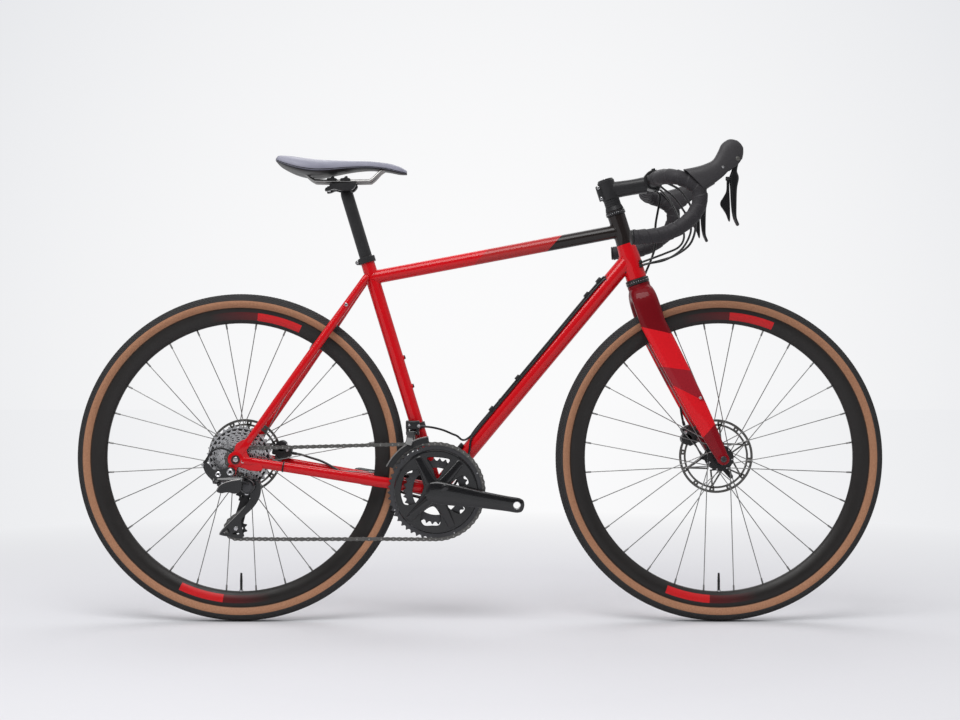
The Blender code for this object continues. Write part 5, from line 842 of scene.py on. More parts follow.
def make_seat_collar():
    shape = Shape()
    shape.turned(BB, SEAT_UP, band(0.0148, 0.0186, 0.508, 0.5208, 0.0008), SATIN)
    back = SEAT_UP.cross(Y_AXIS)
    centre = BB + SEAT_UP * 0.51425 + back * 0.0206
    for side in (-1, 1):
        near, far = centre + Y_AXIS * side * 0.0012, centre + Y_AXIS * side * 0.008
        shape.rod(near, far, 0.0045, SATIN)
        shape.bolt(far, Y_AXIS * side, 0.003, 0.001, STEEL)
    shape.look("seat_collar", "frame", "black_metal")


def make_rear_axle():
    shape = Shape()
    shape.rod(REAR_AXLE - Y_AXIS * 0.0786, REAR_AXLE + Y_AXIS * 0.079, 0.006, SATIN)
    shape.bolt(REAR_AXLE - Y_AXIS * 0.0784, -Y_AXIS, 0.0056, 0.0016, STEEL)
    shape.bolt(REAR_AXLE + Y_AXIS * 0.079, Y_AXIS, 0.009, 0.005, SATIN)
    shape.look("rear_thru_axle", "frame", "black_metal")


def make_cup(node, low, height, radius, bore):
    """A headset cup with a ring of small bright notches round it."""
    shape = Shape()
    shape.turned(CROWN, STEER_UP, band(bore, radius, low, low + height, 0.0012), SATIN, 64)
    across, over = side_vectors(STEER_UP, Y_AXIS)
    count = 30
    for i in range(count):
        angle = 2 * math.pi * i / count
        out = across * math.cos(angle) + over * math.sin(angle)
        foot = CROWN + STEER_UP * (low + height / 2) + out * (radius - 0.001)
        shape.rod(foot, foot + out * 0.0013, 0.0009, STEEL, 8)
    shape.look(node, "frame", "black_metal")


# Distance below the crown, distance to its side, half depth and half width of a fork leg
LEG_STATIONS = (
    (0.4085, LEG_Y, 0.0122, 0.0078), (0.355, LEG_Y, 0.0172, 0.008), (0.29, LEG_Y, 0.0215, 0.0082),
    (0.23, 0.055, 0.0238, 0.0092), (0.16, 0.049, 0.0255, 0.0105), (0.1, 0.0428, 0.0262, 0.0118),
    (0.06, 0.0385, 0.0268, 0.0132), (0.037, 0.0345, 0.0266, 0.0145), (0.0255, 0.0262, 0.0258, 0.0166),
    (0.0205, 0.014, 0.025, 0.0186), (0.0195, 0.0, 0.0248, 0.0192),
)


def leg_point(drop):
    """The middle of the fork's legs, which lean forward below their bend."""
    offset = FORK_RAKE * max(0.0, (drop - LEG_BEND) / (FORK_LENGTH - LEG_BEND))
    return CROWN - STEER_UP * drop + STEER_FORWARD * offset


def make_fork():
    """Both legs and the crown as one arch, on a steerer."""
    shape = Shape()
    paint = fork_paint()
    half = between(LEG_STATIONS, 6)
    arch = []
    for side, rows in ((-1, half), (1, half[-2::-1])):
        for drop, y, depth, width in rows:
            arch.append((leg_point(drop) + Y_AXIS * side * y, depth, width))
    shape.beam(arch, paint, 48, hint=STEER_FORWARD, squareness=2.7)
    race = [(0, -0.012), (0.0236, -0.012), (0.0244, -0.003), (0.0244, -0.0008), (0.0236, 0.0), (0.0143, 0.0)]
    shape.turned(CROWN, STEER_UP, race + [(0.0143, 0.231), (0, 0.231)], paint, 48)
    for side in (-1, 1):
        face = FRONT_AXLE + Y_AXIS * side * (LEG_Y + 0.0082)
        shape.rod(FRONT_AXLE + Y_AXIS * side * (LEG_Y - 0.0078), face, 0.0124, paint, 40, 0.001)
        eyelet = Vector((0.4632, side * (LEG_Y + 0.0066), 0.4793))
        shape.rod(eyelet, eyelet + Y_AXIS * side * 0.0022, 0.0044, paint)
        shape.bolt(eyelet + Y_AXIS * side * 0.0022, Y_AXIS * side, 0.003, 0.0006, STEEL)
    shape.look("fork", "steering", "red_paint")


def make_front_axle():
    shape = Shape()
    shape.rod(FRONT_AXLE - Y_AXIS * 0.0664, FRONT_AXLE + Y_AXIS * 0.0668, 0.006, SATIN)
    shape.bolt(FRONT_AXLE - Y_AXIS * 0.0668, -Y_AXIS, 0.0066, 0.003, GREY)
    shape.rod(FRONT_AXLE + Y_AXIS * 0.0668, FRONT_AXLE + Y_AXIS * 0.0758, 0.009, SATIN)
    root = FRONT_AXLE + Y_AXIS * 0.0723
    tip = root + Vector((0.04, 0.01, -0.048))
    middle = root.lerp(tip, 0.5) + Y_AXIS * 0.003
    rows = between([(*root, 0.003, 0.007), (*middle, 0.0034, 0.0062), (*tip, 0.0026, 0.005)], 8)
    shape.beam([(Vector(row[:3]), row[3], row[4]) for row in rows], SATIN, depth=0.004)
    shape.look("front_thru_axle", "steering", "black_metal")


# Wheels

# The tyre's casing outside and inside: radius, and half width or y
CASING = (
    (0.3125, 0.0112), (0.318, 0.0122), (0.3235, 0.0165), (0.33, 0.0193), (0.336, 0.019),
    (0.3415, 0.0163), (0.346, 0.0115), (0.3482, 0.006), (0.3489, 0.0),
)
CASING_INSIDE = [
    (0.3125, -0.0086), (0.324, -0.014), (0.332, -0.0166), (0.34, -0.0132), (0.345, -0.006), (0.346, 0.0),
]
TREAD_ROWS = (0.0, 0.0042, 0.0083, 0.0118, 0.0147, 0.017, 0.0186)
TREAD_COUNT = 312


def casing_at(y):
    """The tread surface's radius at a distance from the tyre's middle, and its outward slope."""
    half = [row for row in between(CASING, 12) if row[0] > 0.3345]
    for (r1, y1), (r2, y2) in zip(half, half[1:]):
        if y2 <= y <= y1:
            share = (y - y2) / max(1e-6, y1 - y2)
            way = Vector((r2 - r1, y2 - y1)).normalized()
            return r2 + (r1 - r2) * share, Vector((-way.y, way.x))
    return half[0][0], Vector((0.0, 1.0))


def tread_block(shape, index, axle, angle, y, size):
    """One small raised block, narrower on top, whose foot is sunk in the casing."""
    radius, out = casing_at(abs(y))
    slope = math.copysign(out.y, y) if y else 0.0
    corners = []
    for rise, share in ((-0.0006, 1.0), (0.0011, 0.72)):
        for u, v in ((-1, -1), (1, -1), (1, 1), (-1, 1)):
            turn = angle + u * size * share / radius
            reach = radius + out.x * rise - v * size * share * slope * 0.5
            across = y + slope * rise + v * size * share * out.x * 0.5
            spoke = Vector((math.cos(turn), 0, math.sin(turn)))
            corners.append(shape.bm.verts.new(axle + spoke * reach + Y_AXIS * across))
    for ring in ((4, 5, 6, 7), (0, 1, 5, 4), (1, 2, 6, 5), (2, 3, 7, 6), (3, 0, 4, 7), (3, 2, 1, 0)):
        shape.face([corners[k] for k in ring], index)


def make_tyre(word, axle):
    shape = Shape()
    finish = tyre_finish(f"tyre_rubber_{word}", axle)
    outside = [tuple(row) for row in between(CASING, 3)]
    shape.turned(axle, Y_AXIS, mirrored(outside) + mirrored(CASING_INSIDE), finish, 192)
    index = shape.index_of(finish)
    for k, y in enumerate(TREAD_ROWS):
        for side in ((-1, 1) if y else (1,)):
            for i in range(TREAD_COUNT):
                angle = 2 * math.pi * (i + 0.5 * (k % 2)) / TREAD_COUNT
                tread_block(shape, index, axle, angle, side * y, 0.0026)
    shape.look(f"{word}_tyre", f"{word}_wheel", "tyre_rubber")


def make_rim(word, axle, first, length):
    shape = Shape()
    finish = rim_finish(f"black_metal_{word}_rim", axle, math.radians(first), math.radians(length))
    outside = [(0.3178, 0.0118), (0.318, 0.0136), (0.3176, 0.014), (0.312, 0.0141), (0.305, 0.0138)]
    outside += [(0.2985, 0.0116), (0.2925, 0.0082), (0.2885, 0.0052), (0.2872, 0.003), (RIM_INNER, 0.0)]
    shape.turned(axle, Y_AXIS, mirrored(outside) + [(0.306, -0.0118), (0.306, 0.0118)], finish, 144)
    shape.look(f"{word}_rim", f"{word}_wheel", "black_metal")


def make_inner_tube(word, axle):
    """The air tube with its valve, which stands up through the rim with a nut and a cap."""
    shape = Shape()
    angles = [2 * math.pi * i / 16 for i in range(16)]
    ring = [(0.332 + 0.009 * math.sin(a), 0.0105 * math.cos(a)) for a in angles]
    shape.turned(axle, Y_AXIS, ring, RUBBER, 64)
    foot = axle - Z_AXIS * 0.327
    shape.rod(foot, axle - Z_AXIS * 0.264, 0.0028, SATIN)
    shape.rod(axle - Z_AXIS * 0.2875, axle - Z_AXIS * 0.284, 0.0044, STEEL)
    shape.rod(axle - Z_AXIS * 0.267, axle - Z_AXIS * 0.2478, 0.003, PLASTIC, far=0.0022)
    shape.look(f"{word}_inner_tube", f"{word}_wheel", "tube_rubber")


SPOKES = 28
RIM_INNER = 0.2868
HUB_END = 0.0095


def spoke_ends(axle, index, left_y, right_y):
    """The hub end and rim end of one spoke, laced in crossing pairs on alternate flanges."""
    spacing = 2 * math.pi / SPOKES
    at_rim = -math.pi / 2 + spacing * (index + 0.5)
    sense = 1 if index % 4 in (0, 1) else -1
    at_hub = at_rim + sense * spacing * 4
    y = -right_y if index % 2 == 0 else left_y
    y += 0.0022 * sense
    hub = axle + Vector((math.cos(at_hub), 0, math.sin(at_hub))) * 0.0245 + Y_AXIS * y
    outward = Vector((math.cos(at_rim), 0, math.sin(at_rim)))
    rim = axle + outward * RIM_INNER + Y_AXIS * math.copysign(0.0015, y)
    return hub, rim


def make_hub(word, axle, right_profile, left_y, right_y, rotor_seat, half_width):
    """The shell with its two flanges, the spokes with their heads and nipples."""
    shape = Shape()
    barrel, flange, thick, spline = 0.015, 0.028, 0.0016, 0.0165
    profile = right_profile + [(barrel, -right_y - 0.0052), (barrel, -right_y - thick)]
    for y, sense in ((-right_y, 1), (left_y, -1)):
        rows = [(flange - 0.0006, y - sense * thick), (flange, y - sense * (thick - 0.0006))]
        rows += [(flange, y + sense * (thick - 0.0006)), (flange - 0.0006, y + sense * thick)]
        rows += [(barrel + 0.002, y + sense * thick * 2), (barrel, y + sense * thick * 4)]
        profile += rows if sense > 0 else rows[::-1]
    profile += [(spline, left_y + thick * 2), (spline, rotor_seat)]
    profile += [(HUB_END, rotor_seat), (HUB_END, half_width)]
    shape.turned(axle, Y_AXIS, profile + [(AXLE_BORE, half_width)], SATIN, 64)
    for index in range(SPOKES):
        hub, rim = spoke_ends(axle, index, left_y, right_y)
        way = (hub - rim).normalized()
        shape.rod(rim - way * 0.002, hub, 0.001, SPOKE_STEEL, 8, 0.0001)
        shape.rod(rim - way * 0.001, rim + way * 0.0115, 0.0019, SPOKE_STEEL, 12)
        shape.pin(hub, Y_AXIS * 0.0016, 0.0018, STEEL, 10)
    shape.look(f"{word}_hub", f"{word}_wheel", "black_metal")


def round_ended(start, start_radius, end, end_radius, heading, steps):
    """An (x, z) loop round two points, with half a circle at each and a heading from one to the other."""
    turns = [180 * k / steps for k in range(steps + 1)]
    loop = [polar(start, start_radius, heading + 90 + turn) for turn in turns]
    return loop + [polar(end, end_radius, heading - 90 + turn) for turn in turns]


def arc_loop(centre, inner, outer, first, last, steps=8):
    """An (x, z) loop of part of a ring, with angles in degrees."""
    angles = [first + (last - first) * i / steps for i in range(steps + 1)]
    loop = [polar(centre, outer, a) for a in angles]
    return loop + [polar(centre, inner, a) for a in reversed(angles)]


def make_rotor(word, axle, y):
    """A slotted brake disc on leaning struts, held to a black star and a notched ring on the hub."""
    shape = Shape()
    half = 0.0009
    holes = [circle(axle, 0.0655, 96)]
    for i in range(12):
        middle = 30 * i + 8
        holes.append(arc_loop(axle, 0.0698, 0.0748, middle - 10.5, middle + 10.5))
        holes.append(circle(around(axle, 0.0722, middle + 15), 0.0016, 12))
    shape.plate(circle(axle, 0.08, 120), y - half, y + half, DARK, holes, 0.0002)
    for i in range(6):
        node = 60 * i + 23
        boss = around(axle, 0.0668, node)
        lobe = [polar(boss, 0.0042, 30 * k) for k in range(12)]
        eye = circle(boss, 0.0018, 12)
        shape.plate(lobe, y - half, y + half, DARK, [eye], 0.0002)
        for lean in (36, -14):
            start, end = around(axle, 0.031, node + lean, y), around(axle, 0.065, node, y)
            shape.slab(start, end, half * 0.8, 0.0019, DARK, squareness=4.0, edge=0.0002)
    star = []
    for i in range(6):
        for lean, radius in ((-14, 0.0345), (-2, 0.0262), (24, 0.0262), (36, 0.0345)):
            star.append(polar(axle, radius, 60 * i + 23 + lean))
    windows = [circle(axle, 0.0168, 48)]
    for i in range(6):
        windows.append(circle(around(axle, 0.0232, 60 * i + 34), 0.0026, 12))
    shape.plate(star, y - 0.0014, y + 0.0014, SATIN, windows, 0.0004)
    for i in range(16):
        at = around(axle, 0.0186, 360 * i / 16, y)
        shape.rod(at + Y_AXIS * 0.001, at + Y_AXIS * 0.003, 0.0015, SATIN, 12)
    shape.look(f"{word}_rotor", f"{word}_wheel", "bright_steel")


def make_wheels():
    for word, axle, first, length in (("rear", REAR_AXLE, 65, 18), ("front", FRONT_AXLE, 68, 18)):
        make_tyre(word, axle)
        make_rim(word, axle, first, length)
        make_inner_tube(word, axle)
    front_end = [(AXLE_BORE, -0.0497), (HUB_END, -0.0497), (HUB_END, -0.0457)]
    make_hub("front", FRONT_AXLE, front_end, 0.024, 0.024, 0.0413, 0.0497)
    rear_end = [(AXLE_BORE, -0.02325), (HUB_END, -0.02325)]
    make_hub("rear", REAR_AXLE, rear_end, 0.033, 0.017, 0.0558, 0.0707)
    make_rotor("front", FRONT_AXLE, FRONT_ROTOR_Y)
    make_rotor("rear", REAR_AXLE, REAR_ROTOR_Y)


def make_frame():
    make_head_tube()
    make_top_tube()
    make_down_tube()
    make_seat_tube()
    make_chainstay("right", -1)
    make_chainstay("left", 1)
    make_seatstays()
    make_seat_collar()
    make_rear_axle()
    make_cup("headset_lower", 0.0003, 0.0118, 0.025, 0.0152)
    make_cup("headset_upper", HEAD_HIGH + 0.0003, 0.009, 0.021, 0.0152)


# Cockpit

STEM_LOOK = CROWN + STEER_UP * 0.211
STEM_ALONG = (BAR_CENTRE - STEM_LOOK).normalized()
STEM_OVER = Vector((-STEM_ALONG.z, 0, STEM_ALONG.x))
STEM_HEADING = math.degrees(math.atan2(STEM_ALONG.z, STEM_ALONG.x))
CLAMP_LOW, CLAMP_HIGH = 0.1905, 0.2325
CLAMP_BORE = 0.0161
CLAMP_OUTER = 0.0209
CLAMP_HALF = 0.021
SPACER_RADIUS = 0.0172
BAR_RADIUS = 0.0119
BAR_REACH = 0.071
HOOD_Y = 0.211

# Distance along the stem, half width and half height
STEM_STATIONS = (
    (0.01, 0.015, 0.0178), (0.03, 0.0155, 0.017), (0.055, 0.0165, 0.0166), (0.08, 0.0186, 0.0176),
)


def make_spacers():
    """The cone over the upper cup, and three spacers above it."""
    shape = Shape()
    bore = 0.0147
    cone = [
        (bore, 0.1656), (0.0194, 0.1656), (0.02, 0.1662), (0.0178, 0.1752),
        (SPACER_RADIUS, 0.1756), (bore, 0.1756),
    ]
    shape.turned(CROWN, STEER_UP, cone, SATIN)
    for low, high in ((0.1757, 0.1806), (0.1807, 0.1856), (0.1857, CLAMP_LOW - 0.0001)):
        shape.turned(CROWN, STEER_UP, band(bore, SPACER_RADIUS, low, high, 0.0005), SATIN)
    shape.look("headset_spacers", "steering", "black_metal")


def make_stem():
    shape = Shape()
    shape.turned(CROWN, STEER_UP, band(0, 0.0184, CLAMP_LOW, CLAMP_HIGH, 0.001), SATIN, 64)
    cap = ((0, 0.0), (0.0168, 0.0), (0.0168, 0.0018), (0.015, 0.0034), (0, 0.0034))
    shape.turned(CROWN, STEER_UP, [(radius, CLAMP_HIGH + rise) for radius, rise in cap], SATIN)
    shape.bolt(CROWN + STEER_UP * (CLAMP_HIGH + 0.003), STEER_UP, 0.0042, 0.0022, STEEL)
    span = (BAR_CENTRE - STEM_LOOK).length
    rows = []
    for s, width, height in between(STEM_STATIONS, 6):
        point = STEM_LOOK + STEM_ALONG * min(s, span - 0.0172) - STEM_OVER * (0.0008 + 0.055 * s)
        rows.append((point, width, height))
    shape.beam(rows, SATIN, 48, squareness=2.8)
    back = -STEER_FORWARD
    for side in (-1, 1):
        ear = CROWN + STEER_UP * (CLAMP_LOW + 0.02) + Y_AXIS * side * 0.006
        shape.slab(ear + back * 0.014, ear + back * 0.024, 0.0042, 0.0165, SATIN)
    for height in (0.2225, 0.1985):
        foot = CROWN + STEER_UP * height + back * 0.0198
        shape.bolt(foot - Y_AXIS * 0.0098, -Y_AXIS, 0.0036, 0.0022, STEEL)
        shape.rod(foot + Y_AXIS * 0.0098, foot + Y_AXIS * 0.0112, 0.0034, STEEL)
    rear = arc_loop(BAR_CENTRE, CLAMP_BORE, CLAMP_OUTER, STEM_HEADING + 92, STEM_HEADING + 268, 24)
    shape.plate(rear, -CLAMP_HALF, CLAMP_HALF, SATIN, edge=0.0006)
    shape.look("stem", "steering", "black_metal")


def make_faceplate():
    shape = Shape()
    strips = ((-CLAMP_HALF, -0.008, CLAMP_OUTER), (-0.008, 0.008, 0.0188), (0.008, CLAMP_HALF, CLAMP_OUTER))
    for low, high, outer in strips:
        loop = arc_loop(BAR_CENTRE, CLAMP_BORE, outer, STEM_HEADING - 88, STEM_HEADING + 88, 24)
        shape.plate(loop, low, high, SATIN, edge=0.0006)
    for up in (-1, 1):
        for side in (-1, 1):
            at = BAR_CENTRE + STEM_OVER * up * 0.02 + Y_AXIS * side * 0.0145
            shape.slab(at + STEM_ALONG * 0.0006, at + STEM_ALONG * 0.008, 0.0052, 0.0046, SATIN)
            shape.bolt(at + STEM_ALONG * 0.008, STEM_ALONG, 0.0036, 0.003, STEEL)
    shape.look("stem_faceplate", "steering", "black_metal")


# Shares of the bar's reach, flare and drop, from its open end up
BAR_SHAPE = (
    (-0.91, 1.0, 1.0), (-0.48, 0.84, 0.986), (-0.07, 0.72, 0.953), (0.3, 0.56, 0.881),
    (0.58, 0.44, 0.784), (0.8, 0.33, 0.676), (0.96, 0.17, 0.532), (1.0, 0.06, 0.388), (0.92, 0.0, 0.272),
    (0.65, -0.11, 0.172), (0.32, -0.44, 0.11), (0.1, -1.72, 0.085),
)


def bar_path(side, steps=10):
    """One half of the bar, from its open end to the tape's end beside the stem."""
    path = []
    for forward, outward, down in BAR_SHAPE:
        y = side * (HOOD_Y + 0.018 * outward)
        path.append(BAR_CENTRE + Vector((BAR_REACH * forward, y, -0.139 * down)))
    for y, edge_shade in ((0.139, 0.0085), (0.058, 0.0022)):
        path.append(BAR_CENTRE + Y_AXIS * side * y - Z_AXIS * edge_shade)
    return between(path, steps)


def make_handlebar():
    shape = Shape()
    inner = BAR_CENTRE - Y_AXIS * 0.057 - Z_AXIS * 0.001
    profile = [(0, 0), (BAR_RADIUS, 0.0), (BAR_RADIUS, 0.012)]
    profile += [(0.0134, 0.022), (0.0157, 0.031), (0.0159, 0.036)]
    shape.turned(inner, Y_AXIS, mirrored(profile, 0.057), SATIN)
    for side in (-1, 1):
        path = bar_path(side)
        shape.tube(path, BAR_RADIUS, SATIN, 20)
        end = (path[0] - path[1]).normalized()
        shape.rod(path[0] + end * 0.001, path[0] + end * 0.005, 0.015, PLASTIC, edge=0.0012)
    shape.look("handlebar", "steering", "black_metal")


def tape_finish():
    finish = Finish("bar_tape_look")
    return finish.done(
        (0.028, 0.026, 0.029), 0.6, grain=0.25, grain_scale=420.0, bump=0.00022, bump_scale=520.0
    )


def make_bar_tape(word, side, finish):
    """Tape wound round the bar, each turn lapping over the one before."""
    shape = Shape()
    path = bar_path(side, 26)
    sides, pitch, lap, wall = 36, 0.021, 0.0014, 0.0027
    length = sum((b - a).length for a, b in zip(path, path[1:]))
    rings = []
    travelled = 0.0
    hint = Y_AXIS
    for i, (point, along) in enumerate(zip(path, tangents(path))):
        if i:
            travelled += (point - path[i - 1]).length
        hint, over = side_vectors(along, hint)
        ring = []
        for k in range(sides):
            share = k / sides
            rise = (travelled / pitch + side * share) % 1.0
            ridge = lap * min(rise * 1.1, (1 - rise) * 9.0)
            if length - travelled < 0.075:
                ridge = 0.0006 + 0.0008 * math.sin(2 * math.pi * travelled / 0.0075)
            angle = 2 * math.pi * share
            out = hint * math.cos(angle) + over * math.sin(angle)
            ring.append(point + out * (BAR_RADIUS + wall + ridge))
        rings.append(ring)
    first, last = ((path[near] - path[far]).normalized() for near, far in ((0, 1), (-1, -2)))
    steps = ((0.9, 0.0008), (0.76, 0.001))
    start, end = closing(rings[0], path[0], first, steps), closing(rings[-1], path[-1], last, steps)
    shape.skin(start[::-1] + rings + end, finish)
    shape.look(f"bar_tape_{word}", "steering", "bar_tape")


def at_hood(side, x, y, z):
    """A point given in millimetres forward of, outside and above the front of the bar's bend."""
    origin = BAR_CENTRE + Vector((BAR_REACH, 0, 0))
    return origin + Vector((x / 1000, side * (HOOD_Y + y / 1000), z / 1000))


# The hood's top X and Z, its bottom X and Z, and its half width, in mm
HOOD_SECTIONS = (
    (-33, -1, 9, -44, 18.5), (-12, 3, 21, -36, 18.8), (9, 9, 34, -28, 18.0), (26, 18, 47, -18, 16.5),
    (36, 34, 60, -6, 15.5), (44, 50, 74, 4, 14.5), (58, 59, 83, 15, 13.0), (72, 57.5, 86.5, 28, 10.0),
    (80, 52, 87, 36, 6.5), (84, 47, 87, 41, 3.0),
)
LEVER_PIVOT = (74.0, 0.0, 19.0)
SWEEP_TILT = math.radians(40)

# The blade's X and Z, its half depth and half width, in mm
BLADE_SECTIONS = (
    (73.0, 14.0, 5.0, 6.0), (69.0, -4.0, 5.6, 6.2), (68.5, -18.0, 9.6, 6.8), (67.5, -40.0, 7.0, 7.4),
    (68.0, -76.0, 5.4, 7.4), (70.0, -98.0, 3.8, 7.0), (75.5, -112.0, 3.4, 5.6),
)

# The paddle's outline below its pivot, in mm
PADDLE_OUTLINE = (
    (-1.5, 0), (-1.0, -22), (0.0, -44), (0.5, -66), (0.3, -84), (-2.5, -85), (-7.0, -73), (-13.0, -63),
    (-18.5, -54), (-18.5, -46), (-13.0, -37), (-7.0, -24), (-6.0, 0),
)


def hood_finish():
    finish = Finish("hood_rubber_look")
    return finish.done((0.042, 0.04, 0.043), 0.52, grain=0.12, bump=0.00012, bump_scale=900.0)


def carve(target, **helpers):
    """Cuts helper shapes out of a piece, and takes them away again."""
    cutters = [shape.done(name) for name, shape in helpers.items()]
    for cutter in cutters:
        change = target.modifiers.new(cutter.name, "BOOLEAN")
        change.operation = "DIFFERENCE"
        change.solver = "EXACT"
        change.object = cutter
    bpy.context.view_layer.update()
    view = bpy.context.evaluated_depsgraph_get()
    mesh = bpy.data.meshes.new_from_object(target.evaluated_get(view))
    target.modifiers.clear()
    target.data = mesh
    mesh.shade_smooth()
    mesh.set_sharp_from_angle(angle=SHARP_EDGE)
    for cutter in cutters:
        bpy.data.objects.remove(cutter)


def make_shifter(word, side, finish):
    """The rubber hood over the bar's bend, open below where the blade and paddle come in."""
    shape = Shape()
    rings = []
    for top_x, top_z, low_x, low_z, half_width in between(HOOD_SECTIONS, 6):
        top, low = at_hood(side, top_x, 0, top_z), at_hood(side, low_x, 0, low_z)
        over = top - low
        direction = Vector((over.z, 0, -over.x))
        rings.append(oval(top.lerp(low, 0.5), direction, Y_AXIS, half_width / 1000, over.length / 2, 48, 2.5))
    shape.skin(rings, finish)
    hood = shape.done(f"shifter_{word}_look")
    boss, throat, swing = Shape(), Shape(), Shape()
    pivot = at_hood(side, *LEVER_PIVOT)
    boss.pin(pivot, Y_AXIS * 0.007, 0.0088, finish)
    top = pivot - X_AXIS * 0.002
    throat.slab(top - Z_AXIS * 0.044, top, 0.007, 0.015, finish, squareness=9.0)
    middle = pivot + Vector((-0.03, 0, -0.036))
    sweep = Vector((math.cos(SWEEP_TILT), 0, math.sin(SWEEP_TILT))) * 0.02
    swing.slab(middle - sweep, middle + sweep, 0.0096, 0.0113, finish, squareness=9.0)
    carve(hood, boss_space=boss, throat=throat, sweep_space=swing)
    placed(hood, "steering", "hood_rubber", f"shifter_{word}")
    trim = Shape()
    trim.pin(pivot, Y_AXIS * 0.0136, 0.0044, DARK)
    dot = at_hood(side, 43.9, 14.9, 1.9)
    trim.rod(dot - Y_AXIS * side * 0.002, dot + Y_AXIS * side * 0.0012, 0.0026, STEEL)
    trim.done(f"shifter_{word}_trim", "steering", "black_metal")


def make_brake_lever(word, side):
    shape = Shape()
    blade = between(BLADE_SECTIONS, 8)
    rows = [(at_hood(side, x, 0, z), width / 1000, depth / 1000) for x, z, depth, width in blade]
    shape.beam(rows, GLOSS, 32, squareness=2.6, depth=0.003)
    pivot = at_hood(side, *LEVER_PIVOT)
    shape.pin(pivot, Y_AXIS * 0.0062, 0.0074, SATIN)
    shape.look(f"brake_lever_{word}", f"brake_lever_{word}", "black_metal")


def make_paddle(word, side):
    shape = Shape()
    pivot = at_hood(side, 59.9, 0, -20)
    shape.rod(pivot, pivot - X_AXIS * 0.008, 0.0042, SATIN)
    loop = [(pivot.x + x / 1000, pivot.z + z / 1000) for x, z in PADDLE_OUTLINE]
    shape.plate(closed_curve(loop, 5), pivot.y - 0.0025, pivot.y + 0.0025, GLOSS, edge=0.001)
    shape.look(f"shift_paddle_{word}", f"shift_paddle_{word}", "black_metal")


def make_cockpit():
    make_spacers()
    make_stem()
    make_faceplate()
    make_handlebar()
    tape, rubber = tape_finish(), hood_finish()
    for word, side in (("right", -1), ("left", 1)):
        make_bar_tape(word, side, tape)
        make_shifter(word, side, rubber)
        make_brake_lever(word, side)
        make_paddle(word, side)


# Seat

RAIL_HEIGHT = TILT_AXIS.z + 0.0084
SADDLE_TOP = TILT_AXIS.z + 0.0624
SADDLE_HALF_WIDTH = 0.0715

# The nose is closed from this ring, counted from its tip, so that the cap lies sunk in it
NOSE_SINK = 4

# Distance forward, fall below the top, depth, and share of the full width
SADDLE_SECTIONS = (
    (-0.1415, 0.003, 0.012, 0.5), (-0.134, 0.0, 0.022, 0.8), (-0.108, 0.002, 0.033, 0.97),
    (-0.082, 0.006, 0.036, 1.0), (-0.056, 0.009, 0.035, 0.91), (-0.028, 0.01, 0.03, 0.7),
    (0.016, 0.0105, 0.022, 0.48), (0.056, 0.0105, 0.019, 0.36), (0.092, 0.014, 0.019, 0.29),
    (0.118, 0.021, 0.017, 0.23), (0.134, 0.03, 0.009, 0.12),
)


def make_seatpost():
    shape = Shape()
    profile = [(0, 0.3905), (0.013, 0.3905), (0.0136, 0.3912), (0.0136, 0.658)]
    head = ((0.0136, 0.658), (0.013, 0.664), (0.0108, 0.67), (0.0088, 0.675))
    profile += [tuple(row) for row in between(head, 4)]
    shape.turned(BB, SEAT_UP, profile + [(0, 0.675)], SATIN, 64)
    shape.pin(TILT_AXIS, Y_AXIS * 0.0149, 0.011, SATIN, 40, 0.001)
    ear = TILT_AXIS + Vector((-0.01, 0, -0.004))
    shape.slab(ear, ear + Vector((-0.026, 0, -0.001)), 0.0075, 0.0042, SATIN)
    foot = ear + Vector((-0.0225, 0, -0.0055))
    shape.bolt(foot, -Z_AXIS, 0.0038, 0.003, STEEL)
    shape.look("seatpost", "seatpost", "black_metal")


# The clamp's lower cradle and its two yokes, forward and up from the tilt axis
CRADLE_OUTLINE = (
    (-0.0385, -0.0135), (-0.0375, -0.007), (-0.03, -0.004), (-0.024, 0.003), (0.016, 0.0045),
    (0.024, 0.0055), (0.027, 0.001), (0.0235, -0.006), (0.015, -0.012), (-0.005, -0.0125),
    (-0.02, -0.009), (-0.03, -0.0125),
)
YOKE_PLACES = (-0.024, 0.0046)
YOKE_OUTLINE = (
    (-0.01, 0.0098), (-0.0095, 0.0135), (-0.003, 0.0145), (-0.0005, 0.0176), (0.004, 0.018),
    (0.0045, 0.0145), (0.009, 0.0135), (0.0095, 0.0098),
)


def make_saddle_clamp():
    """Cradles under the rails, and yokes that two bolts pull down over them."""
    shape = Shape()
    for side in (-1, 1):
        low, high = sorted((side * 0.0162, side * 0.0294))
        cradle = [(TILT_AXIS.x + x, TILT_AXIS.z + z) for x, z in CRADLE_OUTLINE]
        shape.plate(closed_curve(cradle, 3), low, high, SATIN, edge=0.001)
        for x0 in YOKE_PLACES:
            yoke = [(TILT_AXIS.x + x0 + x, TILT_AXIS.z + z) for x, z in YOKE_OUTLINE]
            shape.plate(closed_curve(yoke, 2), low, high, SATIN, edge=0.0008)
    for x in YOKE_PLACES:
        at = TILT_AXIS + Vector((x, 0, 0.0128))
        shape.slab(at - Y_AXIS * 0.02, at + Y_AXIS * 0.02, 0.005, 0.002, SATIN, hint=X_AXIS)
        shape.bolt(at + Z_AXIS * 0.0018, Z_AXIS, 0.004, 0.0022, STEEL)
    shape.look("saddle_clamp", "saddle_clamp", "black_metal")


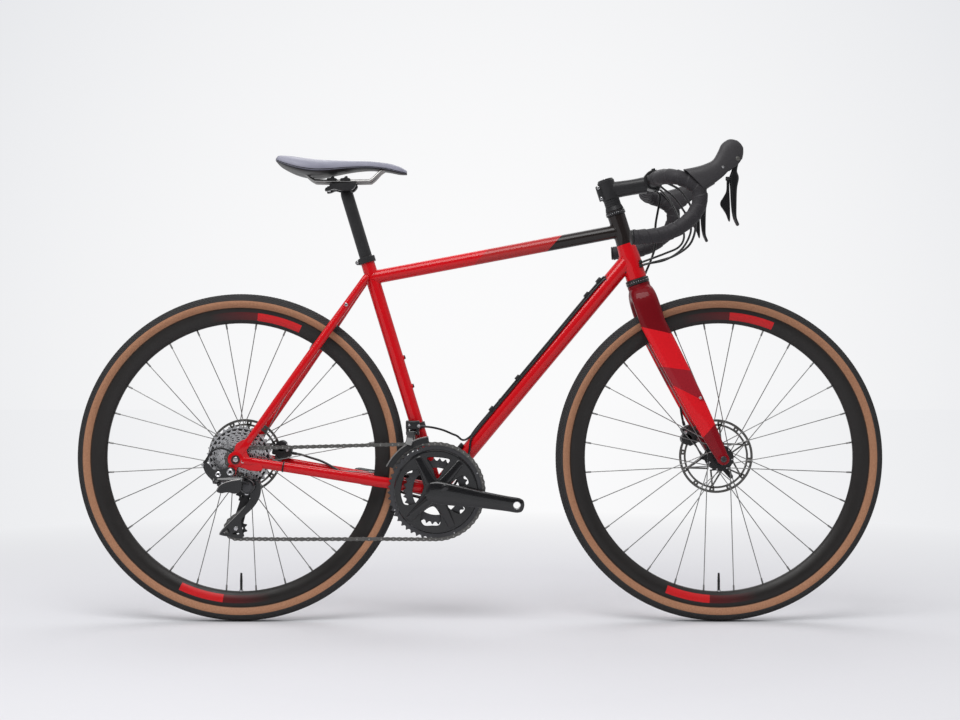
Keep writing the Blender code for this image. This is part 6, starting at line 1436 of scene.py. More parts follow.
def make_rails():
    shape = Shape()
    z = RAIL_HEIGHT
    stations = (
        (-0.104, 1.2, SADDLE_TOP - 0.024), (-0.084, 1.12, z + 0.017), (-0.066, 1.02, z + 0.003),
        (-0.048, 1.0, z), (0.044, 1.0, z), (0.06, 0.94, z + 0.003), (0.078, 0.7, z + 0.02),
        (0.096, 0.36, SADDLE_TOP - 0.024),
    )
    for side in (-1, 1):
        path = [Vector((TILT_AXIS.x + x, side * 0.022 * share, height)) for x, share, height in stations]
        shape.tube(between(path, 8), 0.0034, DULL, 16)
    nose = Vector((TILT_AXIS.x + 0.087, 0, z + 0.031))
    shape.pin(nose, Y_AXIS * 0.012, 0.0033, STEEL)
    shape.look("saddle_rails", "saddle", "bright_steel")


def saddle_finish():
    """A leather-like cover in two pale grey-lilacs mixed in random patches; the pale tone is partly the
    cover's own colour and partly a painted sheen.
    """
    finish = Finish("saddle_cover_look")
    patches = finish.spread(finish.noise(22.0, 3.0), 0.35, 0.7)
    # Both greys carry a painted sheen over the cover's own colour.
    colour = finish.mix(patches, (0.225, 0.225, 0.28), (0.275, 0.275, 0.335))
    return finish.done(colour, 0.46, grain=0.1, grain_scale=1200.0, bump=0.00007, bump_scale=800.0)


def lowered(point, centre, widest):
    """A point of an even oval, moved so that the oval is widest at a lower height."""
    stretch = 1.4 if point.z > centre.z else 0.6
    return Vector((point.x, point.y, widest + (point.z - centre.z) * stretch))


def sunk(point, x):
    """The cover pressed down along its middle, and pillowed a little on each side of that."""
    along = max(0.0, 1 - ((x + 0.02) / 0.115) ** 4)
    groove = math.exp(-((point.y / 0.0085) ** 2)) * 0.0032 * along
    pillow = math.exp(-(((abs(point.y) - 0.026) / 0.014) ** 2)) * 0.0011 * along
    return point - Z_AXIS * (groove - pillow)


def saddle_cap(ring, way):
    """The rings that close one end of the cover."""
    middle = sum(ring, Vector()) / len(ring)
    return closing(ring, middle, X_AXIS * way, ((0.86, 0.0016), (0.6, 0.0026), (0.3, 0.0031)))


def make_saddle():
    """The padded cover, the black hull under it, and the seams between them."""
    cover, hull = Shape(), Shape()
    rings, hulls = [], []
    seams = {-1: [], 1: []}
    for x, edge_shade, depth, share in between(SADDLE_SECTIONS, 8):
        centre = Vector((TILT_AXIS.x + x, 0, SADDLE_TOP - edge_shade - depth / 2))
        half_width = SADDLE_HALF_WIDTH * share
        ring = oval(centre, X_AXIS, Y_AXIS, half_width, depth / 2, 64, 2.6)
        widest = centre.z - depth * 0.2
        section = [lowered(p, centre, widest) for p in ring]
        rings.append([sunk(p, x) if p.z > widest else p + Z_AXIS * (widest - p.z) * 0.25 for p in section])
        low = [p for p in section if p.z < centre.z - depth * 0.28]
        low.sort(key=lambda p: p.y)
        outside, inside = ([centre + (p - centre) * size for p in low] for size in (1.015, 0.9))
        hulls.append(outside + inside[::-1])
        for side in (-1, 1):
            seams[side].append(centre + Vector((0, side * half_width * 1.002, -depth * 0.2)))
    tail, nose = saddle_cap(rings[0], -1), saddle_cap(rings[-NOSE_SINK], 1)
    cover.skin(tail[::-1] + rings + nose, saddle_finish())
    padded = cover.done("saddle_cover", "saddle", "saddle_cover", "saddle_shell")
    hull.skin(hulls, PLASTIC)
    for side in (-1, 1):
        hull.tube(seams[side], 0.0007, PLASTIC, 8)
    hull.done("saddle_hull", "saddle", "black_plastic")


def make_seat():
    make_seatpost()
    make_saddle_clamp()
    make_rails()
    make_saddle()


# Drivetrain

GUIDE = REAR_AXLE + Vector((0.0218, SMALL_COG_Y, -0.071))
TENSION = REAR_AXLE + Vector((-0.001, SMALL_COG_Y, -0.1453))
CAGE_PIVOT = REAR_AXLE + Vector((0.025, SMALL_COG_Y, -0.056))
LINK_FIRST = REAR_AXLE + Vector((-0.0352, -0.088, -0.042))
LINK_SECOND = LINK_FIRST + X_AXIS * 0.05
LINK_EARS = ((-0.007, -0.0039), (0.0039, 0.007))
LINK_TILT = math.radians(35)
LINK_AXIS = Vector((0, math.sin(LINK_TILT), math.cos(LINK_TILT)))
LINK_ACROSS = Vector((0, math.cos(LINK_TILT), -math.sin(LINK_TILT)))


def pitch_radius(teeth):
    return CHAIN_PITCH / (2 * math.sin(math.pi / teeth))


def chain_pins():
    """The centre of every pin along the closed loop of the chain."""
    circles = (
        (BB + Y_AXIS * OUTER_RING_Y, pitch_radius(OUTER_TEETH), 1),
        (TENSION, pitch_radius(PULLEY_TEETH), 1), (GUIDE, pitch_radius(PULLEY_TEETH), -1),
        (REAR_AXLE + Y_AXIS * SMALL_COG_Y, pitch_radius(COG_TEETH[0]), 1),
    )
    runs = []
    for (first, r1, s1), (second, r2, s2) in zip(circles, circles[1:] + circles[:1]):
        gap = second - first
        heading = math.atan2(gap.z, gap.x) + math.asin((r2 * s2 - r1 * s1) / math.hypot(gap.x, gap.z))
        normal = Vector((-math.sin(heading), 0, math.cos(heading)))
        runs.append((heading, first + normal * r1 * s1, second + normal * r2 * s2))
    line = []
    for i, (centre, radius, sense) in enumerate(circles):
        heading_in, heading_out = runs[i - 1][0], runs[i][0]
        turn = ((heading_in - heading_out) * sense) % (2 * math.pi)
        steps = max(4, round(turn * radius / 0.001))
        for k in range(steps):
            heading = heading_in - sense * turn * k / steps
            line.append(centre + Vector((-math.sin(heading), 0, math.cos(heading))) * radius * sense)
        start, end = runs[i][1], runs[i][2]
        run = (end - start).length
        hold = min(0.11, run * 0.3)
        steps = max(4, round(run / 0.001))
        for k in range(steps):
            point = start.lerp(end, k / steps)
            share = min(1.0, max(0.0, (run * k / steps - hold) / (run - 2 * hold)))
            point.y = start.y + (end.y - start.y) * share
            line.append(point)
    lengths = [0.0]
    for first, second in zip(line, line[1:] + line[:1]):
        lengths.append(lengths[-1] + (second - first).length)
    links = 2 * round(lengths[-1] / CHAIN_PITCH / 2)
    pins, k = [], 0
    for i in range(links):
        wanted = lengths[-1] * i / links
        while lengths[k + 1] < wanted:
            k += 1
        share = (wanted - lengths[k]) / (lengths[k + 1] - lengths[k])
        pins.append(line[k].lerp(line[(k + 1) % len(line)], share))
    return pins


PINS = chain_pins()


def gap_angle(centre, teeth):
    """The angle of a gap between teeth that holds one of the chain's pins."""
    wanted = pitch_radius(teeth)
    off = [(abs(math.hypot(p.x - centre.x, p.z - centre.z) - wanted), p) for p in PINS]
    pin = min(off, key=lambda pair: pair[0])[1]
    return math.atan2(pin.z - centre.z, pin.x - centre.x)


# One tooth: share of the way to the next, and height over the pitch circle
TOOTH = (
    (0.0, -0.004), (0.14, -0.0036), (0.27, -0.0018), (0.38, 0.0004), (0.46, 0.0014), (0.54, 0.0014),
    (0.62, 0.0004), (0.73, -0.0018), (0.86, -0.0036),
)


def toothed(centre, teeth, start):
    """An (x, z) outline with rounded roots and narrow tips."""
    middle = pitch_radius(teeth)
    loop = []
    for i in range(teeth):
        for share, rise in TOOTH:
            angle = start + 2 * math.pi * (i + share) / teeth
            radius = middle + rise
            loop.append(Vector((centre.x + radius * math.cos(angle), centre.z + radius * math.sin(angle))))
    return loop


def toothed_plate(shape, centre, teeth, start, y, half, finish, holes):
    """A toothed ring, equally thick to both sides of a plane."""
    shape.plate(toothed(centre, teeth, start), y - half, y + half, finish, holes, 0.0003)


def make_chain():
    shape = Shape()
    half, end, waist = CHAIN_PITCH / 2, 0.0042, 0.0031
    outline = []
    for centre, base in ((half, -90), (-half, 90)):
        for k in range(7):
            angle = math.radians(base + 30 * k)
            outline.append((centre + end * math.cos(angle), end * math.sin(angle)))
        outline.append((0.0, waist if base == -90 else -waist))
    for i, start in enumerate(PINS):
        finish = PINS[(i + 1) % len(PINS)]
        middle = start.lerp(finish, 0.5)
        heading = math.atan2(finish.z - start.z, finish.x - start.x)
        place = Matrix.Translation(middle) @ Matrix.Rotation(-heading, 4, "Y")
        near, far = (0.0018, 0.0026) if i % 2 else (0.001, 0.0017)
        for low, high in ((near, far), (-far, -near)):
            shape.plate(outline, low, high, DARK, edge=0.00015, place=place)
        shape.pin(start, Y_AXIS * 0.0009, 0.0038, DARK, 12, 0.0001)
        shape.pin(start, Y_AXIS * 0.0027, 0.0017, DULL, 10, 0.0002)
    shape.look("chain", "frame", "bright_steel")


def make_cassette():
    shape = Shape()
    for i, teeth in enumerate(COG_TEETH):
        y = SMALL_COG_Y + COG_SPACING * i
        start = 0.31 * i if i else gap_angle(REAR_AXLE, teeth)
        inner = pitch_radius(teeth) - 0.0062
        toothed_plate(shape, REAR_AXLE, teeth, start, y, 0.00085, STEEL, [circle(REAR_AXLE, inner, 48)])
        web = [circle(REAR_AXLE, 0.014, 32)]
        for k in range(5 if teeth > 18 else 0):
            web.append(arc_loop(REAR_AXLE, 0.02, inner - 0.005, 72 * k + 12, 72 * k + 60))
        shape.plate(circle(REAR_AXLE, inner + 0.0003, 64), y - 0.0006, y + 0.0006, SATIN, web, 0.0001)
        if i:
            centre = REAR_AXLE + Y_AXIS * (y - COG_SPACING / 2)
            shape.pin(centre, Y_AXIS * (COG_SPACING / 2 - 0.0009), 0.0185, SATIN)
    ring = [(0.01, 0.0), (0.0155, 0.0), (0.016, 0.0006), (0.016, 0.0026), (0.01, 0.0026)]
    shape.turned(REAR_AXLE - Y_AXIS * 0.0647, Y_AXIS, ring, STEEL)
    for i in range(12):
        at = around(REAR_AXLE, 0.0118, 30 * i, -0.065)
        shape.rod(at, at + Y_AXIS * 0.001, 0.0011, SATIN, 10)
    sleeve = [
        (AXLE_BORE, -0.0707), (0.009, -0.0707), (HUB_END, -0.07), (HUB_END, -0.024), (AXLE_BORE, -0.024),
    ]
    shape.turned(REAR_AXLE, Y_AXIS, sleeve, SATIN)
    shape.look("cassette", "cassette", "bright_steel")


# The cover's windows between its arms: distance from the spindle in mm, and angle in degrees.
COVER_WINDOWS = (
    ((72, 66), (73, 76), (73, 95), (72, 105), (50, 98), (30, 90), (30, 79), (50, 72)),
    ((60, 130), (72, 145), (74, 157), (74, 180), (73, 195), (70, 203), (52, 209), (34, 195), (28, 170),
     (29, 155), (42, 138)),
    ((64, 240), (75, 250), (72, 263), (70, 276), (52, 280), (35, 270), (32.6, 254), (47.6, 239)),
    ((35, -44), (48, -29), (68, -29), (71, -35), (67, -44), (45, -51)),
    ((64, 31), (71, 24), (70, 14), (50, 12), (34, 18), (40, 30)),
)
SPIDER_ARMS = (50, 118, 225, 295)
RING_BOLTS = 0.055


def make_outer_ring():
    shape = Shape()
    start = gap_angle(BB, OUTER_TEETH)
    toothed_plate(shape, BB, OUTER_TEETH, start, OUTER_RING_Y, 0.001, GREY, [circle(BB, 0.08, 96)])
    for i in range(4):
        at = around(BB, 0.0955, 24 + 90 * i, OUTER_RING_Y - 0.0012)
        shape.rod(at, at + Y_AXIS * 0.0024, 0.0016, STEEL, 12)
    windows = []
    for window in COVER_WINDOWS:
        corners = [polar(BB, r / 1000, a) for r, a in window]
        windows.append(closed_curve(corners, 4))
    shape.plate(circle(BB, 0.086, 120), -0.0525, -0.0472, GLOSS, windows, 0.001)
    rim = [(0.085, -0.053), (0.0868, -0.0528), (0.089, -0.05), (0.089, -0.0472), (0.085, -0.0472)]
    shape.turned(BB, Y_AXIS, rim, GLOSS, 120)
    shape.look("chainring_outer", "crank", "black_metal")


def make_inner_ring():
    shape = Shape()
    toothed_plate(shape, BB, INNER_TEETH, 0.07, INNER_RING_Y, 0.001, GREY, [circle(BB, 0.05, 64)])
    for arm in SPIDER_ARMS:
        at = around(BB, RING_BOLTS, arm, INNER_RING_Y + 0.001)
        shape.bolt(at, Y_AXIS, 0.0042, 0.002, STEEL)
    shape.look("chainring_inner", "crank", "black_metal")


CRANK_LENGTH = 0.1725
CRANK_TILT = math.radians(9)
CRANK_WAY = Vector((math.cos(CRANK_TILT), 0, -math.sin(CRANK_TILT)))
ARM_Y = 0.0665
PEDAL_HOLE = 0.007

# Distance from the spindle, half width and half thickness
ARM_STATIONS = (
    (-0.012, 0.02, 0.005), (0.0, 0.0232, 0.0062), (0.02, 0.0235, 0.0064), (0.06, 0.0206, 0.0064),
    (0.1, 0.0178, 0.0064), (0.15, 0.016, 0.0062), (CRANK_LENGTH, 0.016, 0.0058),
    (0.18, 0.0145, 0.0054),
)


def crank_arm(shape, side):
    """A rounded arm, widest at the spindle, from the root to past the pedal's hole."""
    way = CRANK_WAY * -side
    middle = BB + Y_AXIS * side * ARM_Y
    rows = [(middle + way * s, width, height) for s, width, height in between(ARM_STATIONS, 6)]
    shape.beam(rows, GLOSS, 48, hint=Vector((-way.z, 0, way.x)), squareness=2.9, depth=0.0085)
    return middle + way * CRANK_LENGTH


def drilled_arm(node, side, extra):
    """The arm with its pedal's hole cut, and the pieces that are fixed to it."""
    shape = Shape()
    hole = crank_arm(shape, side)
    arm = shape.done(f"{node}_look")
    cutter = Shape()
    cutter.pin(hole, Y_AXIS * 0.012, PEDAL_HOLE, STEEL, 40)
    carve(arm, pedal_space=cutter)
    placed(arm, "crank", "black_metal", node)
    trim = Shape()
    trim.turned(hole, Y_AXIS, mirrored([(PEDAL_HOLE, -0.0062), (0.008, -0.0066)]), STEEL)
    extra(trim)
    trim.done(f"{node}_look_trim", "crank", "black_metal")


def spider_arm(shape, start, end, stations, squareness, depth):
    """A bar between two points, given by rows of share of the way, half width and half thickness."""
    rows = [(start.lerp(end, share), width, height) for share, width, height in between(stations, 6)]
    across = (end - start).cross(Y_AXIS)
    shape.beam(rows, GLOSS, 32, hint=across, squareness=squareness, depth=depth)


def right_crank_pieces(shape):
    """The boss, spindle and spider with its bolts."""
    boss = [
        (0.012, -0.06), (0.024, -0.06), (0.024, -0.0404), (0.021, -0.0404), (0.021, -0.0434),
        (0.012, -0.0434),
    ]
    shape.turned(BB, Y_AXIS, boss, GLOSS)
    shape.rod(BB - Y_AXIS * 0.043, BB + Y_AXIS * ARM_Y, 0.0118, STEEL)
    start, end = BB + Vector((0.021, -0.0696, 0.011)), BB + Vector((-0.05, -0.0535, -0.047))
    ridge = ((0.0, 0.0085, 0.0046), (0.45, 0.0095, 0.0064), (1.0, 0.0066, 0.003))
    spider_arm(shape, start, end, ridge, 2.2, 0.006)
    stations = ((0.0, 0.0125, 0.0055), (0.5, 0.0095, 0.005), (1.0, 0.008, 0.0034))
    for arm in SPIDER_ARMS:
        start, end = around(BB, 0.02, arm, -0.056), around(BB, 0.08, arm, -0.0508)
        spider_arm(shape, start, end, stations, 2.8, 0.004)
        at = around(BB, RING_BOLTS, arm, -0.0446)
        shape.rod(at, at + Y_AXIS * 0.004, 0.005, SATIN)


def left_crank_pieces(shape):
    """The boss with its two pinch bolts, and the spindle's end cap."""
    shape.turned(BB, Y_AXIS, [(0.0125, 0.0434), (0.0175, 0.0434), (0.0185, 0.064), (0.0125, 0.064)], GLOSS)
    shape.rod(BB + Y_AXIS * 0.0715, BB + Y_AXIS * 0.074, 0.01, SATIN)
    way = -CRANK_WAY
    across = Vector((-way.z, 0, way.x))
    for y in (0.055, 0.068):
        at = BB + way * 0.024 + Y_AXIS * y
        shape.bolt(at - across * 0.0185, -across, 0.004, 0.003, STEEL)


def make_bearings():
    """The two notched cups screwed into the shell."""
    shape = Shape()
    loop = []
    for i in range(16):
        for share, radius in ((0.06, 0.02), (0.62, 0.02), (0.68, 0.0188), (1.0, 0.0188)):
            loop.append(polar(BB, radius, 360 * (i + share) / 16))
    for side in (-1, 1):
        low, high = sorted((side * 0.0343, side * 0.0428))
        shape.plate(loop, low, high, SATIN, [circle(BB, 0.0127, 40)], 0.0005)
    sleeve = mirrored([(0.0127, -0.0343), (0.0168, -0.0343)])
    shape.turned(BB, Y_AXIS, sleeve, SATIN)
    shape.look("bottom_bracket_bearings", "frame", "black_metal")


def make_pulley(name, centre):
    shape = Shape()
    holes = [circle(centre, 0.006, 32)]
    for i in range(5):
        holes.append(circle(around(centre, 0.0118, 72 * i), 0.0026, 16))
    start = gap_angle(centre, PULLEY_TEETH)
    toothed_plate(shape, centre, PULLEY_TEETH, start, centre.y, 0.001, PLASTIC, holes)
    shape.turned(centre, Y_AXIS, mirrored([(0.0031, -0.0042), (0.0062, -0.0042)]), GREY)
    shape.look(name, name, "black_metal")


def highlight_line(shape, points, y, radius):
    """A thin bright line along an outline given in mm: a painted highlight on a plate's rounded edge."""
    path = between([Vector((x / 1000, y, z / 1000)) for x, z in points], 5)
    shape.tube(path, radius, DULL, 10)


# The outer cage plate's outline in mm, from the knuckle down its curved front to the lower pulley.
CAGE_OUTLINE = (
    (-492, 306), (-480, 309), (-466, 303), (-460, 290), (-463, 270), (-475, 250), (-491, 234), (-501, 222),
    (-499, 203), (-498, 187), (-505, 184), (-525, 187), (-546, 191), (-546, 196), (-536, 208), (-524, 220),
    (-508, 236), (-493, 252), (-483, 268), (-485, 284),
)
CAGE_WINDOWS = (
    ((-538, 196), (-530, 205), (-526, 198), (-530, 193)), ((-520, 193), (-512, 197), (-505, 193)),
)


def make_cage():
    shape = Shape()
    loop = mm_curve(CAGE_OUTLINE, 4)
    near, far = 0.0046, 0.006
    windows = [mm_curve(corners, 3) for corners in CAGE_WINDOWS]
    shape.plate(loop, SMALL_COG_Y - far, SMALL_COG_Y - near, GLOSS, windows, 0.0004)
    # A painted highlight along one edge of the outer cage plate.
    highlight_line(shape, CAGE_OUTLINE[12:18], SMALL_COG_Y - far, 0.0009)
    heading = math.degrees(math.atan2(TENSION.z - CAGE_PIVOT.z, TENSION.x - CAGE_PIVOT.x))
    inner = round_ended(CAGE_PIVOT, 0.008, TENSION, 0.0115, heading, 6)
    shape.plate(inner, SMALL_COG_Y + near, SMALL_COG_Y + far, SATIN, edge=0.0004)
    for centre in (GUIDE, TENSION):
        shape.pin(centre, Y_AXIS * far, 0.0025, STEEL, 16)
        shape.bolt(centre - Y_AXIS * far, -Y_AXIS, 0.0042, 0.0012, STEEL)
    start = Vector((CAGE_PIVOT.x, SMALL_COG_Y - far + 0.0006, CAGE_PIVOT.z))
    shape.rod(start, start - Y_AXIS * 0.008, 0.006, SATIN)
    shape.look("derailleur_cage", "derailleur_cage", "black_metal")


def link_plate(shape, pivot, toward, low, high, radius, finish):
    """A round-ended plate square to the link's axis, from a pivot towards a point."""
    place = Matrix((
        (1, 0, 0, pivot.x), (0, LINK_AXIS.y, LINK_ACROSS.y, pivot.y),
        (0, LINK_AXIS.z, LINK_ACROSS.z, pivot.z), (0, 0, 0, 1),
    ))
    end = Vector((toward[0], 0, toward[1]))
    heading = math.degrees(math.atan2(toward[1], toward[0]))
    outline = round_ended(Vector(), radius, end, radius, heading, 8)
    shape.plate(outline, low, high, finish, edge=0.0007, place=place)


# The derailleur's link cover and knuckle plate, X and Z in mm
LINK_COVER = (
    (-549, 286), (-542, 297), (-528, 304), (-512, 308), (-499, 310), (-496, 300), (-500, 284), (-512, 280),
    (-525, 283), (-540, 281),
)
KNUCKLE_PLATE = (
    (-575, 341), (-567, 343), (-557, 331), (-546, 329.5), (-521, 335), (-511, 325), (-521, 315), (-534, 312),
    (-540, 305), (-551, 303), (-560, 313), (-570, 324),
)


def make_link():
    shape = Shape()
    link_plate(shape, LINK_FIRST, (0.05, 0.0), -0.0035, 0.0035, 0.0055, GLOSS)
    for pivot in (LINK_FIRST, LINK_SECOND):
        shape.pin(pivot, LINK_AXIS * 0.0068, 0.002, STEEL, 16)
    cover = mm_curve(LINK_COVER, 3)
    shape.plate(cover, -0.0968, -0.0932, GLOSS, edge=0.0012)
    for x, z in ((-0.545, 0.298), (-0.5045, 0.3015)):
        shape.rod(Vector((x, -0.0945, z)), Vector((x + 0.001, -0.088, z + 0.004)), 0.0036, GLOSS, 16)
    # A painted highlight along the top edge of the link cover.
    highlight_line(shape, LINK_COVER[:5], -0.0962, 0.001)
    shape.look("derailleur_link", "derailleur_link", "black_metal")


def make_mount():
    """The knuckle on the hanger, with the ears for the link and the barrel for the cable."""
    shape = Shape()
    bolt = REAR_AXLE + Vector((-0.009, -0.0792, -0.025))
    shape.rod(bolt, bolt - Y_AXIS * 0.011, 0.0098, GLOSS, 40, 0.0012)
    upper = LINK_FIRST + LINK_AXIS * 0.0054
    middle = bolt - Y_AXIS * 0.006
    path = between([upper, upper.lerp(middle, 0.45) + LINK_AXIS * 0.003, middle], 6)
    rows = [(point, 0.0056, 0.004) for point in path]
    shape.beam(rows, GLOSS, 24, hint=LINK_ACROSS, squareness=2.5, depth=0.003)
    web, reach = LINK_FIRST - X_AXIS * 0.0083, LINK_AXIS * 0.0067
    shape.slab(web - reach, web + reach, 0.0024, 0.005, GLOSS, hint=X_AXIS, squareness=4.0)
    for low, high in LINK_EARS:
        link_plate(shape, LINK_FIRST, (-0.004, 0.0), low, high, 0.0055, GLOSS)
    top = Vector((-0.5734, -0.084, 0.3461))
    way = Vector((-0.52, 0, -0.854))
    shape.rod(top, top + way * 0.0045, 0.0042, SATIN)
    shape.rod(top + way * 0.0045, top + way * 0.012, 0.0036, STEEL)
    strut = [web, web.lerp(top + way * 0.012, 0.55) - X_AXIS * 0.001, top + way * 0.007]
    shape.tube(between(strut, 6), 0.0036, GLOSS, 20)
    plate = mm_curve(KNUCKLE_PLATE, 3)
    shape.plate(plate, -0.0915, -0.088, GLOSS, [circle(bolt, 0.0066, 24)], 0.001)
    for place, radius in ((Vector((-0.546, -0.09, 0.3203)), 0.0058), (bolt - Y_AXIS * 0.011, 0.0072)):
        ring = [(radius * 0.45, -0.004), (radius * 0.45, 0.0022), (radius * 0.72, 0.003), (radius, 0.0022)]
        shape.turned(place, -Y_AXIS, ring + [(radius, -0.004)], STEEL)
    shape.look("derailleur_mount", "frame", "black_metal")


def make_derailleur_body():
    shape = Shape()
    face = SMALL_COG_Y - 0.0063
    inner = Vector((CAGE_PIVOT.x, face, CAGE_PIVOT.z))
    profile = [
        (0.0064, 0.0), (0.015, 0.0), (0.0155, 0.001), (0.0155, 0.015), (0.014, 0.0172), (0.011, 0.018),
        (0.0064, 0.018),
    ]
    shape.turned(inner, -Y_AXIS, profile, GLOSS, 64)
    shape.turned(inner, -Y_AXIS, [(0, 0.0165), (0.0104, 0.0165), (0.0104, 0.0186), (0, 0.019)], GREY, 64)
    for low, high in LINK_EARS:
        link_plate(shape, LINK_SECOND, (0.01, 0.0085), low, high, 0.0065, GLOSS)
    shape.look("derailleur_body", "derailleur_body", "black_metal")


FD_PIVOT = BB + Vector((-0.05, -0.031, 0.124))


def make_front_derailleur():
    """The band and block on the seat tube."""
    shape = Shape()
    shape.turned(BB, SEAT_UP, band(0.015, 0.0179, 0.1355, 0.1485, 0.0006), SATIN, 64)
    top = FD_PIVOT + Vector((0, 0.004, 0.016))
    shape.slab(top - X_AXIS * 0.0145, top + X_AXIS * 0.0145, 0.01, 0.0094, SATIN, edge=0.0016)
    link = FD_PIVOT + Vector((0.005, 0.0115, 0.013))
    shape.slab(link - X_AXIS * 0.009, link + X_AXIS * 0.009, 0.0032, 0.0052, SATIN)
    for x in (-0.011, 0.011):
        foot = FD_PIVOT + Vector((x, 0, -0.005))
        shape.slab(foot, foot + Z_AXIS * 0.016, 0.005, 0.003, SATIN)
    shape.pin(FD_PIVOT, X_AXIS * 0.0144, 0.0022, STEEL)
    shape.bolt(FD_PIVOT + Vector((0.013, -0.006, 0.014)), -Y_AXIS, 0.0036, 0.003, STEEL)
    shape.bolt(FD_PIVOT + Vector((-0.007, -0.0058, 0.016)), -Y_AXIS, 0.0026, 0.0016, STEEL)
    shape.look("front_derailleur_body", "frame", "black_metal")


def make_front_derailleur_cage():
    """The plates on both sides of the chain, and the arms that carry them."""
    cage = Shape()
    y, far, near = OUTER_RING_Y, 0.0047, 0.0034
    for inner, outer, last, low, high, finish in (
        (0.1045, 0.118, 152, y - far, y - near, SATIN),
        (0.116, 0.1186, 153, y - far - 0.0006, y - near, DULL),
        (0.0985, 0.118, 152, y + near, y + far, DARK),
    ):
        cage.plate(arc_loop(BB, inner, outer, 98, last, 24), low, high, finish, edge=0.0004)
    for first, last in ((104, 112), (147.5, 151.5)):
        cage.plate(arc_loop(BB, 0.1158, 0.1176, first, last, 6), y - 0.0043, y + 0.0043, DULL)
    top = BB + Vector((-0.058, OUTER_RING_Y - 0.007, 0.0985))
    start = FD_PIVOT + Vector((-0.004, -0.004, 0.001))
    arm = between([start, top.lerp(FD_PIVOT, 0.45) - Y_AXIS * 0.004, top], 5)
    cage.beam([(point, 0.0085, 0.0018) for point in arm], GLOSS, 24, hint=X_AXIS, squareness=3.0)
    cage.pin(FD_PIVOT, X_AXIS * 0.0077, 0.0048, GLOSS)
    radius = 0.114
    end = around(BB, radius, math.degrees(math.acos((FD_PIVOT - BB).x / radius)), y + 0.0054)
    arm = between([FD_PIVOT - Z_AXIS * 0.002, FD_PIVOT.lerp(end, 0.5) + Y_AXIS * 0.001, end], 5)
    cage.beam([(point, 0.006, 0.0015) for point in arm], DARK, 24, hint=X_AXIS, squareness=3.0)
    cage.look("front_derailleur_cage", "front_derailleur_cage", "bright_steel")


def make_caliper(node, body, centre, along, axle, width, rotor_y):
    """Two body halves either side of the disc, bridged outside it, with bolts, pads and a fitting."""
    shape = Shape()
    gap = 0.0024
    out = Vector((centre.x - axle.x, 0, centre.z - axle.z)).normalized()
    tangent = Vector((-out.z, 0, out.x))
    left, right = centre.y + width / 2, centre.y - width / 2
    for low, high in ((right, rotor_y - gap), (rotor_y + gap, left)):
        middle = Vector((centre.x, (low + high) / 2, centre.z))
        thick = (high - low) / 2
        reach = along * 0.021
        shape.slab(middle - reach, middle + reach, thick, 0.0112, SATIN, squareness=4.0, edge=0.003)
        for s, radius in ((-0.006, 0.0135), (0.01, 0.012)):
            at = middle + tangent * s
            shape.pin(at, Y_AXIS * thick * 1.05, radius, SATIN, 32, 0.001)
    reach = Y_AXIS * (width / 2 - 0.001)
    for s in (-0.01, 0.01):
        at = centre + out * 0.008 + tangent * s
        shape.slab(at - reach, at + reach, 0.0042, 0.0034, SATIN, hint=tangent)
        shape.bolt(at + out * 0.0028, out, 0.0034, 0.0026, STEEL)
    fitting = centre + out * 0.012 - Y_AXIS * (width / 2 - 0.003)
    shape.rod(fitting, fitting - Y_AXIS * 0.005, 0.0046, GREY)
    shape.bolt(fitting - Y_AXIS * 0.005, -Y_AXIS, 0.0034, 0.0014, STEEL)
    pads = Vector((centre.x, rotor_y, centre.z)) - out * 0.006
    for y in (-0.0019, 0.0019):
        at = pads + Y_AXIS * y
        shape.slab(at - tangent * 0.008, at + tangent * 0.008, 0.0005, 0.004, STEEL)
    shape.look(node, body, "black_metal")


def make_calipers():
    way = (BB - REAR_AXLE).normalized()
    up = Vector((-way.z, 0, way.x))
    centre = REAR_AXLE + way * 0.078 + up * 0.0245 + Y_AXIS * 0.059
    make_caliper("rear_brake_caliper", "frame", centre, way, REAR_AXLE, 0.028, REAR_ROTOR_Y)
    upward = Vector((-0.457, 0, 0.889)).normalized()
    rear = Vector((-upward.z, 0, upward.x))
    centre = leg_point(0.34) + rear * 0.031
    centre.y = 0.0445
    make_caliper("front_brake_caliper", "steering", centre, upward, FRONT_AXLE, 0.033, FRONT_ROTOR_Y)


def make_drivetrain():
    make_chain()
    make_cassette()
    make_outer_ring()
    make_inner_ring()
    drilled_arm("crank_right", -1, right_crank_pieces)
    drilled_arm("crank_left", 1, left_crank_pieces)
    make_bearings()
    make_pulley("guide_pulley", GUIDE)
    make_pulley("tension_pulley", TENSION)
    make_cage()
    make_link()
    make_mount()
    make_derailleur_body()
    make_front_derailleur()
    make_front_derailleur_cage()
    make_calipers()


HOUSING_RADIUS = 0.0023
HOSE_RADIUS = 0.0025

# Cable routes in millimetres, from the bar tape to the part each one works

REAR_SHIFT_ROUTE = (
    (376, -57.3, 929), (377.5, -54, 928), (387, -49.5, 920.5), (412, -47, 900), (440, -40, 860),
    (448, -28, 831), (430, -20, 795), (395, -18, 772), (354, -18.5, 763), (326, -14.0, 752),
    (292, -7.5, 738), (271.7, -12.8, 728.8), (254.1, -14.2, 720.1), (151.6, -14.0, 597.3),
    (49.1, -14.0, 474.4), (-8.5, -14.4, 405.3), (-19.4, -17.0, 388.3), (-22.6, -20.9, 365.0),
    (-26.9, -19.8, 349.0), (-31.1, -16.2, 332.9), (-41.4, -11.5, 312.0), (-58, -11, 286),
    (-74, -12, 264), (-93, -12, 255.8), (-113, -13, 260.5), (-150, -22, 271), (-185, -32, 284),
    (-225, -39.5, 296.5), (-300, -49.7, 314.6), (-380, -60, 328), (-440, -69.5, 338), (-480, -74, 345),
    (-499, -75, 355.5), (-515, -75.2, 362.4), (-530, -76.5, 370.5), (-546, -80, 374.5),
    (-562, -83, 366), (-573.2, -84, 346.4),
)
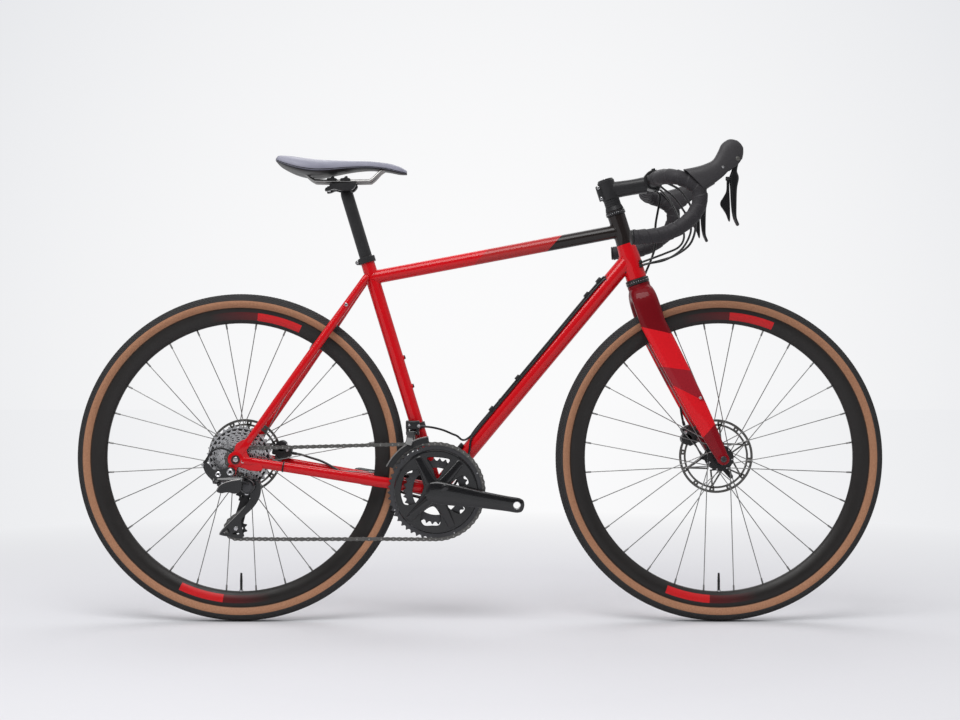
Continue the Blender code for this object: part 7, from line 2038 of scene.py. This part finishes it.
FRONT_SHIFT_ROUTE = (
    (384, 57.3, 935), (385.5, 54, 934.2), (398, 48.5, 923.5), (418, 38, 895), (434, 20, 852),
    (438, 4, 822), (425, -8, 800), (395, -15, 786), (358, -18, 772), (326, -14.0, 760),
    (294, -7.0, 747), (269, -9.4, 736.0), (251.4, -8.4, 722.4), (148.9, -8.4, 599.5),
    (46.4, -8.4, 476.6), (-24, -8.4, 392.4), (-52, -12, 398), (-78, -20, 409), (-103, -27.5, 415.5),
    (-128.2, -28, 417.8),
)
REAR_HOSE_ROUTE = (
    (384, -57.3, 935), (385.5, -54, 935), (398, -50, 931), (425, -42, 916), (452, -22, 880),
    (462, -2, 845), (452, 12, 808), (420, 18, 784), (385, 18, 772), (352, 18.5, 764), (324, 14.0, 755),
    (292, 8.0, 742), (271, 11, 730), (261.2, 10.6, 727.0), (251.5, 9.8, 722.2), (149.0, 9.6, 599.4),
    (46.6, 9.6, 476.5), (-11.1, 10.2, 407.4), (-19.4, 17.4, 388.3), (-22.6, 21.3, 365.0),
    (-26.9, 20.2, 349.0), (-31.1, 16.8, 332.9), (-41.4, 12, 311.8), (-58, 11.5, 286), (-74, 12, 263.6),
    (-93, 12, 255.4), (-113, 13, 260), (-150, 22, 268), (-190, 33, 278.5), (-230, 37, 286.5),
    (-255, 35.8, 290.5), (-278, 35, 301), (-300, 37.5, 314), (-322, 41.5, 327.5), (-345, 49, 338.5),
    (-372, 57.2, 346.4), (-391, 60.2, 352.2), (-409.2, 60.5, 355.3),
)
FRONT_HOSE_ROUTE = (
    (376, 57.3, 929), (377.5, 54, 928.2), (386.5, 49.8, 923), (392, 48, 912), (386, 43, 880),
    (381, 41, 850), (380, 37, 808), (373, 34.8, 782), (359, 34, 748), (348, 34.5, 722),
    (345.5, 35, 702), (355, 38.5, 668), (367, 42, 634), (399, 49, 572), (431, 54.5, 508.5),
    (438.5, 55.5, 480), (437.5, 54, 453), (441, 52, 430), (444.6, 50, 416.2),
)


def make_cable(name, route, radius):
    """A cable with a metal ferrule at its working end."""
    shape = Shape()
    path = between([Vector(point) / 1000 for point in route], 6)
    shape.tube(path, radius, CABLE_COVER, 14)
    way = (path[-1] - path[-7]).normalized()
    end = path[-1]
    shape.rod(end - way * 0.009, end + way * 0.0005, radius + 0.0008, SATIN)
    steered = name == "front_brake_hose"
    made = shape.look(name, "steering" if steered else None, "cable_cover")
    if not steered:
        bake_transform(made)


def make_cables():
    make_cable("rear_shift_cable", REAR_SHIFT_ROUTE, HOUSING_RADIUS)
    make_cable("front_shift_cable", FRONT_SHIFT_ROUTE, HOUSING_RADIUS)
    make_cable("rear_brake_hose", REAR_HOSE_ROUTE, HOSE_RADIUS)
    make_cable("front_brake_hose", FRONT_HOSE_ROUTE, HOSE_RADIUS)


make_frame()
make_dropout_plate()
make_grommets()
make_fork()
make_front_axle()
make_wheels()
make_cockpit()
make_seat()
make_drivetrain()
make_cables()


# Studio

# The backdrop's colour in the middle, and at its edges darker with painted shade.
BACKDROP_MIDDLE = (0.96, 0.96, 0.966)
BACKDROP_SHADED_EDGE = (0.79, 0.8, 0.825)
WALL_SHADE = (0.3, 0.3, 0.31)
CEILING_SHADE = (1.0, 1.0, 1.02)
AIR_STRENGTH = 0.84
FRONT_DARK = 0.1
FLOOR_HALF = 14.0
FLOOR_HEIGHT = -0.0004
CAMERA_BACK = 3.3
CAMERA_HEIGHT = 0.5586
LENS = 57.71
SENSOR = 36.0


def make_floor():
    """A pale matt floor round the bike, which far out glows like the backdrop behind it."""
    mesh = bpy.data.meshes.new("studio_floor")
    signs = ((-1, -1), (1, -1), (1, 1), (-1, 1))
    mesh.from_pydata([(u * FLOOR_HALF, v * FLOOR_HALF, FLOOR_HEIGHT) for u, v in signs], [], [(0, 1, 2, 3)])
    floor = bpy.data.objects.new("studio_floor", mesh)
    bpy.context.scene.collection.objects.link(floor)
    finish = Finish("studio_floor_finish")
    x, y = finish.along(X_AXIS), finish.along(Y_AXIS)
    distance = finish.distance(x, y)
    finish.done((0.665, 0.665, 0.69), 0.85, grain=0.01, bump=0.0)
    glow = finish.add("ShaderNodeEmission")
    # Far out the floor glows with painted shade, darker to the sides and towards the camera.
    aside = finish.maths("DIVIDE", finish.maths("ABSOLUTE", x), finish.maths("ADD", y, CAMERA_BACK))
    edge_shade = finish.maths("MAXIMUM", finish.spread(aside, 0.06, 0.42), finish.spread(y, -1.0, -2.8))
    finish.feed(glow.inputs["Color"], finish.mix(edge_shade, BACKDROP_MIDDLE, BACKDROP_SHADED_EDGE))
    blend = finish.add("ShaderNodeMixShader")
    ray = finish.add("ShaderNodeLightPath")
    shown = finish.maths("MAXIMUM", ray.outputs["Is Camera Ray"], ray.outputs["Is Glossy Ray"])
    shown = finish.maths("MAXIMUM", shown, ray.outputs["Is Transmission Ray"])
    share = finish.maths("MULTIPLY", shown, finish.spread(distance, 0.8, 2.4))
    for socket, source in zip(blend.inputs, (share, finish.shader.outputs[0], glow.outputs[0])):
        finish.feed(socket, source)
    finish.feed(finish.tree.nodes["Material Output"].inputs["Surface"], blend.outputs[0])
    mesh.materials.append(finish.material)


def make_air():
    """A pale backdrop for the camera, and a soft studio with a bright ceiling for everything else."""
    world = bpy.data.worlds.new("studio_air")
    bpy.context.scene.world = world
    world.use_nodes = True
    world.node_tree.nodes.clear()
    air = Nodes(world.node_tree)
    way = air.add("ShaderNodeSeparateXYZ")
    air.feed(way.inputs[0], air.add("ShaderNodeTexCoord").outputs["Generated"])
    seen, lit = air.add("ShaderNodeBackground"), air.add("ShaderNodeBackground")
    # Painted shade: the backdrop darkens away from straight ahead.
    centred = air.spread(way.outputs["Y"], 0.925, 0.998)
    air.feed(seen.inputs["Color"], air.mix(centred, BACKDROP_SHADED_EDGE, BACKDROP_MIDDLE))
    rise = air.spread(way.outputs["Z"], -0.1, 0.75)
    air.feed(lit.inputs["Color"], air.mix(rise, WALL_SHADE, CEILING_SHADE))
    air.feed(lit.inputs["Strength"], air.spread(way.outputs["Y"], -0.9, -0.28, FRONT_DARK, AIR_STRENGTH))
    blend = air.add("ShaderNodeMixShader")
    ray = air.add("ShaderNodeLightPath")
    for socket, source in zip(blend.inputs, (ray.outputs["Is Camera Ray"], lit.outputs[0], seen.outputs[0])):
        air.feed(socket, source)
    air.feed(air.add("ShaderNodeOutputWorld").inputs["Surface"], blend.outputs[0])


def make_lamp(name, place, target, size, height, watts):
    lamp = bpy.data.lights.new(name, "AREA")
    lamp.shape = "RECTANGLE"
    lamp.size = size
    lamp.size_y = height
    lamp.energy = watts
    made = bpy.data.objects.new(name, lamp)
    made.location = place
    made.rotation_euler = (Vector(target) - Vector(place)).to_track_quat("-Z", "Y").to_euler()
    made.visible_camera = False
    bpy.context.scene.collection.objects.link(made)


def make_camera():
    camera = bpy.data.cameras.new("main_camera")
    camera.lens = LENS
    camera.sensor_width = SENSOR
    made = bpy.data.objects.new("main_camera", camera)
    made.location = (0, -CAMERA_BACK, CAMERA_HEIGHT)
    made.rotation_euler = (math.radians(90), 0, 0)
    bpy.context.scene.collection.objects.link(made)
    bpy.context.scene.camera = made


make_floor()
make_air()
make_lamp("key_lamp", (-0.6, -1.6, 2.7), (0, 0, 0.4), 2.4, 1.6, 58.0)
make_lamp("back_lamp", (0.5, 1.8, 2.6), (0, 0, 0.5), 2.6, 1.4, 22.0)
make_camera()
bpy.context.scene.view_settings.view_transform = "Standard"
